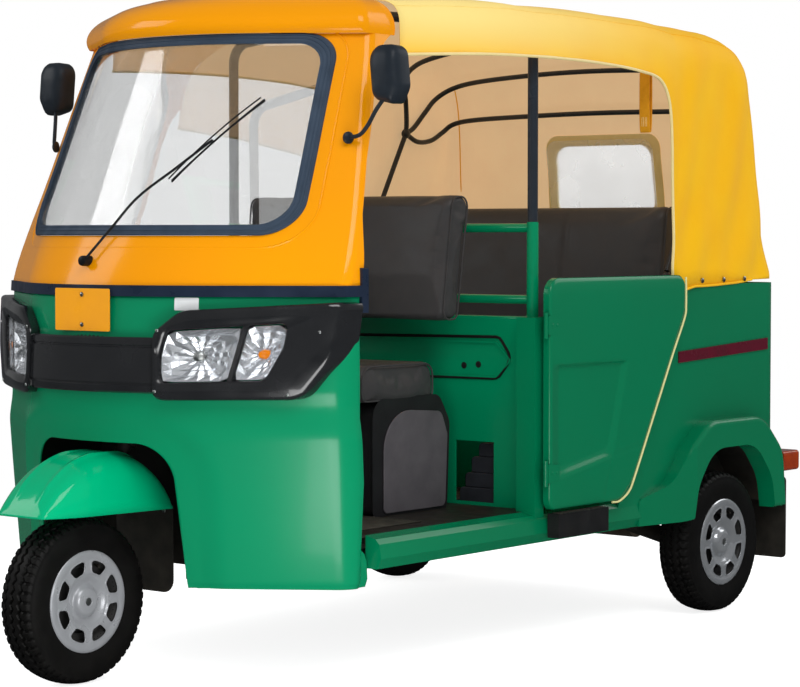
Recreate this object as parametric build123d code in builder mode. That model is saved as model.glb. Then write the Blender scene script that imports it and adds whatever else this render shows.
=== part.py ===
"""Three-wheeled auto rickshaw: a moulded front cap and a fabric canopy over a steel body.

Frame: X to the vehicle's left, Y towards its rear, Z up from the ground, all in millimetres.
"""

from build123d import *
from functools import cache
from math import cos, radians, sin, sqrt, tan
import os

os.makedirs("parts", exist_ok=True)

# ---- driving dimensions --------------------------------------------------------------------------
WHEELBASE = 1985.0
FRONT_AXLE_Y = -1110.0
REAR_AXLE_Y = FRONT_AXLE_Y + WHEELBASE
WHEEL_RADIUS = 205.0
TYRE_HALF_WIDTH = 53.0
REAR_WHEEL_X = 583.0
SHEET = 5.0
SEAT_GAP = 0.3

BELT_BOTTOM_Z = 949.0
BELT_TOP_Z = 976.0
FLOOR_Z = 366.0
FLOOR_SHEET = 6.0
SIDE_X = 610.0
SILL_BOTTOM_Z = 285.0
SILL_TOP_Z = 358.0
WAIST_Z = 955.0
BODY_REAR_Y = FRONT_AXLE_Y + 2330.0
B_POST_Y = FRONT_AXLE_Y + 1164.0
B_POST_X = 540.0


def aft(distance):
    """Y of a point this far behind the front axle."""
    return FRONT_AXLE_Y + distance


def facing_front(y):
    """A plane across the vehicle at y: local x is X, local y is Z, extrusions run forwards."""
    return Plane.XZ.offset(-y)


def side_plane(x):
    """A plane along the vehicle at x: local x is Y, local y is Z, extrusions run to the left."""
    return Plane.YZ.offset(x)


def box_between(low, high):
    """A block from one corner to the opposite corner."""
    size = [b - a for a, b in zip(low, high)]
    with BuildPart() as block:
        with Locations(tuple((b + a) / 2 for a, b in zip(low, high))):
            Box(*size)
    return block.part


def rod(start, end, radius):
    """A round bar between two points."""
    line = Line(start, end)
    with BuildPart() as bar:
        with BuildSketch(Plane(origin=start, z_dir=line % 0)):
            Circle(radius)
        extrude(amount=line.length)
    return bar.part


def tube(points, radius, bend):
    """A round bar along straight runs joined by arcs of the bend radius."""
    with BuildPart() as bar:
        with BuildLine() as path:
            FilletPolyline(*points, radius=bend)
        with BuildSketch(Plane(origin=path.line @ 0, z_dir=path.line % 0)):
            Circle(radius)
        sweep(path=path.line)
    return bar.part


def plate(plane, outline, thickness, radii=None):
    """A flat plate with this outline extruded from the plane, each corner rounded by its radius."""
    with BuildPart() as sheet:
        with BuildSketch(plane):
            if radii is None:
                Polygon(*outline, align=None)
            else:
                with BuildLine():
                    FilletPolyline(*outline, radius=radii, close=True)
                make_face()
        extrude(amount=thickness)
    return sheet.part


# ---- the bowed front: every shell, band, lens and glass follows these plan sections --------------
BOW_RATIO = 0.976
CHEEK_ANGLE = radians(35)
NOSE_BACK = 388
BOOT_BACK = 432
BROW_BACK = 640

# height, front, half width, corner radius, back (front and back measured from the front axle)
NOSE_ROWS = (
    (240, 84, 574, 60, BOOT_BACK),
    (500, 62, 588, 90, BOOT_BACK),
    (720, 44, 592, 90, BOOT_BACK),
    (BELT_BOTTOM_Z, 54, 590, 86, BOOT_BACK),
)
BELT_ROWS = ((BELT_BOTTOM_Z, 54, 590, 60, NOSE_BACK), (BELT_TOP_Z, 56, 590, 60, NOSE_BACK))
CAP_ROWS = (
    (BELT_TOP_Z, 56, 590, 30, NOSE_BACK),
    (1100, 104, 580, 30, 412),
    (1300, 190, 545, 30, 472),
    (1500, 272, 510, 30, 545),
    (1560, 297, 499, 30, 580),
    (1604, 314, 490, 30, BROW_BACK),
)
BROW_ROWS = (
    (1596, 296, 492, 30, BROW_BACK),
    (1634, 288, 490, 30, BROW_BACK),
    (1668, 318, 466, 30, BROW_BACK),
    (1690, 366, 420, 30, BROW_BACK),
    (1702, 410, 370, 30, BROW_BACK),
)


def plan_points(front_y, half_width, corner_radius, grow):
    """Tangent points of a plan section: bow end, cheek end, and the corner's end on the side."""
    bow = BOW_RATIO * half_width + grow
    corner = corner_radius + grow
    side_x = half_width + grow
    bow_end = (bow * sin(CHEEK_ANGLE), front_y - grow + bow * (1 - cos(CHEEK_ANGLE)))
    cheek_x = side_x - corner * (1 - sin(CHEEK_ANGLE))
    cheek_end = (cheek_x, bow_end[1] + (cheek_x - bow_end[0]) * tan(CHEEK_ANGLE))
    corner_end = (side_x, cheek_end[1] + corner * cos(CHEEK_ANGLE))
    return bow_end, cheek_end, corner_end


def plan_section(z, front, half_width, corner_radius, back, grow=0.0):
    """The bowed plan outline at a height, grown outwards (or shrunk) by an exact offset."""
    front_y = aft(front)
    back_y = aft(back)
    bow_end, cheek_end, corner_end = plan_points(front_y, half_width, corner_radius, grow)
    corner = corner_radius + grow
    half_turn = (radians(90) - CHEEK_ANGLE) / 2
    corner_mid = (
        half_width - corner_radius + corner * cos(half_turn),
        corner_end[1] - corner * sin(half_turn),
    )

    def flip(point):
        return (-point[0], point[1])

    with BuildSketch(Plane.XY.offset(z)) as section:
        with BuildLine():
            ThreePointArc(flip(bow_end), (0, front_y - grow), bow_end)
            Line(bow_end, cheek_end)
            ThreePointArc(cheek_end, corner_mid, corner_end)
            Line(corner_end, (corner_end[0], back_y))
            Line((corner_end[0], back_y), (-corner_end[0], back_y))
            Line((-corner_end[0], back_y), flip(corner_end))
            ThreePointArc(flip(corner_end), flip(corner_mid), flip(cheek_end))
            Line(flip(cheek_end), flip(bow_end))
        make_face()
    return section.sketch


@cache
def bowed_volume(rows, grow=0.0, back=None):
    """The solid inside the bowed front between the first and the last row."""
    sections = [plan_section(*row[:4], back or row[4], grow) for row in rows]
    with BuildPart() as volume:
        loft(sections=sections)
    return volume.part


def row_at(rows, z):
    """Front, half width and corner radius at a height, between the rows."""
    for low, high in zip(rows, rows[1:]):
        if z <= high[0]:
            break
    share = (z - low[0]) / (high[0] - low[0])
    return tuple(low[i] + share * (high[i] - low[i]) for i in (1, 2, 3))


def bowed_y(rows, x, z, grow=0.0):
    """Y of the bowed front at x and z."""
    front, half_width, corner_radius = row_at(rows, z)
    bow_end, cheek_end, corner_end = plan_points(aft(front), half_width, corner_radius, grow)
    bow = BOW_RATIO * half_width + grow
    across = abs(x)
    if across <= bow_end[0]:
        return aft(front) - grow + bow - sqrt(bow * bow - across * across)
    if across <= cheek_end[0]:
        return bow_end[1] + (across - bow_end[0]) * tan(CHEEK_ANGLE)
    corner = corner_radius + grow
    return corner_end[1] - sqrt(max(0.0, corner**2 - (across - half_width + corner_radius) ** 2))


def front_prism(outline, radius, inset=0.0):
    """A prism through the whole bowed front with this outline in X and Z, less an inset all round."""
    with BuildPart() as prism:
        with BuildSketch(facing_front(aft(700))) as face:
            Polygon(*outline, align=None)
            fillet(face.vertices(), radius)
            if inset:
                offset(amount=-inset, mode=Mode.REPLACE)
        extrude(amount=900)
    return prism.part


def both_sides(piece):
    """A piece and its mirror image on the other side of the vehicle."""
    return [piece, mirror(piece, about=Plane.YZ)]


# ---- nose shell ----------------------------------------------------------------------------------
PLATE_SIZE = (190.0, 2.0, 104.0)
PLATE_CENTRE = (-12.0, 915.0)
PLATE_HOLE_RADIUS = 3.5
PLATE_HOLE_PITCH = 76.0
UPPER_BOLT = (PLATE_CENTRE[0], aft(20), PLATE_CENTRE[1] + PLATE_HOLE_PITCH / 2)
LOWER_BOLT = (PLATE_CENTRE[0], aft(20), PLATE_CENTRE[1] - PLATE_HOLE_PITCH / 2)
BOLT_ROOM_RADIUS = 5.0
ARCH_HALF_WIDTH = 236.0
ARCH_TOP_Z = 592.0
BOOT_TOP_Z = 336.0

with BuildPart() as nose_shell:
    add(bowed_volume(NOSE_ROWS))
    add(bowed_volume(NOSE_ROWS, grow=-SHEET, back=BOOT_BACK + SHEET), mode=Mode.SUBTRACT)
    with BuildSketch(facing_front(aft(200))) as arch:
        with Locations((0, ARCH_TOP_Z / 2)):
            RectangleRounded(2 * ARCH_HALF_WIDTH, ARCH_TOP_Z, 90)
    extrude(amount=200, mode=Mode.SUBTRACT)
    with BuildSketch(side_plane(-700)) as above_boot:
        with BuildLine():
            FilletPolyline(
                (aft(NOSE_BACK), 1000), (aft(NOSE_BACK), BOOT_TOP_Z), (aft(BOOT_BACK + 40), BOOT_TOP_Z - 60),
                (aft(BOOT_BACK + 40), 1000), radius=(24, 0.0), close=False,
            )
            Line((aft(BOOT_BACK + 40), 1000), (aft(NOSE_BACK), 1000))
        make_face()
    extrude(amount=1400, mode=Mode.SUBTRACT)
    add(rod(LOWER_BOLT, (LOWER_BOLT[0], aft(90), LOWER_BOLT[2]), BOLT_ROOM_RADIUS), mode=Mode.SUBTRACT)
nose_shell.part.label = "nose_shell"
export_step(nose_shell.part, "parts/nose_shell.step")

# ---- door jambs: hollow posts inside the nose's rear edge ----------------------------------------
JAMB_X = (544.0, 582.0)
JAMB_DEPTH = 40.0
JAMB_WALL = 3.0

with BuildPart() as door_jambs:
    with BuildSketch(Plane.XY.offset(FLOOR_Z)) as jamb_section:
        for side in (-1, 1):
            with Locations((side * sum(JAMB_X) / 2, aft(NOSE_BACK - JAMB_DEPTH / 2))):
                Rectangle(JAMB_X[1] - JAMB_X[0], JAMB_DEPTH)
                Rectangle(
                    JAMB_X[1] - JAMB_X[0] - 2 * JAMB_WALL, JAMB_DEPTH - 2 * JAMB_WALL, mode=Mode.SUBTRACT
                )
    extrude(amount=BELT_BOTTOM_Z - FLOOR_Z)
    add(bowed_volume(NOSE_ROWS, grow=-SHEET - SEAT_GAP), mode=Mode.INTERSECT)
door_jambs.part.label = "door_jambs"
export_step(door_jambs.part, "parts/door_jambs.step")

# ---- windscreen surround: the yellow cap with its brow -------------------------------------------
GLASS_OUTLINE = [(-442, 1122), (442, 1122), (405, 1571), (-405, 1571)]
SEAL_OUTLINE = [(-470, 1096), (470, 1096), (431, 1597), (-431, 1597)]
GLASS_CORNER = 62.0
SEAL_CORNER = 78.0
SEAL_BACK = 12.0
SEAL_PROUD = 5.0
GLASS_SET = 2.0
GLASS_SHEET = 5.0
INNER_BROW_ROWS = BROW_ROWS[:-1] + ((BROW_ROWS[-1][0] - SHEET, *BROW_ROWS[-1][1:]),)

BELT_PROUD = 7.0
JAMB_BLOCK_Z = (910.0, 1018.0)
JAMB_BLOCK_Y = (NOSE_BACK, NOSE_BACK + 24)


def jamb_blocks(grow):
    """The block at each door jamb that ends the belt trim, grown all round."""
    low = (556 - grow, aft(JAMB_BLOCK_Y[0]), JAMB_BLOCK_Z[0] - grow)
    high = (590 + BELT_PROUD + grow, aft(JAMB_BLOCK_Y[1]) + grow, JAMB_BLOCK_Z[1] + grow)
    return both_sides(box_between(low, high))


with BuildPart() as windscreen_surround:
    add(bowed_volume(CAP_ROWS))
    add(bowed_volume(BROW_ROWS))
    add(bowed_volume(CAP_ROWS, grow=-SHEET, back=BROW_BACK + SHEET), mode=Mode.SUBTRACT)
    add(bowed_volume(INNER_BROW_ROWS, grow=-SHEET, back=BROW_BACK + SHEET), mode=Mode.SUBTRACT)
    add(front_prism(SEAL_OUTLINE, SEAL_CORNER), mode=Mode.SUBTRACT)
    for block in jamb_blocks(SEAT_GAP):
        add(block, mode=Mode.SUBTRACT)
windscreen_surround.part.label = "windscreen_surround"
export_step(windscreen_surround.part, "parts/windscreen_surround.step")

with BuildPart() as windscreen_seal:
    add(bowed_volume(CAP_ROWS, grow=SEAL_PROUD, back=BROW_BACK))
    add(bowed_volume(CAP_ROWS, grow=-SEAL_BACK, back=BROW_BACK + SHEET), mode=Mode.SUBTRACT)
    add(front_prism(SEAL_OUTLINE, SEAL_CORNER, SEAT_GAP), mode=Mode.INTERSECT)
    add(front_prism(GLASS_OUTLINE, GLASS_CORNER), mode=Mode.SUBTRACT)
windscreen_seal.part.label = "windscreen_seal"
export_step(windscreen_seal.part, "parts/windscreen_seal.step")

with BuildPart() as windscreen_glass:
    add(bowed_volume(CAP_ROWS, grow=-GLASS_SET, back=BROW_BACK))
    add(bowed_volume(CAP_ROWS, grow=-GLASS_SET - GLASS_SHEET, back=BROW_BACK + SHEET), mode=Mode.SUBTRACT)
    add(front_prism(GLASS_OUTLINE, GLASS_CORNER, SEAT_GAP), mode=Mode.INTERSECT)
windscreen_glass.part.label = "windscreen_glass"
export_step(windscreen_glass.part, "parts/windscreen_glass.step")

# ---- belt trim: the dark strip between nose and cap, with a block at each door jamb --------------

with BuildPart() as belt_trim:
    add(bowed_volume(BELT_ROWS, grow=BELT_PROUD))
    add(bowed_volume(BELT_ROWS, grow=-SHEET, back=NOSE_BACK + SHEET), mode=Mode.SUBTRACT)
    for block in jamb_blocks(0.0):
        add(block)
    add(rod(UPPER_BOLT, (UPPER_BOLT[0], aft(90), UPPER_BOLT[2]), BOLT_ROOM_RADIUS), mode=Mode.SUBTRACT)
belt_trim.part.label = "belt_trim"
export_step(belt_trim.part, "parts/belt_trim.step")

# ---- lamp band: black band across the nose with a pod and recessed lamps at each end -------------
BAND_PROUD = 24.0
POD_PROUD = 34.0
BAND_OUTLINE = [(-215, 718), (215, 718), (215, 852), (-215, 852)]
POD_OUTLINE = [(186, 700), (500, 702), (588, 930), (240, 926), (190, 850)]
POD_CORNER = 26.0
LAMP_OUTLINES = [
    [(222, 752), (368, 748), (380, 868), (262, 864), (224, 820)],
    [(386, 748), (452, 752), (492, 832), (486, 874), (398, 870)],
]
LAMP_CORNER = 12.0
LAMP_FLOOR = 6.0
REFLECTOR_SHEET = 4.0
LENS_TOP = 28.0
LENS_SHEET = 4.0


@cache
def nose_slice(outer_grow, inner_grow):
    """The layer between two offsets of the nose's outer face."""
    with BuildPart() as layer:
        add(bowed_volume(NOSE_ROWS, grow=outer_grow))
        add(bowed_volume(NOSE_ROWS, grow=inner_grow, back=BOOT_BACK + SHEET), mode=Mode.SUBTRACT)
    return layer.part


def lamp_solids(outer_grow, inner_grow, inset):
    """One solid for each lamp on both sides, in a layer over the nose."""
    layer = nose_slice(outer_grow, inner_grow)
    solids = []
    for outline in LAMP_OUTLINES:
        solids += both_sides(layer & front_prism(outline, LAMP_CORNER, inset))
    return solids


with BuildPart() as lamp_band:
    add(nose_slice(BAND_PROUD, SEAT_GAP) & front_prism(BAND_OUTLINE, POD_CORNER))
    for pod in both_sides(nose_slice(POD_PROUD, SEAT_GAP) & front_prism(POD_OUTLINE, POD_CORNER)):
        add(pod)
    for pocket in lamp_solids(POD_PROUD + 4, LAMP_FLOOR, 0.0):
        add(pocket, mode=Mode.SUBTRACT)
lamp_band.part.label = "lamp_band"
export_step(lamp_band.part, "parts/lamp_band.step")

with BuildPart() as headlamp_reflectors:
    for bowl in lamp_solids(LAMP_FLOOR + SEAT_GAP + REFLECTOR_SHEET, LAMP_FLOOR + SEAT_GAP, SEAT_GAP):
        add(bowl)
headlamp_reflectors.part.label = "headlamp_reflectors"
export_step(headlamp_reflectors.part, "parts/headlamp_reflectors.step")

with BuildPart() as headlamp_lenses:
    for lens in lamp_solids(LENS_TOP, LENS_TOP - LENS_SHEET, SEAT_GAP):
        add(lens)
headlamp_lenses.part.label = "headlamp_lenses"
export_step(headlamp_lenses.part, "parts/headlamp_lenses.step")

# ---- front plate: blank --------------------------------------------------------------------------
PLATE_BACK_Y = aft(54) - BELT_PROUD - SEAT_GAP

with BuildPart() as front_plate:
    with BuildSketch(facing_front(PLATE_BACK_Y)):
        with Locations(PLATE_CENTRE):
            RectangleRounded(PLATE_SIZE[0], PLATE_SIZE[2], 4)
            with GridLocations(1, PLATE_HOLE_PITCH, 1, 2):
                Circle(PLATE_HOLE_RADIUS, mode=Mode.SUBTRACT)
    extrude(amount=PLATE_SIZE[1])
    with BuildSketch(facing_front(aft(80))):
        with Locations(PLATE_CENTRE):
            with GridLocations(120, 30, 2, 1):
                Rectangle(16, 30)
    extrude(amount=aft(80) - PLATE_BACK_Y)
    add(bowed_volume(NOSE_ROWS, grow=SEAT_GAP), mode=Mode.SUBTRACT)
front_plate.part.label = "front_plate"
export_step(front_plate.part, "parts/front_plate.step")

# ---- steering axis and head ----------------------------------------------------------------------
RAKE = radians(24)
AXIS_Y = aft(10)
COLUMN_RADIUS = 19.0
HEAD_BORE_RADIUS = COLUMN_RADIUS + SEAT_GAP
HEAD_RADIUS = 31.0
HEAD_Z = (574.0, 800.0)
COLUMN_FOOT_Z = 480.0
COLUMN_TOP_Z = 955.0


def on_axis(z):
    """The point of the steering axis at a height."""
    return (0.0, AXIS_Y + (z - WHEEL_RADIUS) * tan(RAKE), z)


# ---- floor pan with the front wheel well ---------------------------------------------------------
WELL_HALF_WIDTH = 242.0
WELL_TOP_Z = 606.0
WELL_BOTTOM_Z = 262.0
WELL_BACK_Y = aft(332)
WELL_SHEET = 4.0
FLOOR_HALF_WIDTH = 566.0
PASSENGER_FLOOR_BACK_Y = aft(1470)
FLOOR_BOTTOM_Z = FLOOR_Z - FLOOR_SHEET
STAY_X = 70.0
STAY_RADIUS = 15.0
STAY_FOOT = (STAY_X, WELL_BACK_Y + 26, FLOOR_BOTTOM_Z - 10)

cab_inside = bowed_volume(NOSE_ROWS, grow=-SHEET - SEAT_GAP) + box_between(
    (-700, aft(NOSE_BACK), 0), (700, aft(2000), 1200)
)

with BuildPart() as floor_pan:
    floor_corner = (FLOOR_HALF_WIDTH, PASSENGER_FLOOR_BACK_Y, FLOOR_Z)
    add(box_between((-FLOOR_HALF_WIDTH, aft(60), FLOOR_BOTTOM_Z), floor_corner))
    well_corner = (WELL_HALF_WIDTH, WELL_BACK_Y, WELL_TOP_Z)
    outer_corner = tuple(edge + WELL_SHEET for edge in well_corner)
    add(box_between((-outer_corner[0], aft(60), WELL_BOTTOM_Z), outer_corner))
    add(box_between((-WELL_HALF_WIDTH, aft(0), WELL_BOTTOM_Z - 60), well_corner), mode=Mode.SUBTRACT)
    add(cab_inside, mode=Mode.INTERSECT)
    add(rod(on_axis(HEAD_Z[0] - 60), on_axis(HEAD_Z[1]), HEAD_RADIUS + SEAT_GAP), mode=Mode.SUBTRACT)
    for side in (-1, 1):
        with BuildSketch(Plane.XY.offset(FLOOR_BOTTOM_Z - 20)):
            with Locations((side * STAY_X, STAY_FOOT[1])):
                Rectangle(2 * STAY_RADIUS + 8, 2 * STAY_RADIUS + 30)
        extrude(amount=40, mode=Mode.SUBTRACT)
floor_pan.part.label = "floor_pan"
export_step(floor_pan.part, "parts/floor_pan.step")

# ---- underframe: rails, cross members and the steering head on its stays -------------------------
RAIL_X = 300.0
RAIL_SIZE = (50.0, 74.0)
RAIL_FRONT_Y = aft(348)
RAIL_BACK_Y = aft(2290)
RAIL_BOTTOM_Z = FLOOR_BOTTOM_Z - RAIL_SIZE[1]
CROSS_MEMBERS = [(348, 396, 536), (700, 740, 540), (1080, 1130, 560), (1430, 1470, 560), (2240, 2290, 470)]
ARM_PIVOT = (aft(1600), 318.0)

with BuildPart() as underframe:
    for side in (-1, 1):
        inner_x, outer_x = side * (RAIL_X - RAIL_SIZE[0] / 2), side * (RAIL_X + RAIL_SIZE[0] / 2)
        low_x, high_x = sorted((inner_x, outer_x))
        add(box_between((low_x, RAIL_FRONT_Y, RAIL_BOTTOM_Z), (high_x, RAIL_BACK_Y, FLOOR_BOTTOM_Z)))
    for front, back, half in CROSS_MEMBERS:
        add(box_between((-half, aft(front), RAIL_BOTTOM_Z + 14), (half, aft(back), FLOOR_BOTTOM_Z)))
    stay_points = [STAY_FOOT, (STAY_X, STAY_FOOT[1], 668), (18, on_axis(720)[1] + 10, 720)]
    for stay in both_sides(tube(stay_points, STAY_RADIUS, 24)):
        add(stay)
    add(rod(on_axis(HEAD_Z[0]), on_axis(HEAD_Z[1]), HEAD_RADIUS))
    add(rod(on_axis(HEAD_Z[0] - 60), on_axis(HEAD_Z[1] + 60), HEAD_BORE_RADIUS), mode=Mode.SUBTRACT)
underframe.part.label = "underframe"
export_step(underframe.part, "parts/underframe.step")

# ---- dashboard -----------------------------------------------------------------------------------
DASH_Z = (850.0, 945.0)
DASH_HALF_WIDTH = 190.0
DASH_BACK_Y = aft(236)

with BuildPart() as dashboard:
    with BuildSketch(side_plane(-DASH_HALF_WIDTH)):
        with BuildLine():
            FilletPolyline(
                (aft(40), DASH_Z[0]), (DASH_BACK_Y - 60, DASH_Z[0]), (DASH_BACK_Y, DASH_Z[0] + 40),
                (DASH_BACK_Y - 30, DASH_Z[1]), (aft(40), DASH_Z[1]), radius=(20, 14, 14),
            )
            Line((aft(40), DASH_Z[1]), (aft(40), DASH_Z[0]))
        make_face()
    extrude(amount=2 * DASH_HALF_WIDTH)
    add(cab_inside, mode=Mode.INTERSECT)
dashboard.part.label = "dashboard"
export_step(dashboard.part, "parts/dashboard.step")

# ---- side panels: sill, pillar, quarter panel and rear wheel flare -------------------------------
SKIN_X = SIDE_X - SHEET
SILL_FRONT_Y = aft(BOOT_BACK + 4)
SILL_BACK_Y = aft(1765)
SILL_INNER_X = FLOOR_HALF_WIDTH + SEAT_GAP
PILLAR = (aft(1086), aft(1126))
PILLAR_TOP_Z = 880.0
FLAP_AFT = 2308.0
REAR_CORNER_RADIUS = 60.0
REAR_CORNER = (SIDE_X - REAR_CORNER_RADIUS, BODY_REAR_Y - REAR_CORNER_RADIUS)
CORNER_AFT = REAR_CORNER[1] - FRONT_AXLE_Y
CORNER_LOW_Z = 378.0
QUARTER_REAR = [
    (FLAP_AFT - SEAT_GAP, 300), (FLAP_AFT - SEAT_GAP, CORNER_LOW_Z),
    (CORNER_AFT, CORNER_LOW_Z), (CORNER_AFT, WAIST_Z),
]
QUARTER_OUTLINE = [(1452, 300), *QUARTER_REAR, (1769, WAIST_Z), (1769, 880), (1480, 372)]
CLOSED_OUTLINE = [(1110, 330), (1452, 330), (1452, 300), *QUARTER_REAR, (1110, WAIST_Z)]
ARCH_OUTLINE = [(1775, 200), (1806, 380), (1890, 484), (2120, 484), (2216, 380), (2250, 200)]
ARCH_RADII = [0.0, 130, 130, 130, 130, 0.0]
FLARE_OUTLINE = [
    (1570, 286), (1570, 360), (1700, 396), (1784, 498), (1878, 564), (2170, 564), (2286, 456), (2306, 286),
]
FLARE_RADII = [0.0, 20, 120, 120, 120, 130, 100, 0.0]
FLARE_X = 660.0
# plan points of the wedge that lets the flare grow out of the sill
FLARE_TAPER = [(700.0, aft(1500)), (612.0, aft(1560)), (FLARE_X, aft(1800)), (700.0, aft(1800))]


def side_outline(points):
    """Points given as distance behind the front axle and height, as Y and Z."""
    return [(aft(distance), z) for distance, z in points]


def rear_corner():
    """The rounded corner between the left quarter panel and the rear panel."""
    with BuildPart() as corner:
        with BuildSketch(Plane.XY.offset(CORNER_LOW_Z)):
            with Locations(REAR_CORNER):
                Circle(REAR_CORNER_RADIUS)
                Circle(REAR_CORNER_RADIUS - SHEET, mode=Mode.SUBTRACT)
            with Locations((REAR_CORNER[0] + 100, REAR_CORNER[1] + 100)):
                Rectangle(200, 200, mode=Mode.INTERSECT)
        extrude(amount=WAIST_Z - CORNER_LOW_Z)
    return corner.part


def side_panel(quarter_outline):
    """The left side's sill, pillar, quarter panel with this outline, and its wheel flare."""
    with BuildPart() as panel:
        with BuildSketch(facing_front(SILL_BACK_Y)):
            with BuildLine():
                Polyline(
                    (SILL_INNER_X, SILL_BOTTOM_Z), (SIDE_X - 8, SILL_BOTTOM_Z),
                    (SIDE_X + 6, SILL_BOTTOM_Z + 26), (SIDE_X, SILL_TOP_Z - 12),
                    (SIDE_X - 12, SILL_TOP_Z), (SILL_INNER_X, SILL_TOP_Z + 8), close=True,
                )
            make_face()
        extrude(amount=SILL_BACK_Y - SILL_FRONT_Y)
        add(box_between((SILL_INNER_X, PILLAR[0], SILL_TOP_Z - 30), (SKIN_X, PILLAR[1], PILLAR_TOP_Z)))
        low_z = SILL_TOP_Z + 8
        add(box_between((SILL_INNER_X - 22, PILLAR[0], low_z), (SILL_INNER_X, PILLAR[1], PILLAR_TOP_Z)))
        add(plate(side_plane(SKIN_X), side_outline(quarter_outline), SHEET))
        add(rear_corner())
        with BuildPart(mode=Mode.PRIVATE) as flare:
            add(plate(side_plane(SKIN_X), side_outline(FLARE_OUTLINE), FLARE_X - SKIN_X, FLARE_RADII))
            fillet(flare.faces().sort_by(Axis.X)[-1].outer_wire().edges(), 14)
            with BuildSketch(Plane.XY.offset(200)):
                Polygon(*FLARE_TAPER, align=None)
            extrude(amount=500, mode=Mode.SUBTRACT)
        add(flare.part)
        add(plate(side_plane(SKIN_X - 60), side_outline(ARCH_OUTLINE), 200, ARCH_RADII), mode=Mode.SUBTRACT)
        add(box_between((500, aft(1700), 100), (700, aft(2400), SILL_BOTTOM_Z)), mode=Mode.SUBTRACT)
    return panel.part


with BuildPart() as left_side_panel:
    add(side_panel(QUARTER_OUTLINE))
left_side_panel.part.label = "left_side_panel"
export_step(left_side_panel.part, "parts/left_side_panel.step")

with BuildPart() as right_side_panel:
    add(mirror(side_panel(CLOSED_OUTLINE), about=Plane.YZ))
right_side_panel.part.label = "right_side_panel"
export_step(right_side_panel.part, "parts/right_side_panel.step")

# ---- seat bulkhead: the stepped wall under and behind the rear seat ------------------------------
BULKHEAD_HALF_WIDTH = 494.0
BULKHEAD_SHEET = 5.0
SEAT_DECK_Z = 640.0
SHELF_Z = WAIST_Z - 12.0
BULKHEAD_POINTS = side_outline([
    (1474, FLOOR_BOTTOM_Z), (1474, SEAT_DECK_Z), (1890, SEAT_DECK_Z), (1890, SHELF_Z), (2318, SHELF_Z),
])

with BuildPart() as seat_bulkhead:
    with BuildSketch(side_plane(-BULKHEAD_HALF_WIDTH)):
        with BuildLine():
            FilletPolyline(*BULKHEAD_POINTS, radius=24)
            offset(amount=BULKHEAD_SHEET, side=Side.RIGHT)
        make_face()
    extrude(amount=2 * BULKHEAD_HALF_WIDTH)
seat_bulkhead.part.label = "seat_bulkhead"
export_step(seat_bulkhead.part, "parts/seat_bulkhead.step")

# ---- inner wheel housings beside the seat --------------------------------------------------------
HOUSING_X = BULKHEAD_HALF_WIDTH + SEAT_GAP
HOUSING_WALL = 4.0


def arch_prism(x, length, wall):
    """A prism along X with the wheel arch's outline, grown by a wall all round."""
    with BuildPart() as prism:
        with BuildSketch(side_plane(x)):
            with BuildLine():
                FilletPolyline(*side_outline(ARCH_OUTLINE), radius=ARCH_RADII, close=True)
            make_face()
            if wall:
                offset(amount=wall, mode=Mode.REPLACE)
        extrude(amount=length)
    return prism.part


with BuildPart() as wheel_housings:
    wall = HOUSING_WALL + SEAT_GAP
    shell = arch_prism(HOUSING_X, SKIN_X - SEAT_GAP - HOUSING_X, wall)
    shell -= arch_prism(HOUSING_X + HOUSING_WALL, 200, SEAT_GAP)
    shell -= box_between((0, aft(1000), 0), (900, aft(2500), SILL_BOTTOM_Z + 20))
    for housing in both_sides(shell):
        add(housing)
wheel_housings.part.label = "wheel_housings"
export_step(wheel_housings.part, "parts/wheel_housings.step")

# ---- rear panel and engine lid -------------------------------------------------------------------
REAR_PANEL_Y = BODY_REAR_Y - 5.0
REAR_SHEET = 5.0
LID_HALF_WIDTH = 400.0
LID_Z = (430.0, 905.0)
LID_GAP = 5.0
LID_CORNER = 28.0
LOUVRE_PITCH = 34.0
LOUVRE_COUNT = 6
LOUVRE_LENGTH = 220.0
LID_SHEET = REAR_SHEET + 2.0
LID_HINGE = (REAR_PANEL_Y + LID_SHEET + 4.0, LID_Z[1] - 10.0)
LID_HINGE_RADIUS = 7.0
LID_HINGE_X = 260.0
LID_BARREL = 40.0
LUG_SHEET = 8.0


def lid_sketch(inset):
    """The rounded opening of the engine lid, or the lid itself with an inset all round."""
    height = LID_Z[1] - LID_Z[0] - 2 * inset
    with BuildSketch(Plane.XZ.offset(-REAR_PANEL_Y)) as face:
        with Locations((0, sum(LID_Z) / 2)):
            RectangleRounded(2 * LID_HALF_WIDTH - 2 * inset, height, LID_CORNER - inset)
    return face.sketch


with BuildPart() as rear_panel:
    with BuildSketch(Plane.XZ.offset(-REAR_PANEL_Y)):
        with Locations((0, (300 + WAIST_Z) / 2)):
            Rectangle(2 * (REAR_CORNER[0] - SEAT_GAP), WAIST_Z - 300)
    extrude(amount=-REAR_SHEET)
    extrude(lid_sketch(0.0), amount=-REAR_SHEET, mode=Mode.SUBTRACT)
    for middle in (-LID_HINGE_X, LID_HINGE_X):
        for end in (-1, 1):
            inner_x = middle + end * (LID_BARREL + SEAT_GAP)
            low_x, high_x = sorted((inner_x, inner_x + end * LUG_SHEET))
            lug_top = (high_x, REAR_PANEL_Y + 20, LID_Z[1] + 12)
            add(box_between((low_x, REAR_PANEL_Y, LID_Z[1] + 1), lug_top))
            add(box_between((low_x, REAR_PANEL_Y + 13, LID_HINGE[1] - 1), lug_top))
rear_panel.part.label = "rear_panel"
export_step(rear_panel.part, "parts/rear_panel.step")

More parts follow.
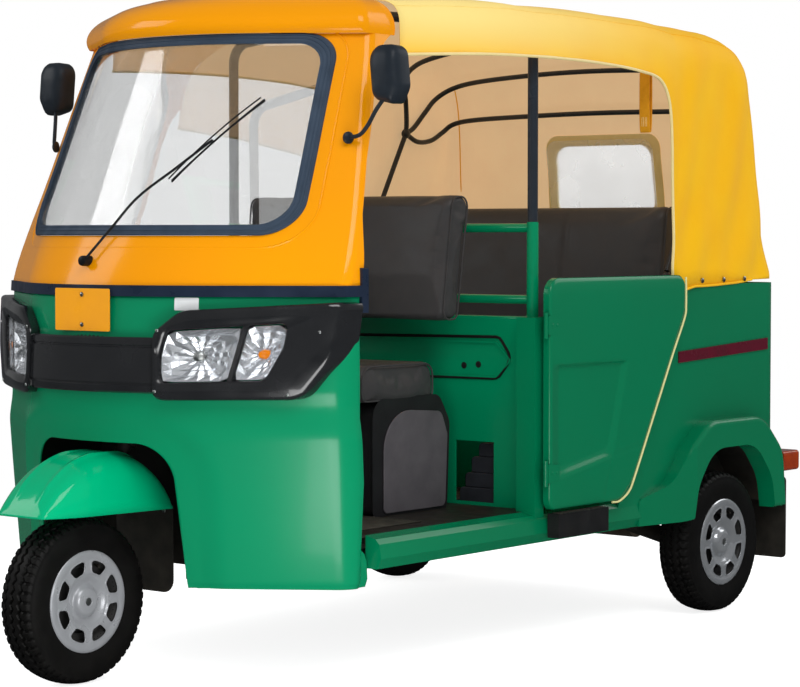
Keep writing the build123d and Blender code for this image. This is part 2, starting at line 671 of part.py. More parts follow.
with BuildPart() as engine_lid:
    extrude(lid_sketch(LID_GAP), amount=-LID_SHEET)
    with BuildSketch(Plane.XZ.offset(-REAR_PANEL_Y)):
        for side in (-1, 1):
            with Locations((side * 190, 610)):
                with GridLocations(1, LOUVRE_PITCH, 1, LOUVRE_COUNT):
                    SlotOverall(LOUVRE_LENGTH, 9)
    extrude(amount=-LID_SHEET, mode=Mode.SUBTRACT)
    for x in (-LID_HINGE_X, LID_HINGE_X):
        add(rod((x - LID_BARREL, *LID_HINGE), (x + LID_BARREL, *LID_HINGE), LID_HINGE_RADIUS))
engine_lid.part.label = "engine_lid"
export_step(engine_lid.part, "parts/engine_lid.step")

# ---- canopy: hollow, with both sides open beside the seats ---------------------------------------
CANOPY_SHEET = 10.0
CANOPY_FRONT_Y = aft(BROW_BACK) + 2.0
# distance, half width at the hem, half width at the eaves, height of the eaves, crown height
CANOPY_ROWS = [
    (640, 508, 506, 1588, 1712),
    (1150, 604, 586, 1600, 1742),
    (1800, 614, 592, 1590, 1742),
    (2400, 598, 566, 1560, 1726),
]
EAVES_RADIUS = 92.0
ROOF_SIDE = [(600, 940), (600, 1780), (1700, 1780), (1700, 1746), (2236, 1722), (2262, 1385), (2336, 940)]
HEM_Z = WAIST_Z + SEAT_GAP
OPENING_REAR = 1736
OPENING_TOP = [(500, 1548), (1150, 1566), (1640, 1548)]


def canopy_section(distance, hem_half, eaves_half, eaves_z, crown_z, inset):
    """One cross section of the canopy: leaning sides, rounded eaves and a crowned roof."""
    with BuildSketch(facing_front(aft(distance))) as section:
        with BuildLine():
            side_top = (eaves_half - inset, eaves_z)
            roof_end = (eaves_half - EAVES_RADIUS, eaves_z + EAVES_RADIUS - inset)
            lean = radians(45)
            mid = (
                eaves_half - EAVES_RADIUS + (EAVES_RADIUS - inset) * cos(lean),
                eaves_z + (EAVES_RADIUS - inset) * sin(lean),
            )
            Line((-hem_half + inset, HEM_Z - 40), (hem_half - inset, HEM_Z - 40))
            Line((hem_half - inset, HEM_Z - 40), side_top)
            ThreePointArc(side_top, mid, roof_end)
            ThreePointArc(roof_end, (0, crown_z - inset), (-roof_end[0], roof_end[1]))
            ThreePointArc((-roof_end[0], roof_end[1]), (-mid[0], mid[1]), (-side_top[0], side_top[1]))
            Line((-side_top[0], side_top[1]), (-hem_half + inset, HEM_Z - 40))
        make_face()
    return section.sketch


@cache
def canopy_volume(inset):
    """The whole space under the canopy's outer face, less an inset."""
    with BuildPart() as volume:
        loft(sections=[canopy_section(*row, inset) for row in CANOPY_ROWS], ruled=True)
        with BuildSketch(side_plane(-700)):
            with BuildLine():
                outline = []
                for distance, z in ROOF_SIDE:
                    back = inset if distance > 1900 else 0
                    outline.append((aft(distance) - back, z - back if z > 1500 else z))
                FilletPolyline(*outline, radius=(0, 0, 0, 0, 120, 160, 0), close=True)
            make_face()
        extrude(amount=1400, mode=Mode.INTERSECT)
    return volume.part


WINDOW_HALF_WIDTH = 200.0
WINDOW_Z = (1140.0, 1395.0)
WINDOW_CORNER = 40.0


def window_prism(inset):
    """A rounded prism through the canopy's back, less an inset all round."""
    with BuildPart() as prism:
        with BuildSketch(facing_front(aft(2500))):
            with Locations((0, sum(WINDOW_Z) / 2)):
                height = WINDOW_Z[1] - WINDOW_Z[0] - 2 * inset
                RectangleRounded(2 * (WINDOW_HALF_WIDTH - inset), height, WINDOW_CORNER - inset)
        extrude(amount=500)
    return prism.part


with BuildPart() as canopy:
    add(canopy_volume(0.0))
    add(canopy_volume(CANOPY_SHEET), mode=Mode.SUBTRACT)
    add(box_between((-800, aft(500), 800), (800, aft(2500), HEM_Z)), mode=Mode.SUBTRACT)
    add(box_between((-800, aft(500), 800), (800, CANOPY_FRONT_Y, 2000)), mode=Mode.SUBTRACT)
    with BuildSketch(side_plane(-700)):
        with BuildLine():
            top = side_outline(OPENING_TOP)
            rear_x = aft(OPENING_REAR)
            ThreePointArc(*top)
            Line(top[2], (rear_x - 20, top[2][1] - 50))
            Line((rear_x - 20, top[2][1] - 50), (rear_x, 900))
            Line((rear_x, 900), (top[0][0], 900))
            Line((top[0][0], 900), top[0])
        make_face()
    extrude(amount=1400, mode=Mode.SUBTRACT)
    add(window_prism(0.0), mode=Mode.SUBTRACT)
canopy.part.label = "canopy"
export_step(canopy.part, "parts/canopy.step")

# ---- rear window: a clear sheet let into the canopy's back ---------------------------------------
with BuildPart() as rear_window:
    add(canopy_volume(CANOPY_SHEET / 2 - 2))
    add(canopy_volume(CANOPY_SHEET / 2 + 2), mode=Mode.SUBTRACT)
    add(window_prism(SEAT_GAP), mode=Mode.INTERSECT)
rear_window.part.label = "rear_window"
export_step(rear_window.part, "parts/rear_window.step")

# ---- hood bows: the iron frame under the canopy --------------------------------------------------
BOW_RADIUS = 11.0
HOOD_PIVOT = (566.0, aft(2000), 1420.0)
HOOD_FOOT = (572.0, aft(1770), WAIST_Z + 40.0)
ROOF_BOW_Z = 1708.0
# each bow: how far back, then half width and height of its shoulder, its bend and its middle
HOOD_BOWS = [
    (1930, (550, 1590), (430, 1650), 1698),
    (2180, (550, 1500), (420, 1590), 1590),
    (2212, (550, 1380), (420, 1450), 1450),
]
CANT_RAIL_RADIUS = 9.0
CANT_RAIL = ((540.0, B_POST_Y + 15.2, 1560.0), (512.0, aft(1930), 1618.0))

with BuildPart() as hood_bows:
    for distance, shoulder, bend, middle_z in HOOD_BOWS:
        run = [(*point[:1], aft(distance), *point[1:]) for point in (shoulder, bend, (0, middle_z))]
        for arm in both_sides(tube([HOOD_PIVOT, *run], BOW_RADIUS, 60)):
            add(arm)
    knuckle_ends = [(HOOD_PIVOT[0] + reach, *HOOD_PIVOT[1:]) for reach in (-16, 11)]
    foot_y = (HOOD_FOOT[1] - 18, HOOD_FOOT[1] + 18)
    pieces = [
        rod(HOOD_FOOT, HOOD_PIVOT, BOW_RADIUS),
        rod(*knuckle_ends, BOW_RADIUS + 8),
        rod(*CANT_RAIL, CANT_RAIL_RADIUS),
        box_between((HOOD_FOOT[0] - 10, foot_y[0], WAIST_Z - 60), (SKIN_X, foot_y[1], WAIST_Z)),
        box_between((HOOD_FOOT[0] - 10, foot_y[0], WAIST_Z), (HOOD_FOOT[0] + 16, foot_y[1], HOOD_FOOT[2])),
    ]
    for piece in pieces:
        for mirrored in both_sides(piece):
            add(mirrored)
hood_bows.part.label = "hood_bows"
export_step(hood_bows.part, "parts/hood_bows.step")

# ---- pillar posts: dark tubes from the side pillars to the roof and one bow across it ------------
POST_RADIUS = 14.0
POST_TOP_Z = 1650.0
GUARD_TOP_Z = 1116.0
GUARD_LOW_Z = 925.0
GUARD_RADIUS = 12.0
GUARD_INNER_X = 250.0
POST_SOCKET = 16.0

with BuildPart() as pillar_posts:
    post_points = [
        (B_POST_X, B_POST_Y, GUARD_TOP_Z + POST_SOCKET), (B_POST_X, B_POST_Y, POST_TOP_Z),
        (0, B_POST_Y, ROOF_BOW_Z),
    ]
    for post in both_sides(tube(post_points, POST_RADIUS, 60)):
        add(post)
pillar_posts.part.label = "pillar_posts"
export_step(pillar_posts.part, "parts/pillar_posts.step")

with BuildPart() as guard_rails:
    foot_z = PILLAR_TOP_Z + SEAT_GAP
    for side in (-1, 1):
        x, inner_x = side * B_POST_X, side * GUARD_INNER_X
        socket_top = (x, B_POST_Y, GUARD_TOP_Z + POST_SOCKET - SEAT_GAP)
        add(rod((x, B_POST_Y, foot_z), socket_top, POST_RADIUS + 2))
        for z in (GUARD_LOW_Z, GUARD_TOP_Z):
            add(rod((x, B_POST_Y, z), (inner_x, B_POST_Y, z), GUARD_RADIUS))
        inner_top = (inner_x, B_POST_Y, GUARD_TOP_Z + GUARD_RADIUS)
        add(rod((inner_x, B_POST_Y, foot_z), inner_top, GUARD_RADIUS))
guard_rails.part.label = "guard_rails"
export_step(guard_rails.part, "parts/guard_rails.step")

# ---- partition behind the driver -----------------------------------------------------------------
PARTITION_Y = aft(1140)
PARTITION_SHEET = 4.0
PARTITION_RIM = 28.0
PARTITION_HALF_WIDTH = SILL_INNER_X - 24.0
HATCH_OUTLINE = [(-380, 714), (440, 714), (492, 762), (440, 812), (-380, 812)]
RECESS = (300.0, 430.0, 375.0, 540.0)

with BuildPart() as partition_panel:
    sheet_corner = (PARTITION_HALF_WIDTH, PARTITION_Y + PARTITION_SHEET, PILLAR_TOP_Z)
    add(box_between((-PARTITION_HALF_WIDTH, PARTITION_Y, FLOOR_Z), sheet_corner))
    rim_corner = (B_POST_X + 20, B_POST_Y + PARTITION_RIM, PILLAR_TOP_Z)
    add(box_between((-B_POST_X - 20, PARTITION_Y, PILLAR_TOP_Z - 14), rim_corner))
    fillet(partition_panel.edges().filter_by(Axis.X).group_by(Axis.Z)[-1], 6)
    with BuildSketch(facing_front(PARTITION_Y)) as hatch:
        Polygon(*HATCH_OUTLINE, align=None)
        fillet(hatch.vertices(), 12)
        offset(amount=-5, mode=Mode.SUBTRACT)
    extrude(amount=5)
    recess_corner = (RECESS[1], PARTITION_Y + 10, RECESS[3])
    add(box_between((RECESS[0], PARTITION_Y - 10, RECESS[2]), recess_corner), mode=Mode.SUBTRACT)
partition_panel.part.label = "partition_panel"
export_step(partition_panel.part, "parts/partition_panel.step")

# ---- driver's seat -------------------------------------------------------------------------------
SEAT_BASE_X = 345.0
SEAT_BASE_OUTLINE = [(740, FLOOR_Z), (1036, FLOOR_Z), (1046, 616), (1000, 664), (720, 664)]
CUSHION_X = 350.0
CUSHION_BOX = (664.0 + SEAT_GAP, 761.0, 690.0, 990.0)
BACK_X = 372.0
BACK_OUTLINE = [(1000, 868), (1062, 868), (1118, 1204), (1048, 1204)]

with BuildPart() as driver_seat_base:
    add(plate(side_plane(-SEAT_BASE_X), side_outline(SEAT_BASE_OUTLINE), 2 * SEAT_BASE_X, 5 * [18]))
driver_seat_base.part.label = "driver_seat_base"
export_step(driver_seat_base.part, "parts/driver_seat_base.step")

with BuildPart() as driver_seat_cushion:
    bottom, top, front, back = CUSHION_BOX
    add(box_between((-CUSHION_X, aft(front), bottom), (CUSHION_X, aft(back), top)))
    fillet(driver_seat_cushion.edges(), 24)
driver_seat_cushion.part.label = "driver_seat_cushion"
export_step(driver_seat_cushion.part, "parts/driver_seat_cushion.step")

with BuildPart() as driver_seat_back:
    with BuildSketch(side_plane(-BACK_X)) as back_profile:
        Polygon(*side_outline(BACK_OUTLINE), align=None)
    extrude(amount=2 * BACK_X)
    fillet(driver_seat_back.edges(), 20)
    for side in (-1, 1):
        add(box_between((side * 200 - 20, aft(1035), 869), (side * 200 + 20, PARTITION_Y - SEAT_GAP, 879)))
driver_seat_back.part.label = "driver_seat_back"
export_step(driver_seat_back.part, "parts/driver_seat_back.step")

# ---- rear seat -----------------------------------------------------------------------------------
REAR_SEAT_X = 544.0
REAR_CUSHION = (1452, 1872, SEAT_DECK_Z, 765)
REAR_BACK_OUTLINE = [(1776, 765.3), (1889.7, 765.3), (1889.7, 1180), (1832, 1180)]

with BuildPart() as passenger_seat_cushion:
    front, back, bottom, top = REAR_CUSHION
    add(box_between((-REAR_SEAT_X + 70, aft(front), bottom + SEAT_GAP), (REAR_SEAT_X - 70, aft(back), top)))
    fillet(passenger_seat_cushion.edges(), 24)
passenger_seat_cushion.part.label = "passenger_seat_cushion"
export_step(passenger_seat_cushion.part, "parts/passenger_seat_cushion.step")

with BuildPart() as passenger_seat_back:
    add(plate(side_plane(-REAR_SEAT_X), side_outline(REAR_BACK_OUTLINE), 2 * REAR_SEAT_X, 4 * [14]))
passenger_seat_back.part.label = "passenger_seat_back"
export_step(passenger_seat_back.part, "parts/passenger_seat_back.step")

# ---- engine: a plain block on the rails ----------------------------------------------------------
ENGINE = ((-200.0, aft(1860), 250.0), (200.0, aft(2200), 560.0))
ENGINE_MOUNT = (aft(1990), aft(2040), RAIL_BOTTOM_Z + 12, FLOOR_BOTTOM_Z - 14)
RAIL_INNER_X = RAIL_X - RAIL_SIZE[0] / 2

with BuildPart() as engine_block:
    add(box_between(*ENGINE))
    fillet(engine_block.edges().filter_by(Axis.X), 30)
    front, back, low, high = ENGINE_MOUNT
    add(box_between((-RAIL_INNER_X, front, low), (RAIL_INNER_X, back, high)))
engine_block.part.label = "engine_block"
export_step(engine_block.part, "parts/engine_block.step")

# ---- rear suspension: trailing arms with stub axles, and their shock absorbers -------------------
STUB_RADIUS = 12.0
HUB_BORE_RADIUS = STUB_RADIUS + SEAT_GAP
HUB_INNER = 46.0
HUB_OUTER = 52.0
HUB_BORE_END = 40.0
DRUM_RADIUS = 78.0
ARM_X = 440.0
ARM_RADIUS = 24.0
SHOCK_TOP = (ARM_X - 20, aft(1900), 520.0)
SHOCK_LOW = (ARM_X - 20, aft(1960), 245.0)

with BuildPart() as rear_suspension:
    for side in (-1, 1):
        x = side * ARM_X
        pivot_x = side * (RAIL_X + RAIL_SIZE[0] / 2)
        axle = (REAR_AXLE_Y, WHEEL_RADIUS)
        add(tube([(pivot_x, *ARM_PIVOT), (x, *ARM_PIVOT), (x, *axle)], ARM_RADIUS, 50))
        add(rod((x, *axle), (side * (REAR_WHEEL_X + HUB_BORE_END - 3), *axle), STUB_RADIUS))
        drum = [(side * (REAR_WHEEL_X - HUB_INNER - reach), *axle) for reach in (22, 4)]
        add(rod(*drum, DRUM_RADIUS))
        add(rod((x, *axle), drum[0], 34))
rear_suspension.part.label = "rear_suspension"
export_step(rear_suspension.part, "parts/rear_suspension.step")

with BuildPart() as rear_shocks:
    low, top = Vector(*SHOCK_LOW), Vector(*SHOCK_TOP)
    for shock in both_sides(rod(low, low + (top - low) * 0.4, 18) + rod(low + (top - low) * 0.35, top, 30)):
        add(shock)
    perch_low = (RAIL_X + RAIL_SIZE[0] / 2, SHOCK_TOP[1] - 22, 300)
    for perch in both_sides(box_between(perch_low, (SHOCK_TOP[0] - 26, SHOCK_TOP[1] + 22, 560))):
        add(perch)
rear_shocks.part.label = "rear_shocks"
export_step(rear_shocks.part, "parts/rear_shocks.step")

# ---- rear bumper tube and silencer ---------------------------------------------------------------
BUMPER_Z = 352.0
BUMPER_HALF = 430.0
BUMPER_Y = aft(2384)

with BuildPart() as rear_bumper:
    foot = (REAR_PANEL_Y + REAR_SHEET, BUMPER_Z)
    end = (BUMPER_Y, BUMPER_Z)
    bumper_points = [(BUMPER_HALF, *foot), (BUMPER_HALF, *end), (-BUMPER_HALF, *end), (-BUMPER_HALF, *foot)]
    add(tube(bumper_points, 15, 40))
rear_bumper.part.label = "rear_bumper"
export_step(rear_bumper.part, "parts/rear_bumper.step")

with BuildPart() as silencer:
    add(rod((-160, aft(2245), 205), (160, aft(2245), 205), 48))
    add(rod((150, aft(2245), 205), (150, aft(2330), 190), 14))
    for x in (-110, 110):
        add(rod((x, aft(2250), 205), (x, aft(2250), RAIL_BOTTOM_Z + 14), 8))
silencer.part.label = "silencer"
export_step(silencer.part, "parts/silencer.step")

# ---- door mirrors on thin stalks -----------------------------------------------------------------
MIRROR_OUTLINE = [(577, 1550), (664, 1556), (672, 1452), (652, 1412), (596, 1424)]
MIRROR_CORNER = 15.0
# distance behind the front axle and inset of each section, from the glass side forwards
MIRROR_SECTIONS = [(482, 0.0), (446, 3.0), (428, 8.0), (420, 14.0)]
STALK_RADIUS = 6.0
STALK_FOOT = (514.0, aft(433), 1334.0)
STALK_BOSS_RADIUS = 14.0
MIRROR_CENTRE_X = 624.0


def mirror_section(distance, inset):
    """The rounded outline of the mirror housing, drawn in by an inset."""
    with BuildSketch(facing_front(aft(distance))) as face:
        Polygon(*MIRROR_OUTLINE, align=None)
        fillet(face.vertices(), MIRROR_CORNER)
        if inset:
            offset(amount=-inset, mode=Mode.REPLACE)
    return face.sketch


with BuildPart() as mirrors:
    with BuildPart() as housing:
        loft(sections=[mirror_section(*section) for section in MIRROR_SECTIONS], ruled=True)
    foot_x, foot_y, foot_z = STALK_FOOT
    boss = rod((foot_x - 6, foot_y + 8, foot_z), (foot_x + 8, foot_y - 11, foot_z), STALK_BOSS_RADIUS)
    knee = (foot_x + 36, aft(436), foot_z + 8)
    lower = rod((foot_x + 4, foot_y - 6, foot_z), knee, STALK_RADIUS)
    upper = rod(knee, (MIRROR_CENTRE_X, aft(450), 1440), STALK_RADIUS)
    for piece in (housing.part, boss, lower, upper):
        for mirrored in both_sides(piece):
            add(mirrored)
    add(bowed_volume(CAP_ROWS, grow=SEAT_GAP), mode=Mode.SUBTRACT)
mirrors.part.label = "mirrors"
export_step(mirrors.part, "parts/mirrors.step")

# ---- wiper: pivot, long arm and blade lying off the glass ----------------------------------------
WIPER_PIVOT = (-20.0, 1034.0)
WIPER_MID = (243.0, 1330.0)
WIPER_BLADE = [(165.0, 1230.0), (320.0, 1430.0)]
WIPER_OFF = 16.0
BLADE_OFF = 9.0
ARM_WIRE = 3.6
BLADE_WIRE = 4.0


def on_cap(point, off):
    """The point over the cap's face at this x and z."""
    return (point[0], bowed_y(CAP_ROWS, *point) - off, point[1])


with BuildPart() as wiper:
    pivot_foot = on_cap(WIPER_PIVOT, -6)
    pivot_top = on_cap(WIPER_PIVOT, WIPER_OFF + 10)
    add(rod(pivot_foot, pivot_top, 11))
    knee = on_cap((100.0, 1190.0), WIPER_OFF + 8)
    add(rod(on_cap(WIPER_PIVOT, WIPER_OFF), knee, ARM_WIRE))
    add(rod(knee, on_cap(WIPER_MID, WIPER_OFF), ARM_WIRE))
    add(rod(on_cap(WIPER_BLADE[0], BLADE_OFF), on_cap(WIPER_MID, BLADE_OFF + 2), BLADE_WIRE))
    add(rod(on_cap(WIPER_MID, BLADE_OFF + 2), on_cap(WIPER_BLADE[1], BLADE_OFF), BLADE_WIRE))
    add(rod(on_cap(WIPER_MID, BLADE_OFF), on_cap(WIPER_MID, WIPER_OFF + 3), BLADE_WIRE))
    add(bowed_volume(CAP_ROWS, grow=SEAT_GAP), mode=Mode.SUBTRACT)
wiper.part.label = "wiper"
export_step(wiper.part, "parts/wiper.step")

# ---- small outer pieces: steps, trim strips, tail lamps, mud flaps, strap ------------------------
STEP = ((SIDE_X + 8.0, aft(1126), 298.0), (654.0, aft(1360), 362.0))
TRIM_OUTLINE = [(1772, 734), (2262, 756), (2262, 790), (1772, 766)]
TRIM_PROUD = 4.0
LAMP_BOX = ((506.0, BODY_REAR_Y + SEAT_GAP, 384.0), (632.0, aft(2426), 444.0))
FLAP = ((528.0, aft(FLAP_AFT), 126.0), (650.0, aft(FLAP_AFT) + 6.0, 372.0))
STRAP = ((507.0, aft(1730), 1386.0), (531.0, aft(1748), 1593.0))

with BuildPart() as side_steps:
    for step in both_sides(box_between(*STEP)):
        add(step)
    bracket_low = (SIDE_X + 6, STEP[0][1] + 60, SILL_BOTTOM_Z + 14)
    bracket_high = (SIDE_X + 12, STEP[1][1] - 60, SILL_BOTTOM_Z + 40)
    for bracket in both_sides(box_between(bracket_low, bracket_high)):
        add(bracket)
side_steps.part.label = "side_steps"
export_step(side_steps.part, "parts/side_steps.step")

with BuildPart() as side_trims:
    for strip in both_sides(plate(side_plane(SIDE_X), side_outline(TRIM_OUTLINE), TRIM_PROUD)):
        add(strip)
side_trims.part.label = "side_trims"
export_step(side_trims.part, "parts/side_trims.step")

with BuildPart() as tail_lamps:
    for lamp in both_sides(box_between(*LAMP_BOX)):
        add(lamp)
    fillet(tail_lamps.edges().filter_by(Axis.Y), 10)
    fillet(tail_lamps.faces().sort_by(Axis.Y)[-2:].edges(), 8)
tail_lamps.part.label = "tail_lamps"
export_step(tail_lamps.part, "parts/tail_lamps.step")

with BuildPart() as mud_flaps:
    for flap in both_sides(box_between(*FLAP)):
        add(flap)
    fillet(mud_flaps.edges().filter_by(Axis.Y), 14)
mud_flaps.part.label = "mud_flaps"
export_step(mud_flaps.part, "parts/mud_flaps.step")

with BuildPart() as grab_strap:
    add(box_between(*STRAP))
    fillet(grab_strap.edges().filter_by(Axis.X), 6)
grab_strap.part.label = "grab_strap"
export_step(grab_strap.part, "parts/grab_strap.step")

# ---- steering: column with a one-sided leading-link fork, handlebar, mudguard --------------------
LEG_X = -82.0
LEG_RADIUS = 14.0
LINK_PIVOT = (aft(128), 222.0)
FRONT_SHOCK = ((LEG_X, aft(-34), 226.0), (LEG_X, aft(74), 468.0))
BAR_RADIUS = 12.0
GRIP_RADIUS = 16.0
GRIP_LENGTH = 118.0
BAR_HALF = 335.0
BAR_POINTS = [(0.0, 0.0, 0.0), (96.0, 4.0, 26.0), (210.0, 50.0, 30.0), (BAR_HALF, 78.0, 22.0)]

with BuildPart() as fork:
    add(rod(on_axis(COLUMN_FOOT_Z), on_axis(COLUMN_TOP_Z), COLUMN_RADIUS))
    crown = on_axis(COLUMN_FOOT_Z + 16)
    add(tube([(LEG_X, *LINK_PIVOT), (LEG_X, aft(136), crown[2] - 30), crown], LEG_RADIUS, 34))
    add(rod(crown, (LEG_X, FRONT_SHOCK[1][1], FRONT_SHOCK[1][2] + 20), LEG_RADIUS))
    add(box_between((LEG_X - 12, aft(-46), 196), (LEG_X + 12, LINK_PIVOT[0] + 22, 236)))
    front_axle = (FRONT_AXLE_Y, WHEEL_RADIUS)
    add(rod((LEG_X - 16, *front_axle), (HUB_BORE_END - 3, *front_axle), STUB_RADIUS))
    add(rod((LEG_X, *front_axle), (-HUB_INNER - 4, *front_axle), DRUM_RADIUS - 30))
    add(rod(*FRONT_SHOCK, 15))
fork.part.label = "fork"
export_step(fork.part, "parts/fork.step")

with BuildPart() as handlebar:
    stem = on_axis(COLUMN_TOP_Z)
    add(rod(on_axis(COLUMN_TOP_Z + SEAT_GAP), on_axis(COLUMN_TOP_Z + 44), 30))
    points = [(x, stem[1] + 12 + dy, stem[2] + 16 + dz) for x, dy, dz in BAR_POINTS]
    half_bar = tube(points, BAR_RADIUS, 40)
    bar_end = Vector(*points[3])
    inwards = (Vector(*points[2]) - bar_end).normalized()
    grip = rod(bar_end + inwards * GRIP_LENGTH, points[3], GRIP_RADIUS)
    for arm in both_sides(half_bar + grip):
        add(arm)
handlebar.part.label = "handlebar"
export_step(handlebar.part, "parts/handlebar.step")

GUARD_HALF_WIDTH = 108.0
GUARD_SHEET = 3.0
GUARD_TIP = (-196, 424)
GUARD_CROWN = (92, 567)
GUARD_TAIL = (242, 417)
GUARD_SHOULDER = 34.0


def guard_volume(inset):
    """The domed space under the mudguard's outer face, less an inset."""
    half = GUARD_HALF_WIDTH - inset
    low = 300 if inset else 352
    tip = (aft(GUARD_TIP[0]) + inset, GUARD_TIP[1])
    crown = (aft(GUARD_CROWN[0]), GUARD_CROWN[1] - inset)
    tail = (aft(GUARD_TAIL[0]) - inset, GUARD_TAIL[1])
    with BuildPart() as volume:
        with BuildSketch(side_plane(-half)):
            with BuildLine():
                TangentArc(crown, tip, tangent=(-1, 0))
                TangentArc(crown, tail, tangent=(1, 0))
                Line(tail, (tail[0], low))
                Line((tail[0], low), (tip[0], low))
                Line((tip[0], low), tip)
            make_face()
        extrude(amount=2 * half)
        fillet(volume.edges().filter_by(GeomType.CIRCLE), GUARD_SHOULDER - inset)
    return volume.part


with BuildPart() as front_mudguard:
    add(guard_volume(0.0))
    add(guard_volume(GUARD_SHEET), mode=Mode.SUBTRACT)
    with BuildSketch(side_plane(-200)):
        with BuildLine():
            FilletPolyline(
                (aft(-300), 408), (aft(168), 408), (aft(214), 352), (aft(214), 200), radius=(30, 10)
            )
            Line((aft(214), 200), (aft(-300), 200))
            Line((aft(-300), 200), (aft(-300), 408))
        make_face()
    extrude(amount=400, mode=Mode.SUBTRACT)
    column_hole = rod(on_axis(COLUMN_FOOT_Z - 60), on_axis(HEAD_Z[0] + 40), HEAD_BORE_RADIUS)
    add(column_hole, mode=Mode.SUBTRACT)
front_mudguard.part.label = "front_mudguard"
export_step(front_mudguard.part, "parts/front_mudguard.step")

# ---- wheels --------------------------------------------------------------------------------------
BEAD_RADIUS = 104.0
RIM_HALF_WIDTH = 37.0
TYRE_POINTS = [(36.6, 113.6), (TYRE_HALF_WIDTH, 152), (42, 196)]
TYRE_BEAD = (TYRE_POINTS[0][0], BEAD_RADIUS)
COVER_RADIUS = 127.0
COVER_HOLES = 8
COVER_HOLE = [(-11, 74), (11, 74), (17, 98), (-17, 98)]
WHEELS = {
    "front": (0.0, FRONT_AXLE_Y, 1),
    "rear_left": (REAR_WHEEL_X, REAR_AXLE_Y, 1),
    "rear_right": (-REAR_WHEEL_X, REAR_AXLE_Y, -1),
}


def wheel_plane(x, y):
    """The plane through a wheel's axis: local x runs along the axle, local y up from it."""
    return Plane(origin=(x, y, WHEEL_RADIUS), x_dir=(1, 0, 0), z_dir=(0, -1, 0))


def tyre_at(x, y):
    """A tyre about the axle at x and y."""
    plane = wheel_plane(x, y)
    with BuildPart() as tyre:
        with BuildSketch(plane):
            with BuildLine():
                left = [(-across, r) for across, r in TYRE_POINTS]
                ThreePointArc(*TYRE_POINTS)
                ThreePointArc(TYRE_POINTS[2], (0, WHEEL_RADIUS), left[2])
                ThreePointArc(*reversed(left))
                Polyline(left[0], (-TYRE_BEAD[0], TYRE_BEAD[1]), TYRE_BEAD, TYRE_POINTS[0])
            make_face()
        revolve(axis=Axis(plane.origin, (1, 0, 0)))
    return tyre.part


def wheel_at(x, y, side):
    """A rim with its hub and its pierced cover on the outer side."""
    plane = wheel_plane(x, y)
    flange = RIM_HALF_WIDTH + 3
    profile = [
        (-HUB_INNER, HUB_BORE_RADIUS), (-HUB_INNER, 32), (26, 32), (33, 60), (36, 92), (-flange, 96),
        (-flange, 113), (-RIM_HALF_WIDTH, 113), (-RIM_HALF_WIDTH, BEAD_RADIUS - SEAT_GAP),
        (RIM_HALF_WIDTH, BEAD_RADIUS - SEAT_GAP), (RIM_HALF_WIDTH, 112), (50, 116), (51.5, COVER_RADIUS),
        (54, 122), (54, 114), (46, 98), (42, 70), (48, 42), (HUB_OUTER, 30), (HUB_OUTER, 0),
        (HUB_BORE_END, 0), (HUB_BORE_END, HUB_BORE_RADIUS),
    ]
    with BuildPart() as wheel:
        with BuildSketch(plane):
            Polygon(*[(side * across, r) for across, r in profile], align=None)
        revolve(axis=Axis(plane.origin, (1, 0, 0)))
        with BuildSketch(Plane(origin=(x + side * 20, y, WHEEL_RADIUS), x_dir=(0, 1, 0), z_dir=(side, 0, 0))):
            with PolarLocations(0, COVER_HOLES):
                with BuildLine():
                    Polyline(*[(r, across) for across, r in COVER_HOLE], close=True)
                make_face()
        extrude(amount=60, mode=Mode.SUBTRACT)
    return wheel.part


for place, (x, y, side) in WHEELS.items():
    tyre, wheel = tyre_at(x, y), wheel_at(x, y, side)
    tyre.label, wheel.label = f"{place}_tyre", f"{place}_wheel"
    export_step(tyre, f"parts/{tyre.label}.step")
    export_step(wheel, f"parts/{wheel.label}.step")

# ---- passenger door ------------------------------------------------------------------------------
DOOR_X = (SIDE_X + 3.0, SIDE_X + 29.0)
DOOR_OUTLINE = [(1108, 372), (1442, 372), (1500, 420), (1764, 880), (1768, 984), (1108, 984)]
DOOR_CORNERS = [26, 60, 60, 90, 30, 44]
DOOR_HINGE = (DOOR_X[1] - 8.0, aft(1098))
DOOR_HINGE_RADIUS = 7.0
DOOR_HINGE_Z = (470.0, 860.0)
DOOR_WALL = 4.0

with BuildPart() as passenger_door:
    with BuildSketch(side_plane(DOOR_X[0])):
        with BuildLine():
            FilletPolyline(*side_outline(DOOR_OUTLINE), radius=DOOR_CORNERS, close=True)
        make_face()
    extrude(amount=DOOR_X[1] - DOOR_X[0])
    fillet(passenger_door.faces().sort_by(Axis.X)[-1].outer_wire().edges(), 14)
    for z in DOOR_HINGE_Z:
        barrel = rod((*DOOR_HINGE, z - 35), (*DOOR_HINGE, z + 35), DOOR_HINGE_RADIUS)
        add(barrel)
        add(box_between((DOOR_HINGE[0] - 3, DOOR_HINGE[1], z - 35), (DOOR_HINGE[0] + 3, aft(1112), z + 35)))
passenger_door.part.label = "passenger_door"
export_step(passenger_door.part, "parts/passenger_door.step")
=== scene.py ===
"""Looks of the three-wheeled auto rickshaw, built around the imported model.

Row frame: X to the vehicle's left, Y towards its rear, Z up, in metres. Sizes in the classes are in
millimetres, and distances along the vehicle are measured from the front axle, as `at` turns them.
"""

import logging
import math
from dataclasses import dataclass
from enum import Enum
from typing import Callable, Optional, Sequence, Union

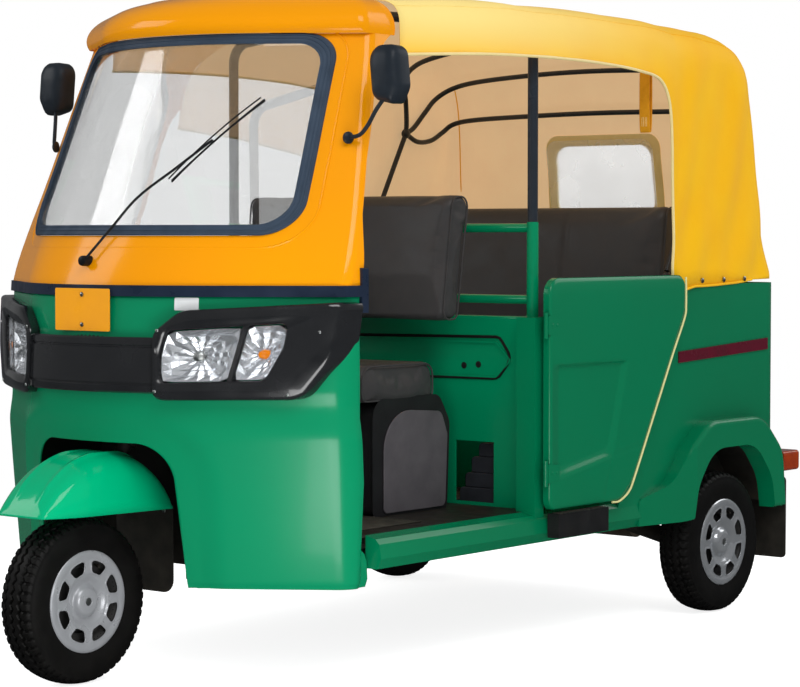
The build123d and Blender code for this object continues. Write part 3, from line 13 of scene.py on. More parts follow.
import bmesh
import bpy
import numpy as np
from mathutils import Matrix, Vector

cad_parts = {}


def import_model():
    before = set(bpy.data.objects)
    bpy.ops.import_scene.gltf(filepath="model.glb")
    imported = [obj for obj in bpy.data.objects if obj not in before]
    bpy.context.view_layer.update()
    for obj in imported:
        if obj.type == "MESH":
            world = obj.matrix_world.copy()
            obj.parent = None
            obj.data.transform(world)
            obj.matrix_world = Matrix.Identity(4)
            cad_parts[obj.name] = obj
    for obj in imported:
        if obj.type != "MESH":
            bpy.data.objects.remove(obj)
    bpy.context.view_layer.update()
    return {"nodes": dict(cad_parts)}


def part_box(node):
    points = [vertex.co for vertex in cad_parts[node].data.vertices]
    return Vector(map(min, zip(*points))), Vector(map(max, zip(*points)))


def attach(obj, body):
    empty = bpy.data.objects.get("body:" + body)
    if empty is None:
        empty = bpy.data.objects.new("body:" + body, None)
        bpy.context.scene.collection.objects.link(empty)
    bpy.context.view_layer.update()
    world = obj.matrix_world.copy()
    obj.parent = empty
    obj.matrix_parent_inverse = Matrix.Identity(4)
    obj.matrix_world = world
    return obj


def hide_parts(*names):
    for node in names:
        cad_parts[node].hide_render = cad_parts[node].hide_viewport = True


LOG = logging.getLogger("rickshaw")
FRONT_AXLE_Y = -1110.0
WHEELBASE = 1985.0
WHEEL_RADIUS = 205.0
Array = np.ndarray
Points = Union[Array, Sequence[Sequence[float]]]
Placing = Callable[[Array, Array, Array], Array]


# ---- points and meshes -------------------------------------------------------------------------
def at(x: float, distance: float, z: float) -> Vector:
    """A point in metres from millimetres, its distance measured behind the front axle.

    Args:
        x: Millimetres to the vehicle's left.
        distance: Millimetres behind the front axle.
        z: Millimetres above the ground.

    Returns:
        The point in the row frame, in metres.
    """
    return Vector((x, FRONT_AXLE_Y + distance, z)) / 1000.0


def metres(points: Points) -> Array:
    """Rows of x, distance and z in millimetres as row-frame metres.

    Args:
        points: An array whose last axis holds x, distance behind the front axle, z.

    Returns:
        The same array in metres, with y measured from the frame's origin.
    """
    return (np.asarray(points, float) + (0.0, FRONT_AXLE_Y, 0.0)) / 1000.0


def new_object(name: str, mesh: bpy.types.Mesh) -> bpy.types.Object:
    """Links a new object at the origin.

    Args:
        name: The piece's name.
        mesh: Its mesh, with the place in its vertices.

    Returns:
        The object.
    """
    obj = bpy.data.objects.new(name, mesh)
    bpy.context.scene.collection.objects.link(obj)
    return obj


def shade(mesh: bpy.types.Mesh, angle: float = 35.0) -> None:
    """Smooth shading, with edges sharper than the angle kept crisp.

    Args:
        mesh: The mesh to shade.
        angle: The largest angle, in degrees, that is still smooth.
    """
    mesh.shade_smooth()
    mesh.set_sharp_from_angle(angle=math.radians(angle))


def from_faces(name: str, points: Points, faces: Sequence[Sequence[int]]) -> bpy.types.Object:
    """A mesh piece from points in millimetres and faces.

    Args:
        name: The piece's name.
        points: Rows of x, distance, z in millimetres.
        faces: Rows of vertex numbers.

    Returns:
        The object.
    """
    mesh = bpy.data.meshes.new(name)
    mesh.from_pydata([tuple(p) for p in metres(points)], [], [tuple(f) for f in faces])
    mesh.validate()
    shade(mesh)
    return new_object(name, mesh)


def grid_faces(rows: int, columns: int, wrap_rows: bool, wrap_columns: bool) -> Array:
    """Quads of a grid: each joins a point, its next column, and the same two of the next row.

    Args:
        rows: Number of rows of points.
        columns: Number of points in a row.
        wrap_rows: Whether the last row joins the first.
        wrap_columns: Whether the last column joins the first.

    Returns:
        An array of quads.
    """
    i = np.arange(rows if wrap_rows else rows - 1)[:, None]
    j = np.arange(columns if wrap_columns else columns - 1)[None, :]
    i2, j2 = (i + 1) % rows, (j + 1) % columns
    corners = [i * columns + j, i * columns + j2, i2 * columns + j2, i2 * columns + j]
    return np.stack([np.broadcast_to(c, (i.size, j.size)) for c in corners], -1).reshape(-1, 4)


def grid(
    name: str, points: Array, wrap_rows: bool = False, wrap_columns: bool = False, caps: bool = False,
    keep: Optional[Array] = None,
) -> bpy.types.Object:
    """A surface through a grid of points, with a UV map of its real lengths in metres.

    Args:
        name: The piece's name.
        points: Array of rows, columns, 3, in millimetres.
        wrap_rows: Whether the last row joins the first.
        wrap_columns: Whether the last column joins the first.
        caps: Whether the first and the last row are closed by a face each.
        keep: Which quads are made, where some are left out.

    Returns:
        The object.
    """
    rows, columns = points.shape[:2]
    quads = grid_faces(rows, columns, wrap_rows, wrap_columns)
    faces = [tuple(f) for f in (quads if keep is None else quads[keep.ravel()])]
    if caps:
        faces += [tuple(range(columns))[::-1], tuple(range((rows - 1) * columns, rows * columns))]
    obj = from_faces(name, points.reshape(-1, 3), faces)
    along = np.linalg.norm(np.diff(points, axis=0, prepend=points[:1]), axis=2).mean(1).cumsum()
    across = np.linalg.norm(np.diff(points, axis=1, prepend=points[:, :1]), axis=2).mean(0).cumsum()
    where = np.stack(np.broadcast_arrays(across[None, :], along[:, None]), -1).reshape(-1, 2) / 1000.0
    layer = obj.data.uv_layers.new(name="cloth")
    loops = np.zeros(len(obj.data.loops), int)
    obj.data.loops.foreach_get("vertex_index", loops)
    layer.data.foreach_set("uv", where[loops].astype(np.float32).ravel())
    return obj


def turn_outwards(obj: bpy.types.Object, merge: float = 0.0) -> bpy.types.Object:
    """Makes every face of a closed mesh point outwards.

    Args:
        obj: The piece.
        merge: Distance in metres within which points become one first.

    Returns:
        The same piece.
    """
    work = bmesh.new()
    work.from_mesh(obj.data)
    if merge:
        bmesh.ops.remove_doubles(work, verts=work.verts, dist=merge)
    bmesh.ops.recalc_face_normals(work, faces=work.faces)
    work.to_mesh(obj.data)
    work.free()
    return obj


def through(points: Points, where: Array) -> Array:
    """A smooth curve through points: the cubic whose slope at a point is half its neighbours' difference.

    Args:
        points: The points that the curve goes through.
        where: Places on it, in whole steps from point to point.

    Returns:
        A row for each place.
    """
    p = np.asarray(points, float)
    p = np.vstack([2 * p[0] - p[1], p, 2 * p[-1] - p[-2]])
    step = np.clip(np.floor(where).astype(int), 0, len(p) - 4)
    t = (where - step)[:, None]
    a, b, c, d = (p[step + k] for k in range(4))
    return 0.5 * (2 * b + (c - a) * t + (2 * a - 5 * b + 4 * c - d) * t**2 + (3 * b - a - 3 * c + d) * t**3)


def smooth_path(points: Points, count: int) -> Array:
    """Points along the smooth curve through the given ones, evenly spaced by length.

    Args:
        points: The points that the curve goes through.
        count: How many points to return.

    Returns:
        Array of count rows.
    """
    dense = through(points, np.linspace(0, len(points) - 1, 24 * len(points)))
    length = np.concatenate([[0], np.linalg.norm(np.diff(dense, axis=0), axis=1).cumsum()])
    wanted = np.linspace(0, length[-1], count)
    return np.stack([np.interp(wanted, length, dense[:, k]) for k in range(dense.shape[1])], 1)


def frames_along(path: Array, closed: bool = False) -> tuple[Array, Array]:
    """Two unit vectors square to a path, turned as little as possible from point to point.

    Args:
        path: Array of points.
        closed: Whether the path is a ring.

    Returns:
        The first and the second vector at every point.
    """
    if closed:
        ahead = np.roll(path, -1, 0) - np.roll(path, 1, 0)
    else:
        ahead = np.gradient(path, axis=0)
    ahead /= np.linalg.norm(ahead, axis=1, keepdims=True)
    start = np.eye(3)[np.argmin(np.abs(ahead[0]))]
    first = np.zeros_like(path)
    for i, direction in enumerate(ahead):
        start = start - direction * (start @ direction)
        start = start / np.linalg.norm(start)
        first[i] = start
    return first, np.cross(ahead, first)


def carried(path: Array, profile: Points, closed: bool = False) -> Array:
    """A flat profile carried square along a path: point = path + u * first + v * second.

    Args:
        path: Array of points in millimetres.
        profile: Rows of u and v in millimetres.
        closed: Whether the path is a ring.

    Returns:
        A grid of points, a row for each path point.
    """
    first, second = frames_along(path, closed)
    shape = np.asarray(profile, float)
    return (path[:, None] + shape[None, :, :1] * first[:, None] + shape[None, :, 1:] * second[:, None])


def ring(radius: float, sides: int = 12, squeeze: float = 1.0) -> Array:
    """A circle's points, one axis squeezed.

    Args:
        radius: Its radius in millimetres.
        sides: How many points.
        squeeze: The second axis' share of the first.

    Returns:
        Rows of u and v.
    """
    turn = np.linspace(0, 2 * np.pi, sides, endpoint=False)
    return np.stack([radius * np.cos(turn), radius * squeeze * np.sin(turn)], 1)


def tube(
    name: str, points: Points, radius: float, count: int = 40, sides: int = 12, closed: bool = False
) -> bpy.types.Object:
    """A round bar or bead along a smooth path.

    Args:
        name: The piece's name.
        points: The points that its middle goes through, in millimetres.
        radius: Its radius in millimetres.
        count: Rings along it.
        sides: Points around it.
        closed: Whether its ends join.

    Returns:
        The object.
    """
    if closed:
        loop = np.vstack([points, points[:1]])
        path = smooth_path(loop, count + 1)[:-1]
    else:
        path = smooth_path(points, count)
    return grid(name, carried(path, ring(radius, sides), closed), closed, True, caps=not closed)


def rounded_outline(points: Points, radius: Union[float, Sequence[float]], steps: int = 6) -> Array:
    """A closed outline with every corner turned into an arc of straight steps.

    Args:
        points: Corners as rows of two values.
        radius: One radius, or one for each corner, in millimetres.
        steps: Points on each arc.

    Returns:
        Rows of two values.
    """
    corners = np.asarray(points, float)
    radii = np.broadcast_to(np.asarray(radius, float), (len(corners),))
    rows = []
    for before, corner, after, r in zip(np.roll(corners, 1, 0), corners, np.roll(corners, -1, 0), radii):
        if r <= 0:
            rows.append(corner[None])
            continue
        a, b = before - corner, after - corner
        a, b = a / np.linalg.norm(a), b / np.linalg.norm(b)
        half = math.acos(float(np.clip(a @ b, -1, 1))) / 2
        reach = r / math.tan(half)
        centre = corner + (a + b) / np.linalg.norm(a + b) * r / math.sin(half)
        start, end = corner + a * reach - centre, corner + b * reach - centre
        turn = math.atan2(start[0] * end[1] - start[1] * end[0], start @ end)
        angle = np.linspace(0, turn, steps)[:, None]
        normal = np.array([-start[1], start[0]])
        rows.append(centre + np.cos(angle) * start + np.sin(angle) * normal)
    return np.vstack(rows)


def join(name: str, parts: Sequence[bpy.types.Object]) -> bpy.types.Object:
    """Makes one piece of several, keeping their materials.

    Args:
        name: The new piece's name.
        parts: The objects to join.

    Returns:
        The joined object.
    """
    with bpy.context.temp_override(
        active_object=parts[0], selected_editable_objects=list(parts), selected_objects=list(parts)
    ):
        bpy.ops.object.join()
    parts[0].name = parts[0].data.name = name
    return parts[0]


def modifier(obj: bpy.types.Object, kind: str, **settings: object) -> bpy.types.Modifier:
    """Adds a modifier with its settings.

    Args:
        obj: The piece.
        kind: Blender's modifier type.
        **settings: Attribute values.

    Returns:
        The modifier.
    """
    made = obj.modifiers.new(kind.lower(), kind)
    for key, value in settings.items():
        setattr(made, key, value)
    return made


def bevelled(obj: bpy.types.Object, width: float, segments: int = 3) -> bpy.types.Object:
    """Rounds a piece's sharp edges.

    Args:
        obj: The piece.
        width: Edge width in millimetres.
        segments: Steps over the edge.

    Returns:
        The same piece.
    """
    modifier(obj, "BEVEL", width=width / 1000, segments=segments, limit_method="ANGLE", angle_limit=0.6)
    return obj


def slab(
    name: str, outline: Points, place: Placing, thickness: float, bevel: float = 1.0
) -> bpy.types.Object:
    """A plate of constant thickness: the outline and its copy moved by the thickness, joined.

    Args:
        name: The piece's name.
        outline: Rows of u and v in millimetres.
        place: Function of u, v and depth arrays to rows of x, distance, z.
        thickness: Depth in millimetres.
        bevel: Width of the rounded edges in millimetres.

    Returns:
        The object.
    """
    u, v = np.asarray(outline, float).T
    count = len(u)
    points = np.vstack([place(u, v, np.zeros(count)), place(u, v, np.full(count, thickness))])
    sides = [(i, (i + 1) % count, count + (i + 1) % count, count + i) for i in range(count)]
    obj = from_faces(name, points, [tuple(range(count))[::-1], tuple(range(count, 2 * count)), *sides])
    turn_outwards(obj)
    return bevelled(obj, bevel) if bevel else obj


def dense(outline: Points, count: int) -> Array:
    """A closed outline's points spread evenly by length.

    Args:
        outline: Rows of two values.
        count: How many points to return.

    Returns:
        Array of count rows.
    """
    loop = np.vstack([outline, outline[:1]])
    length = np.concatenate([[0], np.linalg.norm(np.diff(loop, axis=0), axis=1).cumsum()])
    wanted = np.linspace(0, length[-1], count, endpoint=False)
    return np.stack([np.interp(wanted, length, loop[:, k]) for k in (0, 1)], 1)


def inside(outline: Array, amount: float) -> Array:
    """A closed anticlockwise outline drawn in along its own normals, which are the turned edge directions.

    Args:
        outline: Rows of two values.
        amount: How far, in millimetres; negative grows it.

    Returns:
        The moved outline.
    """
    ahead = np.roll(outline, -1, 0) - np.roll(outline, 1, 0)
    ahead /= np.linalg.norm(ahead, axis=1, keepdims=True) + 1e-9
    return outline + amount * np.stack([-ahead[:, 1], ahead[:, 0]], 1)


def around(outline: Points, centre: Sequence[float], count: int) -> Array:
    """A closed outline's points at even angles about a centre inside it, anticlockwise.

    Args:
        outline: Rows of two values.
        centre: The point that the angles are measured about.
        count: How many points to return.

    Returns:
        Array of count rows.
    """
    loop = dense(outline, 900) - np.asarray(centre)
    angle = np.arctan2(loop[:, 1], loop[:, 0])
    order = np.argsort(angle)
    wanted = np.linspace(-np.pi, np.pi, count, endpoint=False)
    away = np.interp(wanted, angle[order], np.hypot(*loop[order].T), period=2 * np.pi)
    return np.stack([np.cos(wanted), np.sin(wanted)], 1) * away[:, None] + centre


def lofted(name: str, loops: Sequence[Array], fan: bool = True) -> bpy.types.Object:
    """A skin through closed loops of points, with its last loop closed by a fan to its middle.

    Args:
        name: The piece's name.
        loops: Arrays of the same number of points.
        fan: Whether the ends are closed; without it the last loop joins the first.

    Returns:
        The object.
    """
    stack = np.array(loops)
    if not fan:
        return turn_outwards(grid(name, stack, True, True))
    first = np.broadcast_to(stack[0].mean(0), stack[0].shape)[None]
    last = np.broadcast_to(stack[-1].mean(0), stack[0].shape)[None]
    return turn_outwards(grid(name, np.concatenate([first, stack, last]), False, True), merge=2e-5)


# ---- finishes ----------------------------------------------------------------------------------
def linear(code: str) -> tuple[float, float, float, float]:
    """An sRGB hex colour as linear light.

    Args:
        code: Such as "#F29A00".

    Returns:
        Red, green, blue and an alpha of 1.
    """
    levels = [int(code[i : i + 2], 16) / 255.0 for i in (1, 3, 5)]
    light = [c / 12.92 if c <= 0.04045 else ((c + 0.055) / 1.055) ** 2.4 for c in levels]
    return (light[0], light[1], light[2], 1.0)


def add_node(
    tree: bpy.types.NodeTree, kind: str, inputs: Optional[dict] = None, **settings: object
) -> bpy.types.Node:
    """Adds a node with its settings, constants and links.

    Args:
        tree: The node tree.
        kind: Blender's node type.
        inputs: Socket name or number to a constant, or to the output socket that feeds it.
        **settings: Attribute values of the node.

    Returns:
        The node.
    """
    node = tree.nodes.new(kind)
    for key, value in settings.items():
        setattr(node, key, value)
    for key, value in (inputs or {}).items():
        if isinstance(value, bpy.types.NodeSocket):
            tree.links.new(value, node.inputs[key])
        else:
            node.inputs[key].default_value = value
    return node


ROAD_DUST = "#9A8F7C"
COAT_ROUGHNESS = 0.06


class Pattern(Enum):
    """What the fine structure of a surface is."""

    SMOOTH = "smooth"
    GRAIN = "grain"
    WEAVE = "weave"
    CAST = "cast"


@dataclass(frozen=True)
class Finish:
    """One finish; a few hold painted light and painted shade in their colour. Lengths are in millimetres.

    Attributes:
        name: Its common name.
        slot: The record's material slot; not used.
        colour: Base colour.
        second: Colour of the broad variation.
        share: How strong the broad variation is.
        mottle: Size of the broad variation.
        dust: Share of road dust low on the vehicle.
        roughness: Middle roughness.
        spread: How far the roughness varies.
        pattern: The fine structure.
        pitch: Size of the fine structure.
        relief: Height of the fine structure.
        metallic: 1 for bare metal.
        coat: Clear lacquer over it.
        sheen: Cloth sheen.
        clear: Share of light that passes.
        ior: Refractive index.
        alpha: How opaque it is.
        glow: Strength of its own light.
        specular: Share of the mirror-like reflection; 0.5 is the plain dielectric.
        painted_highlight: A paler colour painted in as a highlight that takes over forwards and upwards: its
            code, then the y in metres where it begins and is full, and the z in metres likewise.
    """

    name: str
    slot: str
    colour: str
    second: str = ""
    share: float = 0.5
    mottle: float = 180.0
    dust: float = 0.0
    roughness: float = 0.4
    spread: float = 0.08
    pattern: Pattern = Pattern.SMOOTH
    pitch: float = 1.0
    relief: float = 0.0
    metallic: float = 0.0
    coat: float = 0.0
    sheen: float = 0.0
    clear: float = 0.0
    ior: float = 1.5
    alpha: float = 1.0
    glow: float = 0.0
    specular: float = 0.2
    painted_highlight: Optional[tuple[str, float, float, float, float]] = None

    def fine_height(self, tree: bpy.types.NodeTree, place: bpy.types.NodeSocket) -> bpy.types.NodeSocket:
        """The fine structure's height from 0 to 1: noise, rounded cells, or crossed threads.

        Args:
            tree: The material's nodes.
            place: The coordinates in metres.

        Returns:
            The socket that gives the height.
        """
        turns = 1000.0 / self.pitch
        if self.pattern is Pattern.WEAVE:
            threads = []
            for axis in ("X", "Y", "Z"):
                wave = add_node(tree, "ShaderNodeTexWave", {"Vector": place, "Scale": turns / 20.0,
                                "Distortion": 0.6, "Detail": 1.0}, bands_direction=axis)
                threads.append(wave.outputs["Fac"])
            pair = add_node(tree, "ShaderNodeMath", {0: threads[0], 1: threads[2]}, operation="MAXIMUM")
            return add_node(tree, "ShaderNodeMath", {0: pair.outputs[0], 1: threads[1]},
                            operation="MAXIMUM").outputs[0]
        if self.pattern is Pattern.GRAIN:
            cells = add_node(tree, "ShaderNodeTexVoronoi", {"Vector": place, "Scale": turns},
                             feature="SMOOTH_F1")
            return cells.outputs["Distance"]
        detail = 6.0 if self.pattern is Pattern.CAST else 2.0
        return add_node(tree, "ShaderNodeTexNoise",
                        {"Vector": place, "Scale": turns, "Detail": detail}).outputs["Fac"]

    def make(self) -> bpy.types.Material:
        """The finish as a node material, made once.

        Returns:
            The material.
        """
        found = bpy.data.materials.get(self.name)
        if found:
            return found
        material = bpy.data.materials.new(self.name)
        material.use_nodes = True
        material.diffuse_color = linear(self.colour)
        tree = material.node_tree
        tree.nodes.clear()
        place = add_node(tree, "ShaderNodeTexCoord").outputs["Object"]
        broad = add_node(tree, "ShaderNodeTexNoise",
                         {"Vector": place, "Scale": 1000.0 / self.mottle, "Detail": 4.0}).outputs["Fac"]
        spread = add_node(tree, "ShaderNodeMapRange", {"Value": broad, "From Min": 0.35, "From Max": 0.65,
                          "To Min": self.roughness - self.spread, "To Max": self.roughness + self.spread})
        sockets = {
            "Roughness": spread.outputs[0], "Metallic": self.metallic, "Coat Weight": self.coat,
            "Specular IOR Level": self.specular, "Coat Roughness": COAT_ROUGHNESS,
            "Sheen Weight": self.sheen, "Transmission Weight": self.clear,
            "IOR": self.ior, "Alpha": self.alpha,
        }
        colour = self.shade_colour(tree, place, broad)
        sockets["Base Color"] = colour
        if self.glow:
            sockets["Emission Color"] = linear(self.colour)
            sockets["Emission Strength"] = self.glow
        if self.relief:
            height = self.fine_height(tree, place)
            bump = add_node(tree, "ShaderNodeBump", {"Height": height, "Distance": self.relief / 1000.0,
                            "Strength": 0.6})
            sockets["Normal"] = bump.outputs[0]
        shader = add_node(tree, "ShaderNodeBsdfPrincipled", sockets)
        add_node(tree, "ShaderNodeOutputMaterial", {"Surface": shader.outputs[0]})
        return material

    def shade_colour(
        self, tree: bpy.types.NodeTree, place: bpy.types.NodeSocket, broad: bpy.types.NodeSocket
    ) -> bpy.types.NodeSocket:
        """Colour mixed by the broad noise, then with a painted highlight where one is set, then with road
        dust that thins out with height.

        Args:
            tree: The material's nodes.
            place: The coordinates in metres.
            broad: The broad noise.

        Returns:
            The socket that gives the colour.
        """
        share = add_node(tree, "ShaderNodeMapRange", {"Value": broad, "From Min": 0.35, "From Max": 0.7,
                         "To Max": self.share})
        mixed = add_node(tree, "ShaderNodeMix", {"Factor": share.outputs[0], 6: linear(self.colour),
                         7: linear(self.second or self.colour)}, data_type="RGBA")
        # Painted highlight: the colour pales towards the front and the top, where the light falls.
        if self.painted_highlight:
            code, y_start, y_full, z_start, z_full = self.painted_highlight
            split = add_node(tree, "ShaderNodeSeparateXYZ", {"Vector": place})
            ahead = add_node(tree, "ShaderNodeMapRange", {"Value": split.outputs["Y"], "From Min": y_start,
                             "From Max": y_full}, interpolation_type="SMOOTHSTEP")
            above = add_node(tree, "ShaderNodeMapRange", {"Value": split.outputs["Z"], "From Min": z_start,
                             "From Max": z_full}, interpolation_type="SMOOTHSTEP")
            highlight_share = add_node(tree, "ShaderNodeMath", {0: ahead.outputs[0], 1: above.outputs[0]},
                            operation="MULTIPLY")
            mixed = add_node(tree, "ShaderNodeMix", {"Factor": highlight_share.outputs[0], 6: mixed.outputs[2],
                             7: linear(code)}, data_type="RGBA")
        if not self.dust:
            return mixed.outputs[2]
        height = add_node(tree, "ShaderNodeSeparateXYZ", {"Vector": place}).outputs["Z"]
        speckle = add_node(tree, "ShaderNodeTexNoise", {"Vector": place, "Scale": 24.0, "Detail": 7.0})
        low = add_node(tree, "ShaderNodeMapRange", {"Value": height, "From Min": 0.75, "From Max": 0.15,
                       "To Max": self.dust})
        amount = add_node(tree, "ShaderNodeMath", {0: low.outputs[0], 1: speckle.outputs["Fac"]},
                          operation="MULTIPLY")
        return add_node(tree, "ShaderNodeMix", {"Factor": amount.outputs[0], 6: mixed.outputs[2],
                        7: linear(ROAD_DUST)}, data_type="RGBA").outputs[2]

    def dress(self, *pieces: bpy.types.Object) -> None:
        """Puts the finish on pieces.

        Args:
            *pieces: Objects whose only material becomes this one.
        """
        for piece in pieces:
            piece.data.materials.clear()
            piece.data.materials.append(self.make())


# Pitches are in millimetres. Real grain, thread and casting skin repeat every millimetre or less, which is
# too fine to show here, so each is drawn at least twice as coarse.

# Gel coat from a polished mould: a deep, even colour under a soft and wide gloss.
YELLOW_GRP = Finish("gel-coated yellow moulding", "yellow_paint", "#F9A000", "#F49600", 0.6, 600,
                    roughness=0.16, spread=0.03, coat=0.2)
# Sprayed enamel on pressed sheet: clean colour, with broad highlights that show how the sheet bends.
GREEN_PAINT = Finish("green enamel on pressed steel", "green_paint", "#00875A", "#007E55", 0.5, 700,
                     roughness=0.2, spread=0.03, coat=0.1, specular=0.3)
# The same enamel on the upright side sheets, painted darker and a little flatter as painted shade where they
# turn from the light.
GREEN_SHADED = Finish("green enamel with painted shade on the side sheets", "green_paint", "#00774E", "#006F48", 0.5, 700,
                    roughness=0.22, spread=0.03, coat=0.1, specular=0.3)
# The same enamel on the mudguard, painted brighter as painted light where its crown faces the lamps: the
# brightest green, with a small sharp highlight along its crown.
GREEN_LIT = Finish("green enamel with painted light on the mudguard", "green_paint", "#00B27A", "#00A872", 0.5, 300,
                      roughness=0.12, spread=0.03, coat=0.3)
# Moulded and polished: near black, read mostly by its reflections on the rounded lips.
BLACK_GLOSS = Finish("black polished ABS", "black_plastic", "#1A1B1D", "#232427", 0.4, 90,
                     roughness=0.2, coat=0.6, specular=0.5)
# Moulded against an etched tool: black with a dull, pebbled sheen and a little dust.
BLACK_MOULDED = Finish("black grained polypropylene", "black_plastic", "#121417", "#1A1D21", 0.5, 60,
                       dust=0.05, roughness=0.42, pattern=Pattern.GRAIN, pitch=3.0, relief=0.25)
# Extruded trim: a blue cast in the dark, with uneven gloss along its length.
NAVY_TRIM = Finish("navy moulded trim", "dark_trim", "#1B2536", "#26334A", 0.5, 90,
                   roughness=0.34, spread=0.1)
# Extruded and weathered rubber: a greyish blue that takes light softly, without a crisp edge.
SEAL_RUBBER = Finish("blue-black extruded rubber", "seal_rubber", "#3B4A5C", "#2E3B4B", 0.6, 60,
                     roughness=0.5, pattern=Pattern.CAST, pitch=4.0, relief=0.1)
# Cut from calendered sheet: matt black that greys where the road throws dust on it.
FLAP_RUBBER = Finish("black sheet rubber", "flap_rubber", "#101010", "#1B1A19", 0.5, 70,
                     dust=0.12, roughness=0.7, pattern=Pattern.CAST, pitch=3.0, relief=0.3)
# Vulcanised in a mould: the darkest black, with a faint sheen on the sidewall.
TYRE_RUBBER = Finish("tyre rubber", "tyre_rubber", "#050506", "#0A0A0B", 0.6, 60,
                     dust=0.02, roughness=0.55, pattern=Pattern.CAST, pitch=2.5, relief=0.3)
# Metallic lacquer on pressed steel: a light, satin grey that stays readable in the shade.
SILVER_WHEEL = Finish("silver lacquered steel", "wheel_silver", "#A9ABAF", "#93959A", 0.5, 60,
                      dust=0.03, roughness=0.32, metallic=0.3, specular=0.5)
# Plated and slightly dulled by use: bright and dark bands from what stands round it.
CHROME = Finish("chromed steel", "wheel_silver", "#D9DCE0", "#C2C6CC", 0.4, 60,
                roughness=0.2, spread=0.04, metallic=0.8)
# Laminated and faintly hazy: mostly seen through, with a pale veil and clear reflections.
GLASS = Finish("clear laminated glass", "clear_glass", "#FBFEFE",
               roughness=0.02, spread=0.01, clear=1.0, ior=1.35, alpha=0.4, specular=0.5)
# Injection moulded and clear: a thin bright skin over the lamps.
LENS = Finish("clear polycarbonate", "lamp_glass", "#FDFEFF",
              roughness=0.03, spread=0.01, clear=1.0, ior=1.3, alpha=0.25, specular=0.5)
# Calendered film, scuffed by folding: milky, so that shapes behind it blur.
FILM = Finish("clear flexible vinyl", "clear_glass", "#FBFCFC", "#F2F4F4", 0.5, 120,
              roughness=0.3, clear=0.75, ior=1.2, alpha=0.6, specular=0.5)
# Tinted glass: a small warm spot that seems to hold some light.
AMBER = Finish("amber lamp glass", "lamp_glass", "#F08A10", "#D96C00", 0.5, 12,
               roughness=0.12, clear=0.3, glow=0.15)
# Cast acrylic, sun-browned: a deep red-brown under a wet gloss.
TAIL_RED = Finish("red-brown acrylic", "tail_red", "#A63A10", "#8A2A10", 0.6, 30,
                  roughness=0.14, coat=0.8)
# Self-adhesive strip: a dark wine line with the gloss of film.
MAROON = Finish("maroon vinyl strip", "trim_maroon", "#5E1326", "#4A0E1E", 0.5, 80,
                roughness=0.24, coat=0.4)
# Embossed and knitted-back vinyl: charcoal with a fine leathery grain and a worn sheen.
VINYL = Finish("charcoal seat vinyl", "seat_vinyl", "#3A3A3B", "#444141", 0.6, 70,
               roughness=0.42, spread=0.07, pattern=Pattern.GRAIN, pitch=2.2, relief=0.3)
# The same vinyl in a lighter grey-brown, so that the seat's side panel stands out of its dark frame.
VINYL_SIDE = Finish("grey-brown seat vinyl", "seat_plastic", "#5A565A", "#4B484C", 0.6, 60,
                    roughness=0.46, spread=0.06, pattern=Pattern.GRAIN, pitch=2.2, relief=0.3)
# Coated cloth: strong yellow, with a painted highlight that pales it to cream towards the front and the top
# of the roof.
CANVAS = Finish("coated yellow hood cloth", "canopy_fabric", "#FFC400", "#FDB600", 0.7, 240,
                roughness=0.55, spread=0.06, pattern=Pattern.WEAVE, pitch=3.2, relief=0.2, sheen=0.04,
                specular=0.1, painted_highlight=("#FFE48C", 0.95, -0.4, 1.5, 1.66))
# Plain woven backing of the hood: dry beige with a painted glow, standing in for daylight coming through the
# cloth, that also lights the cab.
LINING = Finish("beige cotton canvas", "canopy_fabric", "#D2B48C", "#C4A278", 0.6, 110,
                roughness=0.85, pattern=Pattern.WEAVE, pitch=2.4, relief=0.2, sheen=0.1, glow=0.62)
# Extruded round a cord: a cream line that draws the opening's edge.
PALE_PIPING = Finish("cream vinyl piping", "canopy_fabric", "#F3DFA0", "#EBD189", 0.4, 30, roughness=0.4)
# Woven band: a dusty orange-yellow, rougher than the hood.
WEBBING = Finish("yellow woven webbing", "strap_yellow", "#E8A312", "#D18F0A", 0.6, 20,
                 roughness=0.7, pattern=Pattern.WEAVE, pitch=2.0, relief=0.3, sheen=0.2)
# Unlit enamel behind the covers: dark enough for the holes to read as deep.
WHEEL_INSIDE = Finish("dark wheel enamel", "wheel_silver", "#2B2D30", "#1F2022", 0.5, 40,
                      dust=0.1, roughness=0.5)
# Moulded shell: slate grey with a fine grain, a shade lighter than the other black mouldings.
MIRROR_SHELL = Finish("slate moulded mirror shell", "black_plastic", "#20262D", "#2B333C", 0.5, 60,
                      roughness=0.4, pattern=Pattern.GRAIN, pitch=2.6, relief=0.1)
# Rotationally moulded box: warm black with a waxy sheen.
SEAT_BOX = Finish("black seat box moulding", "seat_plastic", "#232224", "#1B1A1C", 0.5, 60,
                  roughness=0.38, pattern=Pattern.GRAIN, pitch=2.4, relief=0.15)
# Moulded in steps: a cool dark grey whose edges just separate from the shade behind.
TRAY_GREY = Finish("dark stepped tray moulding", "black_plastic", "#2C2E33", "#1D1E22", 0.6, 50,
                   roughness=0.45, pattern=Pattern.GRAIN, pitch=3.0, relief=0.2)
# A pale yellow tube along the door's rear and lower edges: a painted highlight where the edge catches the
# light.
EDGE_HIGHLIGHT = Finish("pale yellow painted door edge highlight", "strap_yellow", "#E9E3A2", "#DCD68E", 0.5, 60, roughness=0.35)
# Brushed-on enamel on tube: blue-black with a narrow highlight along each tube.
FRAME_BLACK = Finish("dark enamelled tube", "frame_black", "#2A3038", "#1F242B", 0.5, 50,
                     roughness=0.34, coat=0.3)
# Thick chassis enamel: flat black with road dust.
CHASSIS = Finish("black chassis enamel", "chassis_black", "#0F1011", "#191817", 0.5, 90,
                 dust=0.15, roughness=0.5)
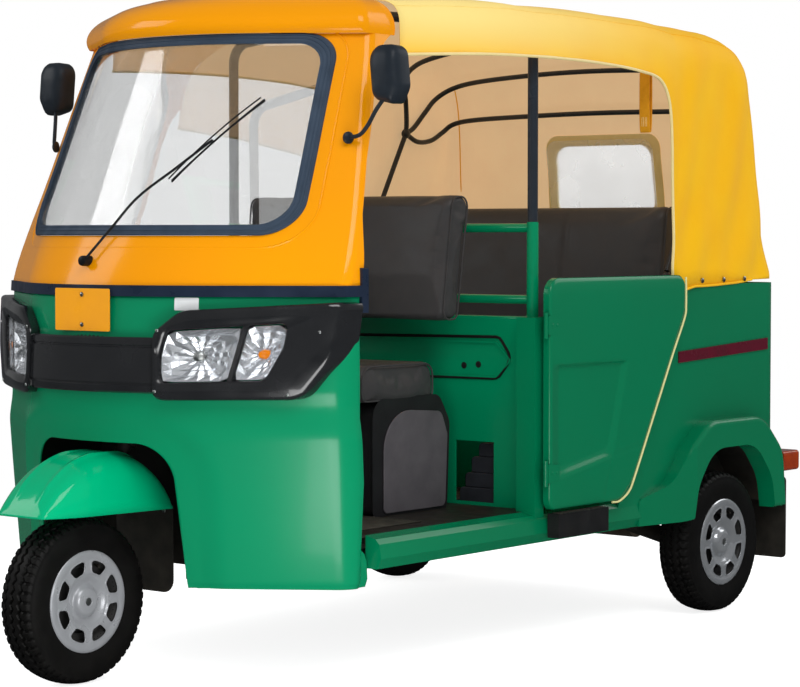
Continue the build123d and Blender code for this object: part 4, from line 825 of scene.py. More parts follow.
# Sand cast: mid grey, pitted and dusty, with blunt highlights.
ALLOY = Finish("cast alloy", "engine_alloy", "#77797C", "#5D5F62", 0.5, 40,
               dust=0.5, roughness=0.5, metallic=0.8, pattern=Pattern.CAST, pitch=3.0, relief=0.3)
# Rolled steel, browned by heat: dull and blotched.
EXHAUST = Finish("heat-stained steel", "exhaust_steel", "#5B4A3E", "#3C342E", 0.7, 50,
                 dust=0.6, roughness=0.55, metallic=0.7, pattern=Pattern.CAST, pitch=3.0, relief=0.3)
# Enamelled sheet: flat yellow-orange with little gloss.
PLATE_YELLOW = Finish("yellow plate enamel", "plate_yellow", "#F7A51B", "#EE9A10", 0.4, 60, roughness=0.35)
# Beaded tape: a cold white patch with a fine pebbled face.
WHITE_TAPE = Finish("white reflective tape", "reflector_chrome", "#F0F2F2", "#E4E7E8", 0.4, 20,
                    roughness=0.3, pattern=Pattern.GRAIN, pitch=3.0, relief=0.1)
# Dipped zinc on small parts: soft grey metal with a dull glint.
ZINC = Finish("zinc-plated steel", "reflector_chrome", "#B4B7B6", "#9A9C99", 0.5, 12,
              roughness=0.3, metallic=1.0)
# Silvered behind glass: a clear mirror image.
MIRROR_GLASS = Finish("silvered mirror glass", "reflector_chrome", "#DDE3E6",
                      roughness=0.03, spread=0.01, metallic=1.0)
# Moulded rubber underfoot: black, dulled by dust between its ribs.
MAT = Finish("ribbed black floor rubber", "black_plastic", "#1C1C1D", "#2B2A28", 0.5, 80,
             dust=0.4, roughness=0.65)

NODE_FINISHES: dict[Finish, tuple[str, ...]] = {
    YELLOW_GRP: ("windscreen_surround",),
    GREEN_PAINT: ("nose_shell", "door_jambs", "guard_rails", "partition_panel"),
    GREEN_SHADED: ("left_side_panel", "right_side_panel", "seat_bulkhead", "rear_panel", "passenger_door",
                 "engine_lid"),
    GREEN_LIT: ("front_mudguard",),
    BLACK_GLOSS: ("lamp_band",),
    BLACK_MOULDED: ("dashboard", "mirrors", "wiper", "side_steps"),
    NAVY_TRIM: ("belt_trim",),
    SEAL_RUBBER: ("windscreen_seal",),
    FLAP_RUBBER: ("mud_flaps",),
    TYRE_RUBBER: ("front_tyre", "rear_left_tyre", "rear_right_tyre"),
    SILVER_WHEEL: ("front_wheel",),
    CHROME: ("headlamp_reflectors", "rear_left_wheel", "rear_right_wheel"),
    GLASS: ("windscreen_glass",),
    LENS: ("headlamp_lenses",),
    FILM: ("rear_window",),
    TAIL_RED: ("tail_lamps",),
    MAROON: ("side_trims",),
    VINYL: ("driver_seat_cushion", "driver_seat_back", "passenger_seat_cushion", "passenger_seat_back"),
    VINYL_SIDE: ("driver_seat_base",),
    CANVAS: ("canopy",),
    WEBBING: ("grab_strap",),
    FRAME_BLACK: ("hood_bows", "pillar_posts", "handlebar"),
    CHASSIS: ("underframe", "floor_pan", "wheel_housings", "rear_suspension", "rear_shocks", "rear_bumper",
              "fork"),
    ALLOY: ("engine_block",),
    EXHAUST: ("silencer",),
    PLATE_YELLOW: ("front_plate",),
}


# ---- studio ------------------------------------------------------------------------------------
@dataclass
class Studio:
    """Camera, floor, backdrop light and softboxes.

    Attributes:
        eye: The camera's place, distances from the front axle, in millimetres.
        azimuth: Degrees round from the vehicle's front, towards its left.
        pitch: Degrees that the camera looks down.
        lens: Focal length in millimetres on a 36 mm wide sensor.
        floor_half: Half the floor's side, in metres.
        floor_lift: Light that the floor adds of its own where the camera sees it.
        floor_shadow: Distances in metres from the middle between which the shadow fades to white.
        soft_light: The world's strength for light, and how much less of it a gloss mirrors.
        softboxes: Place in metres, size in metres and power in watts of each.
        softbox_aim: What the softboxes look at, in metres.
        strip: Place, width, height and power of the strip beside the nose.
        strip_aim: What the strip looks at, in metres.
    """

    eye: tuple[float, float, float] = (4408.1, -4181.0, 1100.3)
    azimuth: float = 38.96
    pitch: float = 2.539
    lens: float = 111.3
    floor_half: float = 30.0
    floor_lift: float = 0.82
    floor_shadow: tuple[float, float] = (1.3, 3.4)
    soft_light: tuple[float, float] = (0.62, 0.48)
    softboxes: tuple[tuple[tuple[float, float, float], float, float], ...] = (
        ((3.4, -2.4, 4.4), 2.6, 95.0),
        ((-3.6, -3.6, 3.2), 2.6, 55.0),
        ((2.2, 4.2, 3.6), 3.0, 45.0),
    )
    softbox_aim: tuple[float, float, float] = (0.0, 0.0, 0.9)
    strip: tuple[tuple[float, float, float], float, float, float] = ((1.22, -1.5, 0.31), 0.61, 0.54, 6.0)
    strip_aim: tuple[float, float, float] = (0.53, -0.81, 0.5)

    def camera(self) -> bpy.types.Object:
        """Makes the camera and sets it as the scene's.

        Returns:
            The camera object.
        """
        data = bpy.data.cameras.new("studio_camera")
        data.lens, data.sensor_width, data.sensor_fit = self.lens, 36.0, "HORIZONTAL"
        data.clip_start, data.clip_end = 0.1, 200.0
        camera = new_object("studio_camera", data)
        turn, down = math.radians(self.azimuth), math.radians(self.pitch)
        ahead = Vector((-math.sin(turn) * math.cos(down), math.cos(turn) * math.cos(down), -math.sin(down)))
        camera.location = at(*self.eye)
        camera.rotation_euler = ahead.to_track_quat("-Z", "Y").to_euler()
        bpy.context.scene.camera = camera
        return camera

    def floor(self) -> None:
        """A plain pale floor that keeps the object's shadow and shows white where it is only seen."""
        half = self.floor_half * 1000
        corners = [(-half, -half, 0), (half, -half, 0), (half, half, 0), (-half, half, 0)]
        floor = from_faces("studio_floor", corners, [(0, 1, 2, 3)])
        material = bpy.data.materials.new("pale studio floor")
        material.use_nodes = True
        tree = material.node_tree
        tree.nodes.clear()
        place = add_node(tree, "ShaderNodeTexCoord").outputs["Object"]
        cloud = add_node(tree, "ShaderNodeTexNoise", {"Vector": place, "Scale": 1.3}).outputs["Fac"]
        tone = add_node(tree, "ShaderNodeMix", {"Factor": cloud, 6: linear("#F1F1F0"), 7: linear("#F5F5F4")},
                        data_type="RGBA")
        rays = add_node(tree, "ShaderNodeLightPath")
        seen = rays.outputs["Is Camera Ray"]
        grey = add_node(tree, "ShaderNodeMix", {"Factor": rays.outputs["Is Glossy Ray"], 6: tone.outputs[2],
                        7: linear("#4A4C4E")}, data_type="RGBA")
        shader = add_node(tree, "ShaderNodeBsdfPrincipled", {"Base Color": grey.outputs[2], "Roughness": 0.9,
                          "Specular IOR Level": 0.1})
        lift = add_node(tree, "ShaderNodeMath", {0: seen, 1: self.floor_lift}, operation="MULTIPLY")
        own = add_node(tree, "ShaderNodeEmission", {"Color": linear("#FFFFFF"), "Strength": lift.outputs[0]})
        lit = add_node(tree, "ShaderNodeAddShader", {0: shader.outputs[0], 1: own.outputs[0]})
        level = add_node(tree, "ShaderNodeVectorMath", {0: place}, operation="LENGTH").outputs["Value"]
        near_end, far_end = self.floor_shadow
        far = add_node(tree, "ShaderNodeMapRange", {"Value": level, "From Min": near_end,
                       "From Max": far_end}, interpolation_type="SMOOTHSTEP")
        away = add_node(tree, "ShaderNodeMath", {0: far.outputs[0], 1: seen}, operation="MULTIPLY")
        white = add_node(tree, "ShaderNodeEmission", {"Color": linear("#FFFFFF"), "Strength": 1.0})
        mix = add_node(tree, "ShaderNodeMixShader", {0: away.outputs[0], 1: lit.outputs[0],
                       2: white.outputs[0]})
        add_node(tree, "ShaderNodeOutputMaterial", {"Surface": mix.outputs[0]})
        floor.data.materials.append(material)

    def world(self) -> None:
        """A white backdrop for what is seen, mirrored or seen through glass, and a soft grey for light."""
        world = bpy.data.worlds.new("studio_world")
        bpy.context.scene.world = world
        world.use_nodes = True
        tree = world.node_tree
        tree.nodes.clear()
        rays = add_node(tree, "ShaderNodeLightPath")
        direct = add_node(tree, "ShaderNodeMath", {0: rays.outputs["Is Camera Ray"],
                          1: rays.outputs["Is Transmission Ray"]}, operation="MAXIMUM")
        white = add_node(tree, "ShaderNodeBackground", {"Color": linear("#FFFFFF"), "Strength": 1.0})
        strength, less = self.soft_light
        dim = add_node(tree, "ShaderNodeMath", {0: rays.outputs["Is Glossy Ray"], 1: -less, 2: strength},
                       operation="MULTIPLY_ADD")
        soft = add_node(tree, "ShaderNodeBackground", {"Color": linear("#F4F6F8"),
                        "Strength": dim.outputs[0]})
        mix = add_node(tree, "ShaderNodeMixShader", {0: direct.outputs[0], 1: soft.outputs[0],
                       2: white.outputs[0]})
        add_node(tree, "ShaderNodeOutputWorld", {"Surface": mix.outputs[0]})

    @staticmethod
    def aim(light: bpy.types.Object, place: Sequence[float], target: Sequence[float]) -> None:
        """Stands a light at a place and turns it towards a target, both in metres."""
        light.location = place
        light.rotation_euler = (Vector(target) - light.location).to_track_quat("-Z", "Y").to_euler()

    def lights(self) -> None:
        """Large soft boxes that look at the vehicle's middle, and a strip beside the nose."""
        for number, (place, size, power) in enumerate(self.softboxes):
            data = bpy.data.lights.new(f"softbox_{number}", "AREA")
            data.shape, data.size, data.energy = "SQUARE", size, power
            light = new_object(f"softbox_{number}", data)
            self.aim(light, place, self.softbox_aim)
        place, width, height, power = self.strip
        data = bpy.data.lights.new("strip_light", "AREA")
        data.shape, data.size, data.size_y, data.energy = "RECTANGLE", width, height, power
        light = new_object("strip_light", data)
        self.aim(light, place, self.strip_aim)
        light.visible_camera = False

    def build(self) -> None:
        """Makes the whole studio."""
        bpy.context.scene.view_settings.view_transform = "Standard"
        self.camera()
        self.floor()
        self.world()
        self.lights()


# ---- putting pieces in place -------------------------------------------------------------------
def fit(
    piece: bpy.types.Object, finish: Finish, body: str = "body", replaces: Sequence[str] = ()
) -> bpy.types.Object:
    """Dresses a piece, lets it ride on its body and stand for nodes.

    Args:
        piece: The finished shape.
        finish: Its finish.
        body: The body that it moves with.
        replaces: Nodes that it stands for.

    Returns:
        The same piece.
    """
    finish.dress(piece)
    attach(piece, body)
    if replaces:
        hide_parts(*replaces)
    return piece


def mirrored(points: Points) -> Array:
    """The same points on the other side of the vehicle.

    Args:
        points: Rows of x, distance, z.

    Returns:
        The rows with x turned round.
    """
    return np.asarray(points, float) * (-1.0, 1.0, 1.0)


def across_x(x: float) -> Placing:
    """A placing for slabs that face sideways: u is distance, v is height, depth grows with x."""
    return lambda u, v, depth: np.stack([x + depth, u, v], 1)


def across_y(distance: float) -> Placing:
    """A placing for slabs that face along the vehicle: u is x, v is height, depth grows rearwards."""
    return lambda u, v, depth: np.stack([u, distance + depth, v], 1)


def heads(
    name: str, places: Points, axis: Sequence[float], radius: float, height: float, sides: int = 12
) -> bpy.types.Object:
    """Domed screw heads, one at each place: rings whose radius falls as they rise.

    Args:
        name: The piece's name.
        places: Rows of x, distance, z.
        axis: Outward direction of all of them.
        radius: Head radius in millimetres.
        height: Head height in millimetres.
        sides: Points around each head.

    Returns:
        One mesh of all heads.
    """
    out = np.asarray(axis, float) / np.linalg.norm(axis)
    side = np.cross(out, np.eye(3)[np.argmin(np.abs(out))])
    side /= np.linalg.norm(side)
    turn = np.linspace(0, 2 * np.pi, sides, endpoint=False)
    circle = np.cos(turn)[:, None] * side + np.sin(turn)[:, None] * np.cross(out, side)
    levels = np.array([(1.0, -0.3), (1.0, 0.35), (0.8, 0.75), (0.35, 1.0)])
    one = levels[:, 0, None, None] * radius * circle + levels[:, 1, None, None] * height * out
    one = one.reshape(-1, 3)
    places = np.asarray(places, float)
    points = (places[:, None] + one[None]).reshape(-1, 3)
    quads = grid_faces(len(levels), sides, False, True)
    faces = []
    for number in range(len(places)):
        base = number * len(one)
        faces += [tuple(q + base) for q in quads]
        faces += [tuple(range(base, base + sides))[::-1], tuple(range(base + 3 * sides, base + 4 * sides))]
    return turn_outwards(from_faces(name, points, faces))


# ---- canopy ------------------------------------------------------------------------------------
@dataclass
class Canopy:
    """The hood cloth: one lined sheet over the bows, its piping, snaps and window welt.

    Attributes:
        seam: Points of the edge between roof or back and the side, from the front round to the rear hem.
        border: For each of them, the side's lower edge: the opening's edge, then the hem.
        crown: For each of them, how far the middle bulges rearwards and upwards.
        bows: Distances of the bows that the roof sags between.
        rounding: Radius over the eaves.
        window: Half width, lowest and highest z of the rear window.
        step: Rows of the grid between two points of the seam.
        thickness: The cloth's thickness with its lining.
        welt: For the welt's outer and inner edge, how far it lies outside the window, and its radius.
        welt_faces: How far the welt's outer and inner face stand off the cloth.
    """

    seam: tuple = (
        (506, 642, 1680), (560, 880, 1688), (586, 1150, 1692), (591, 1420, 1688), (592, 1640, 1684),
        (591, 1740, 1682), (589, 1840, 1680), (587, 1930, 1678), (584, 2010, 1672), (582, 2080, 1667),
        (578, 2150, 1656), (573, 2212, 1618), (571, 2245, 1540), (574, 2262, 1440), (580, 2276, 1330),
        (588, 2294, 1190), (596, 2308, 1070), (601, 2322, 966),
    )
    border: tuple = (
        (509, 642, 1548), (567, 880, 1560), (597, 1150, 1566), (603, 1420, 1561), (607, 1600, 1548),
        (609, 1685, 1526), (612, 1722, 1440), (614, 1732, 1250), (615, 1736, 1080), (615, 1738, 949),
        (615, 1850, 950), (613, 1950, 952), (612, 2020, 955), (611, 2070, 957), (609, 2105, 959),
        (608, 2135, 961), (606, 2158, 963), (605, 2180, 965),
    )
    crown: tuple = (
        (0, 32), (0, 42), (0, 50), (0, 55), (0, 58), (0, 60), (0, 60), (0, 60), (0, 60), (0, 58),
        (2, 52), (12, 32), (16, 10), (18, 2), (18, 0), (15, 0), (9, 0), (4, 0),
    )
    bows: tuple = (642.0, 1164.0, 1930.0, 2225.0)
    rounding: float = 96.0
    window: tuple = (200.0, 1140.0, 1395.0)
    step: int = 8
    thickness: float = 2.4
    welt: tuple = ((16.0, 46.0), (-18.0, 44.0))
    welt_faces: tuple[float, float] = (2.2, -4.5)

    def rows(self) -> Array:
        """Places of the rows on the seam, moved so that two lie on the window's edges.

        Returns:
            Increasing places, in whole steps from seam point to seam point.
        """
        where = np.linspace(0, len(self.seam) - 1, (len(self.seam) - 1) * self.step + 1)
        dense = np.linspace(11, len(self.seam) - 1, 600)
        height = through(self.seam, dense)[:, 2]
        for z in self.window[1:]:
            spot = np.interp(-z, -height, dense)
            where[np.argmin(np.abs(where - spot))] = spot
        return where

    def sheet(self) -> tuple[Array, Array]:
        """The cloth as a grid of points, and which of its quads are made.

        Each row runs straight up from the lower edge to the seam, over a quadratic curve round the
        eaves, and across a parabola to the middle; the other half is its mirror image.

        Returns:
            Points and the quads to keep.
        """
        where = self.rows()
        seam, border = through(self.seam, where), through(self.border, where)
        crown = through(self.crown, where)
        leg = np.linalg.norm(border - seam, axis=1, keepdims=True)
        reach = np.minimum(self.rounding, 0.42 * leg)
        start = seam + (border - seam) / leg * reach
        end_x = seam[:, :1] - reach

        def roof(x: Array) -> Array:
            """The roof or back over places x, a parabola that is highest in the middle."""
            lift = 1 - (x / seam[:, :1]) ** 2
            return np.stack([x, seam[:, 1:2] + crown[:, :1] * lift, seam[:, 2:] + crown[:, 1:] * lift], 2)

        up = np.linspace(0, 1, 13)[None, :, None]
        side = border[:, None] + (start - border)[:, None] * up
        turn = np.linspace(0, 1, 10)[None, 1:, None]
        end = roof(end_x)
        corner = (1 - turn) ** 2 * start[:, None] + 2 * turn * (1 - turn) * seam[:, None] + turn**2 * end
        share = np.linspace(0, 1, 13)[None, 1:]
        outer = roof(end_x + (self.window[0] - end_x) * share)
        inner = roof(np.broadcast_to(self.window[0] * (1 - np.linspace(0, 1, 9)[None, 1:]), (len(where), 8)))
        half = np.concatenate([side, corner, outer, inner], 1)
        points = np.concatenate([half, half[:, -2::-1] * (-1, 1, 1)], 1)
        points = points + self.relief(points) * self.normals(points)
        middle = (points[:-1, :-1] + points[1:, 1:]) / 2
        low, high = self.window[1:]
        hole = ((np.abs(middle[..., 0]) < self.window[0]) & (middle[..., 2] > low) & (middle[..., 2] < high)
                & (middle[..., 1] > 2200))
        return points, ~hole

    @staticmethod
    def normals(points: Array) -> Array:
        """Unit normals of a grid: the cross product of its two slopes.

        Args:
            points: The grid.

        Returns:
            One outward vector for each point.
        """
        out = np.cross(np.gradient(points, axis=1), np.gradient(points, axis=0))
        out /= np.linalg.norm(out, axis=2, keepdims=True) + 1e-9
        return out

    def relief(self, points: Array) -> Array:
        """How far the cloth stands off its smooth form, in millimetres.

        It sags between the bows as a squared sine, is drawn into slanting folds on the quarter, and
        puckers along the hem and the opening's edge.

        Args:
            points: The grid.

        Returns:
            Distances with a last axis of 1.
        """
        x, d, z = points[..., 0], points[..., 1], points[..., 2]
        sag = np.zeros_like(x)
        for front, back in zip(self.bows, self.bows[1:]):
            share = np.clip((d - front) / (back - front), 0, 1)
            sag -= 9.0 * np.sin(np.pi * share) ** 2
        sag *= np.clip((z - 1660) / 60, 0, 1)
        side = np.sign(x)
        slant = (d - 1738) * 0.75 + (1560 - z) * 0.42
        quarter = np.clip((d - 1750) / 90, 0, 1) * np.clip((1660 - z) / 120, 0, 1)
        folds = 3.6 * np.sin(slant / 31 + 1.3 * np.sin(z / 130 + side)) + 2.2 * np.sin(slant / 17 + z / 90)
        back = np.clip((d - 2200) / 60, 0, 1) * np.clip((np.abs(x) - 180) / 80, 0, 1)
        drawn = 3.0 * np.sin(x / 37 + 0.8 * np.sin(z / 110)) * back
        pucker = 2.2 * np.sin(d / 16) * np.exp(-(z - 950) / 60) * np.clip((d - 1700) / 60, 0, 1)
        over_door = np.clip((1640 - z) / 60, 0, 1) * np.clip((1800 - d) / 90, 0, 1)
        valance = 1.6 * np.sin(d / 26 + side) * over_door
        pull = 1.3 * np.sin(d / 41 + 2.1 * side + np.sin(x / 90)) * np.sin(z / 67 + d / 210)
        still = np.clip((z - 953) / 30, 0.2, 1)
        return ((sag + quarter * folds + drawn + pucker + valance + pull) * still)[..., None]

    def build(self) -> list[bpy.types.Object]:
        """Makes the cloth and everything sewn to it.

        Returns:
            The pieces.
        """
        points, keep = self.sheet()
        cloth = grid("hood_cloth", points[:, ::-1], keep=keep[:, ::-1])
        modifier(cloth, "SOLIDIFY", thickness=self.thickness / 1000, offset=-1.0, material_offset=1,
                 material_offset_rim=0, use_even_offset=True)
        fit(cloth, CANVAS, replaces=["canopy"])
        cloth.data.materials.append(LINING.make())
        pieces = [cloth]
        last_side = len(self.border) - 1
        edge = points[: 9 * self.step + 1, 0]
        hem = points[9 * self.step :, 0]
        seam_line = points[: (last_side - 1) * self.step, 17]
        for side, word in ((1, "left"), (-1, "right")):
            flip = np.array([side, 1, 1])
            pieces.append(fit(tube(f"opening_piping_{word}", edge[::4] * flip, 4.2, 110, 8), PALE_PIPING))
            pieces.append(fit(tube(f"hem_fold_{word}", hem[::4] * flip, 3.6, 90, 8), CANVAS))
            pieces.append(fit(tube(f"eaves_seam_{word}", seam_line[::3] * flip, 1.8, 160, 6), CANVAS))
            snaps = through([(616, 1775, 966), (616, 1890, 966), (614, 2010, 967), (611, 2130, 968)],
                            np.linspace(0, 3, 4)) * flip
            pieces.append(fit(heads(f"hem_snaps_{word}", snaps, (side, 0, 0), 7.5, 4.0), ZINC))
        pieces.append(fit(self.window_welt(points), PALE_PIPING))
        return pieces

    @staticmethod
    def back_at(back: Array, x: Array, z: Array) -> Array:
        """Reads how far back the cloth's rear stands, straight between the lines of its grid.

        Args:
            back: The rear part of the cloth's grid.
            x: Places across the vehicle.
            z: Heights.

        Returns:
            Distances behind the front axle.
        """
        lines = back[::-1, ::-1]
        columns = range(lines.shape[1])
        across, behind = (np.array([np.interp(z, lines[:, j, 2], lines[:, j, k]) for j in columns])
                          for k in (0, 1))
        first = np.clip((across < x).sum(0) - 1, 0, len(across) - 2)[None]
        left, right = (np.take_along_axis(across, first + step, 0)[0] for step in (0, 1))
        near, far = (np.take_along_axis(behind, first + step, 0)[0] for step in (0, 1))
        return near + (far - near) * np.clip((x - left) / (right - left), 0, 1)

    def window_welt(self, points: Array) -> bpy.types.Object:
        """A flat ring of cloth sewn round the rear window, following the back's own surface.

        Args:
            points: The cloth's grid.

        Returns:
            The piece.
        """
        half, low, high = self.window
        back = points[11 * self.step :, points.shape[1] // 2 - 10 : points.shape[1] // 2 + 11]
        centre = (0.0, (low + high) / 2)
        outlines = []
        for grow, radius in self.welt:
            corners = [(-half - grow, low - grow), (half + grow, low - grow), (half + grow, high + grow),
                       (-half - grow, high + grow)]
            outlines.append(around(rounded_outline(corners, radius, 9), centre, 360))
        shells = []
        for off, shares in zip(self.welt_faces, (np.linspace(0, 1, 6), np.linspace(1, 0, 6))):
            for share in shares:
                x, z = (outlines[0] * (1 - share) + outlines[1] * share).T
                shells.append(np.stack([x, self.back_at(back, x, z) + off, z], 1))
        return turn_outwards(grid("window_welt", np.array(shells), True, True))


# ---- the bowed front ---------------------------------------------------------------------------
class PlanRows:
    """Plan sections of the bowed front: a bow, a slanting cheek, a corner arc and a straight side.

    A place on a section is a number q from 0 at the middle to 4 at the rear edge, one whole step for
    each of the four runs; a negative q is the right side.

    Attributes:
        rows: Height, front, half width, corner radius and back edge, in millimetres.
        cheek: Angle of the cheek in radians.
        ratio: The bow's radius over the half width.
    """

    def __init__(self, rows: Points) -> None:
        """Keeps the rows.

        Args:
            rows: Height, front, half width, corner radius, back.
        """
        self.rows = np.asarray(rows, float)
        self.cheek = math.radians(35)
        self.ratio = 0.976

    def section(self, z: Array, grow: Union[float, Array] = 0.0) -> tuple[Array, ...]:
        """The section's tangent points at heights.

        Args:
            z: Heights.
            grow: Distance off the face.

        Returns:
            Bow radius, front, bow end x and d, cheek end x and d, corner radius, side x, back.
        """
        front, half, corner, back = (np.interp(z, self.rows[:, 0], self.rows[:, k]) for k in (1, 2, 3, 4))
        bow, corner, front, side = self.ratio * half + grow, corner + grow, front - grow, half + grow
        bow_x, bow_d = bow * math.sin(self.cheek), front + bow * (1 - math.cos(self.cheek))
        cheek_x = side - corner * (1 - math.sin(self.cheek))
        cheek_d = bow_d + (cheek_x - bow_x) * math.tan(self.cheek)
        return bow, front, bow_x, bow_d, cheek_x, cheek_d, corner, side, back

    def on(self, q: Array, z: Array, grow: Union[float, Array] = 0.0) -> Array:
        """Points of the face.

        Args:
            q: Places on the section.
            z: Heights.
            grow: Distance off the face.

        Returns:
            Rows of x, distance, z.
        """
        bow, front, bow_x, bow_d, cheek_x, cheek_d, corner, _, back = self.section(z, grow)
        a = np.abs(q)
        turn = np.clip(a, 0, 1) * self.cheek
        x, d = bow * np.sin(turn), front + bow * (1 - np.cos(turn))
        run = np.clip(a - 1, 0, 1)
        x, d = x + run * (cheek_x - bow_x), d + run * (cheek_d - bow_d)
        arc = self.cheek + np.clip(a - 2, 0, 1) * (np.pi / 2 - self.cheek)
        x = x + corner * (np.sin(arc) - math.sin(self.cheek))
        d = d + corner * (math.cos(self.cheek) - np.cos(arc))
        d = d + np.clip(a - 3, 0, 1) * (back - cheek_d - corner * math.cos(self.cheek))
        return np.stack(np.broadcast_arrays(x * np.sign(q), d, z), -1)

    def over(self, x: Array, z: Array, grow: Union[float, Array] = 0.0) -> Array:
        """Points of the face at given x and z, each on the bow, the cheek or the corner.

        Args:
            x: Places across.
            z: Heights.
            grow: Distance off the face.

        Returns:
            Rows of x, distance, z.
        """
        bow, front, bow_x, bow_d, cheek_x, cheek_d, corner, side, _ = self.section(z, grow)
        a = np.abs(x)
        on_bow = front + bow - np.sqrt(np.clip(bow**2 - a**2, 0, None))
        on_cheek = bow_d + (a - bow_x) * math.tan(self.cheek)
        reach = np.clip(corner**2 - np.clip(a - side + corner, 0, None) ** 2, 0, None)
        on_corner = cheek_d + corner * math.cos(self.cheek) - np.sqrt(reach)
        d = np.where(a <= bow_x, on_bow, np.where(a <= cheek_x, on_cheek, on_corner))
        return np.stack(np.broadcast_arrays(x, d, z), -1)


NOSE = PlanRows([(240, 84, 574, 60, 432), (500, 62, 588, 90, 432), (720, 44, 592, 90, 432),
                 (949, 54, 590, 86, 432)])
CAP = PlanRows([(976, 56, 590, 30, 388), (1100, 104, 580, 30, 412), (1300, 190, 545, 30, 472),
                (1500, 272, 510, 30, 545), (1560, 297, 499, 30, 580), (1604, 314, 490, 30, 640)])


@dataclass
class NoseSkin:
    """The pressed steel nose: flared wheel opening, rolled lower lip and a flange along the doorways.

    Attributes:
        top: Height of the upper edge.
        bottom: Height of the lower edge.
        arch: Half width, top and corner radius of the wheel opening.
        swelling: How far the sheet stands proud away from the opening, and from where and over what run.
        sheet: Thickness of the sheet.
    """

    top: float = 949.0
    bottom: float = 241.0
    arch: tuple[float, float, float] = (236.0, 592.0, 96.0)
    swelling: tuple[float, float, float] = (11.0, 40.0, 62.0)
    sheet: float = 4.0

    def edges(self) -> tuple[Array, Array, Array, Array]:
        """The opening's edge from its middle to its foot, and the sheet's outer edge that faces it.

        The outer edge runs along the belt, down the doorway and back along the bottom.

        Returns:
            Places q and heights of the opening's points, then of the outer ones.
        """
        half, top, radius = self.arch
        turn = np.linspace(np.pi / 2, 0, 30)
        x = np.concatenate([np.linspace(0, half - radius, 16)[:-1], half - radius + radius * np.cos(turn),
                            np.linspace(half + 0.5, half + 14, 30)])
        z = np.concatenate([np.full(15, top), top - radius + radius * np.sin(turn),
                            np.linspace(top - radius - 8, self.bottom, 30)])
        path = smooth_path(np.stack([x, z], 1), 160)
        inner_z = path[:, 1]
        half_width = np.interp(inner_z, NOSE.rows[:, 0], NOSE.rows[:, 2])
        inner_q = np.arcsin(path[:, 0] / (NOSE.ratio * half_width)) / NOSE.cheek
        outer_q = np.concatenate([np.linspace(0, 4, 80), np.full(34, 4.0),
                                  np.linspace(4, inner_q[-1] + 0.08, 48)[1:]])
        outer_z = np.concatenate([np.full(80, self.top), np.linspace(self.top, self.bottom, 36)[1:-1],
                                  np.full(47, self.bottom)])
        count = len(outer_q)
        where = np.linspace(0, 159, count)
        steps = np.arange(160)
        return np.interp(where, steps, inner_q), np.interp(where, steps, inner_z), outer_q, outer_z

    def surface(self) -> Array:
        """The outer face as a grid: straight runs in q and z from the opening to the outer edge.

        Returns:
            Points, a row for each step away from the opening.
        """
        low_q, low_z, high_q, high_z = self.edges()
        rise = np.linspace(0, 1, 64)[:, None] ** 1.25
        q, z = low_q + (high_q - low_q) * rise, low_z + (high_z - low_z) * rise
        face = NOSE.on(q, z)
        half, top, radius = self.arch
        x = np.abs(face[..., 0])
        beyond_x, above = np.clip(x - (half - radius), 0, None), np.clip(z - (top - radius), 0, None)
        away = np.clip(np.hypot(beyond_x, above) - radius, 0, None)
        proud, start, run = self.swelling
        rising = np.clip((away - start) / run, 0, 1)
        low = np.clip((690 - z) / 90, 0, 1)
        inner = np.clip((3.3 - q) / 0.5, 0, 1)
        raised = proud * rising * rising * (3 - 2 * rising) * low * low * (3 - 2 * low) * inner
        lip = 4.5 * np.exp(-(((z - self.bottom) / 10) ** 2)) * np.clip((x - half) / 30, 0, 1)
        flange = 2.6 / (1 + np.exp(-(q - 3.3) / 0.06)) * np.clip((z - 262) / 14, 0, 1) - 2.6 * low
        fold = 1.2 * np.exp(-(((q - 3.3) / 0.09) ** 2)) * low
        outer = NOSE.on(q, z, raised - lip - flange - fold)
        back = np.interp(z, [300, 322, 346], [430, 418, 388])
        share = np.clip(q - 3, 0, 1)
        outer[..., 1] = outer[..., 1] - (432 - back) * share
        return outer

    def build(self) -> list[bpy.types.Object]:
        """Makes the skin, the left half and its mirror image in one.

        Returns:
            The pieces.
        """
        half = self.surface()
        points = np.concatenate([half[:, :0:-1] * (-1, 1, 1), half], 1)
        skin = grid("nose_skin", points)
        modifier(skin, "SOLIDIFY", thickness=self.sheet / 1000, offset=-1.0)
        return [fit(skin, GREEN_PAINT, replaces=["nose_shell"])]


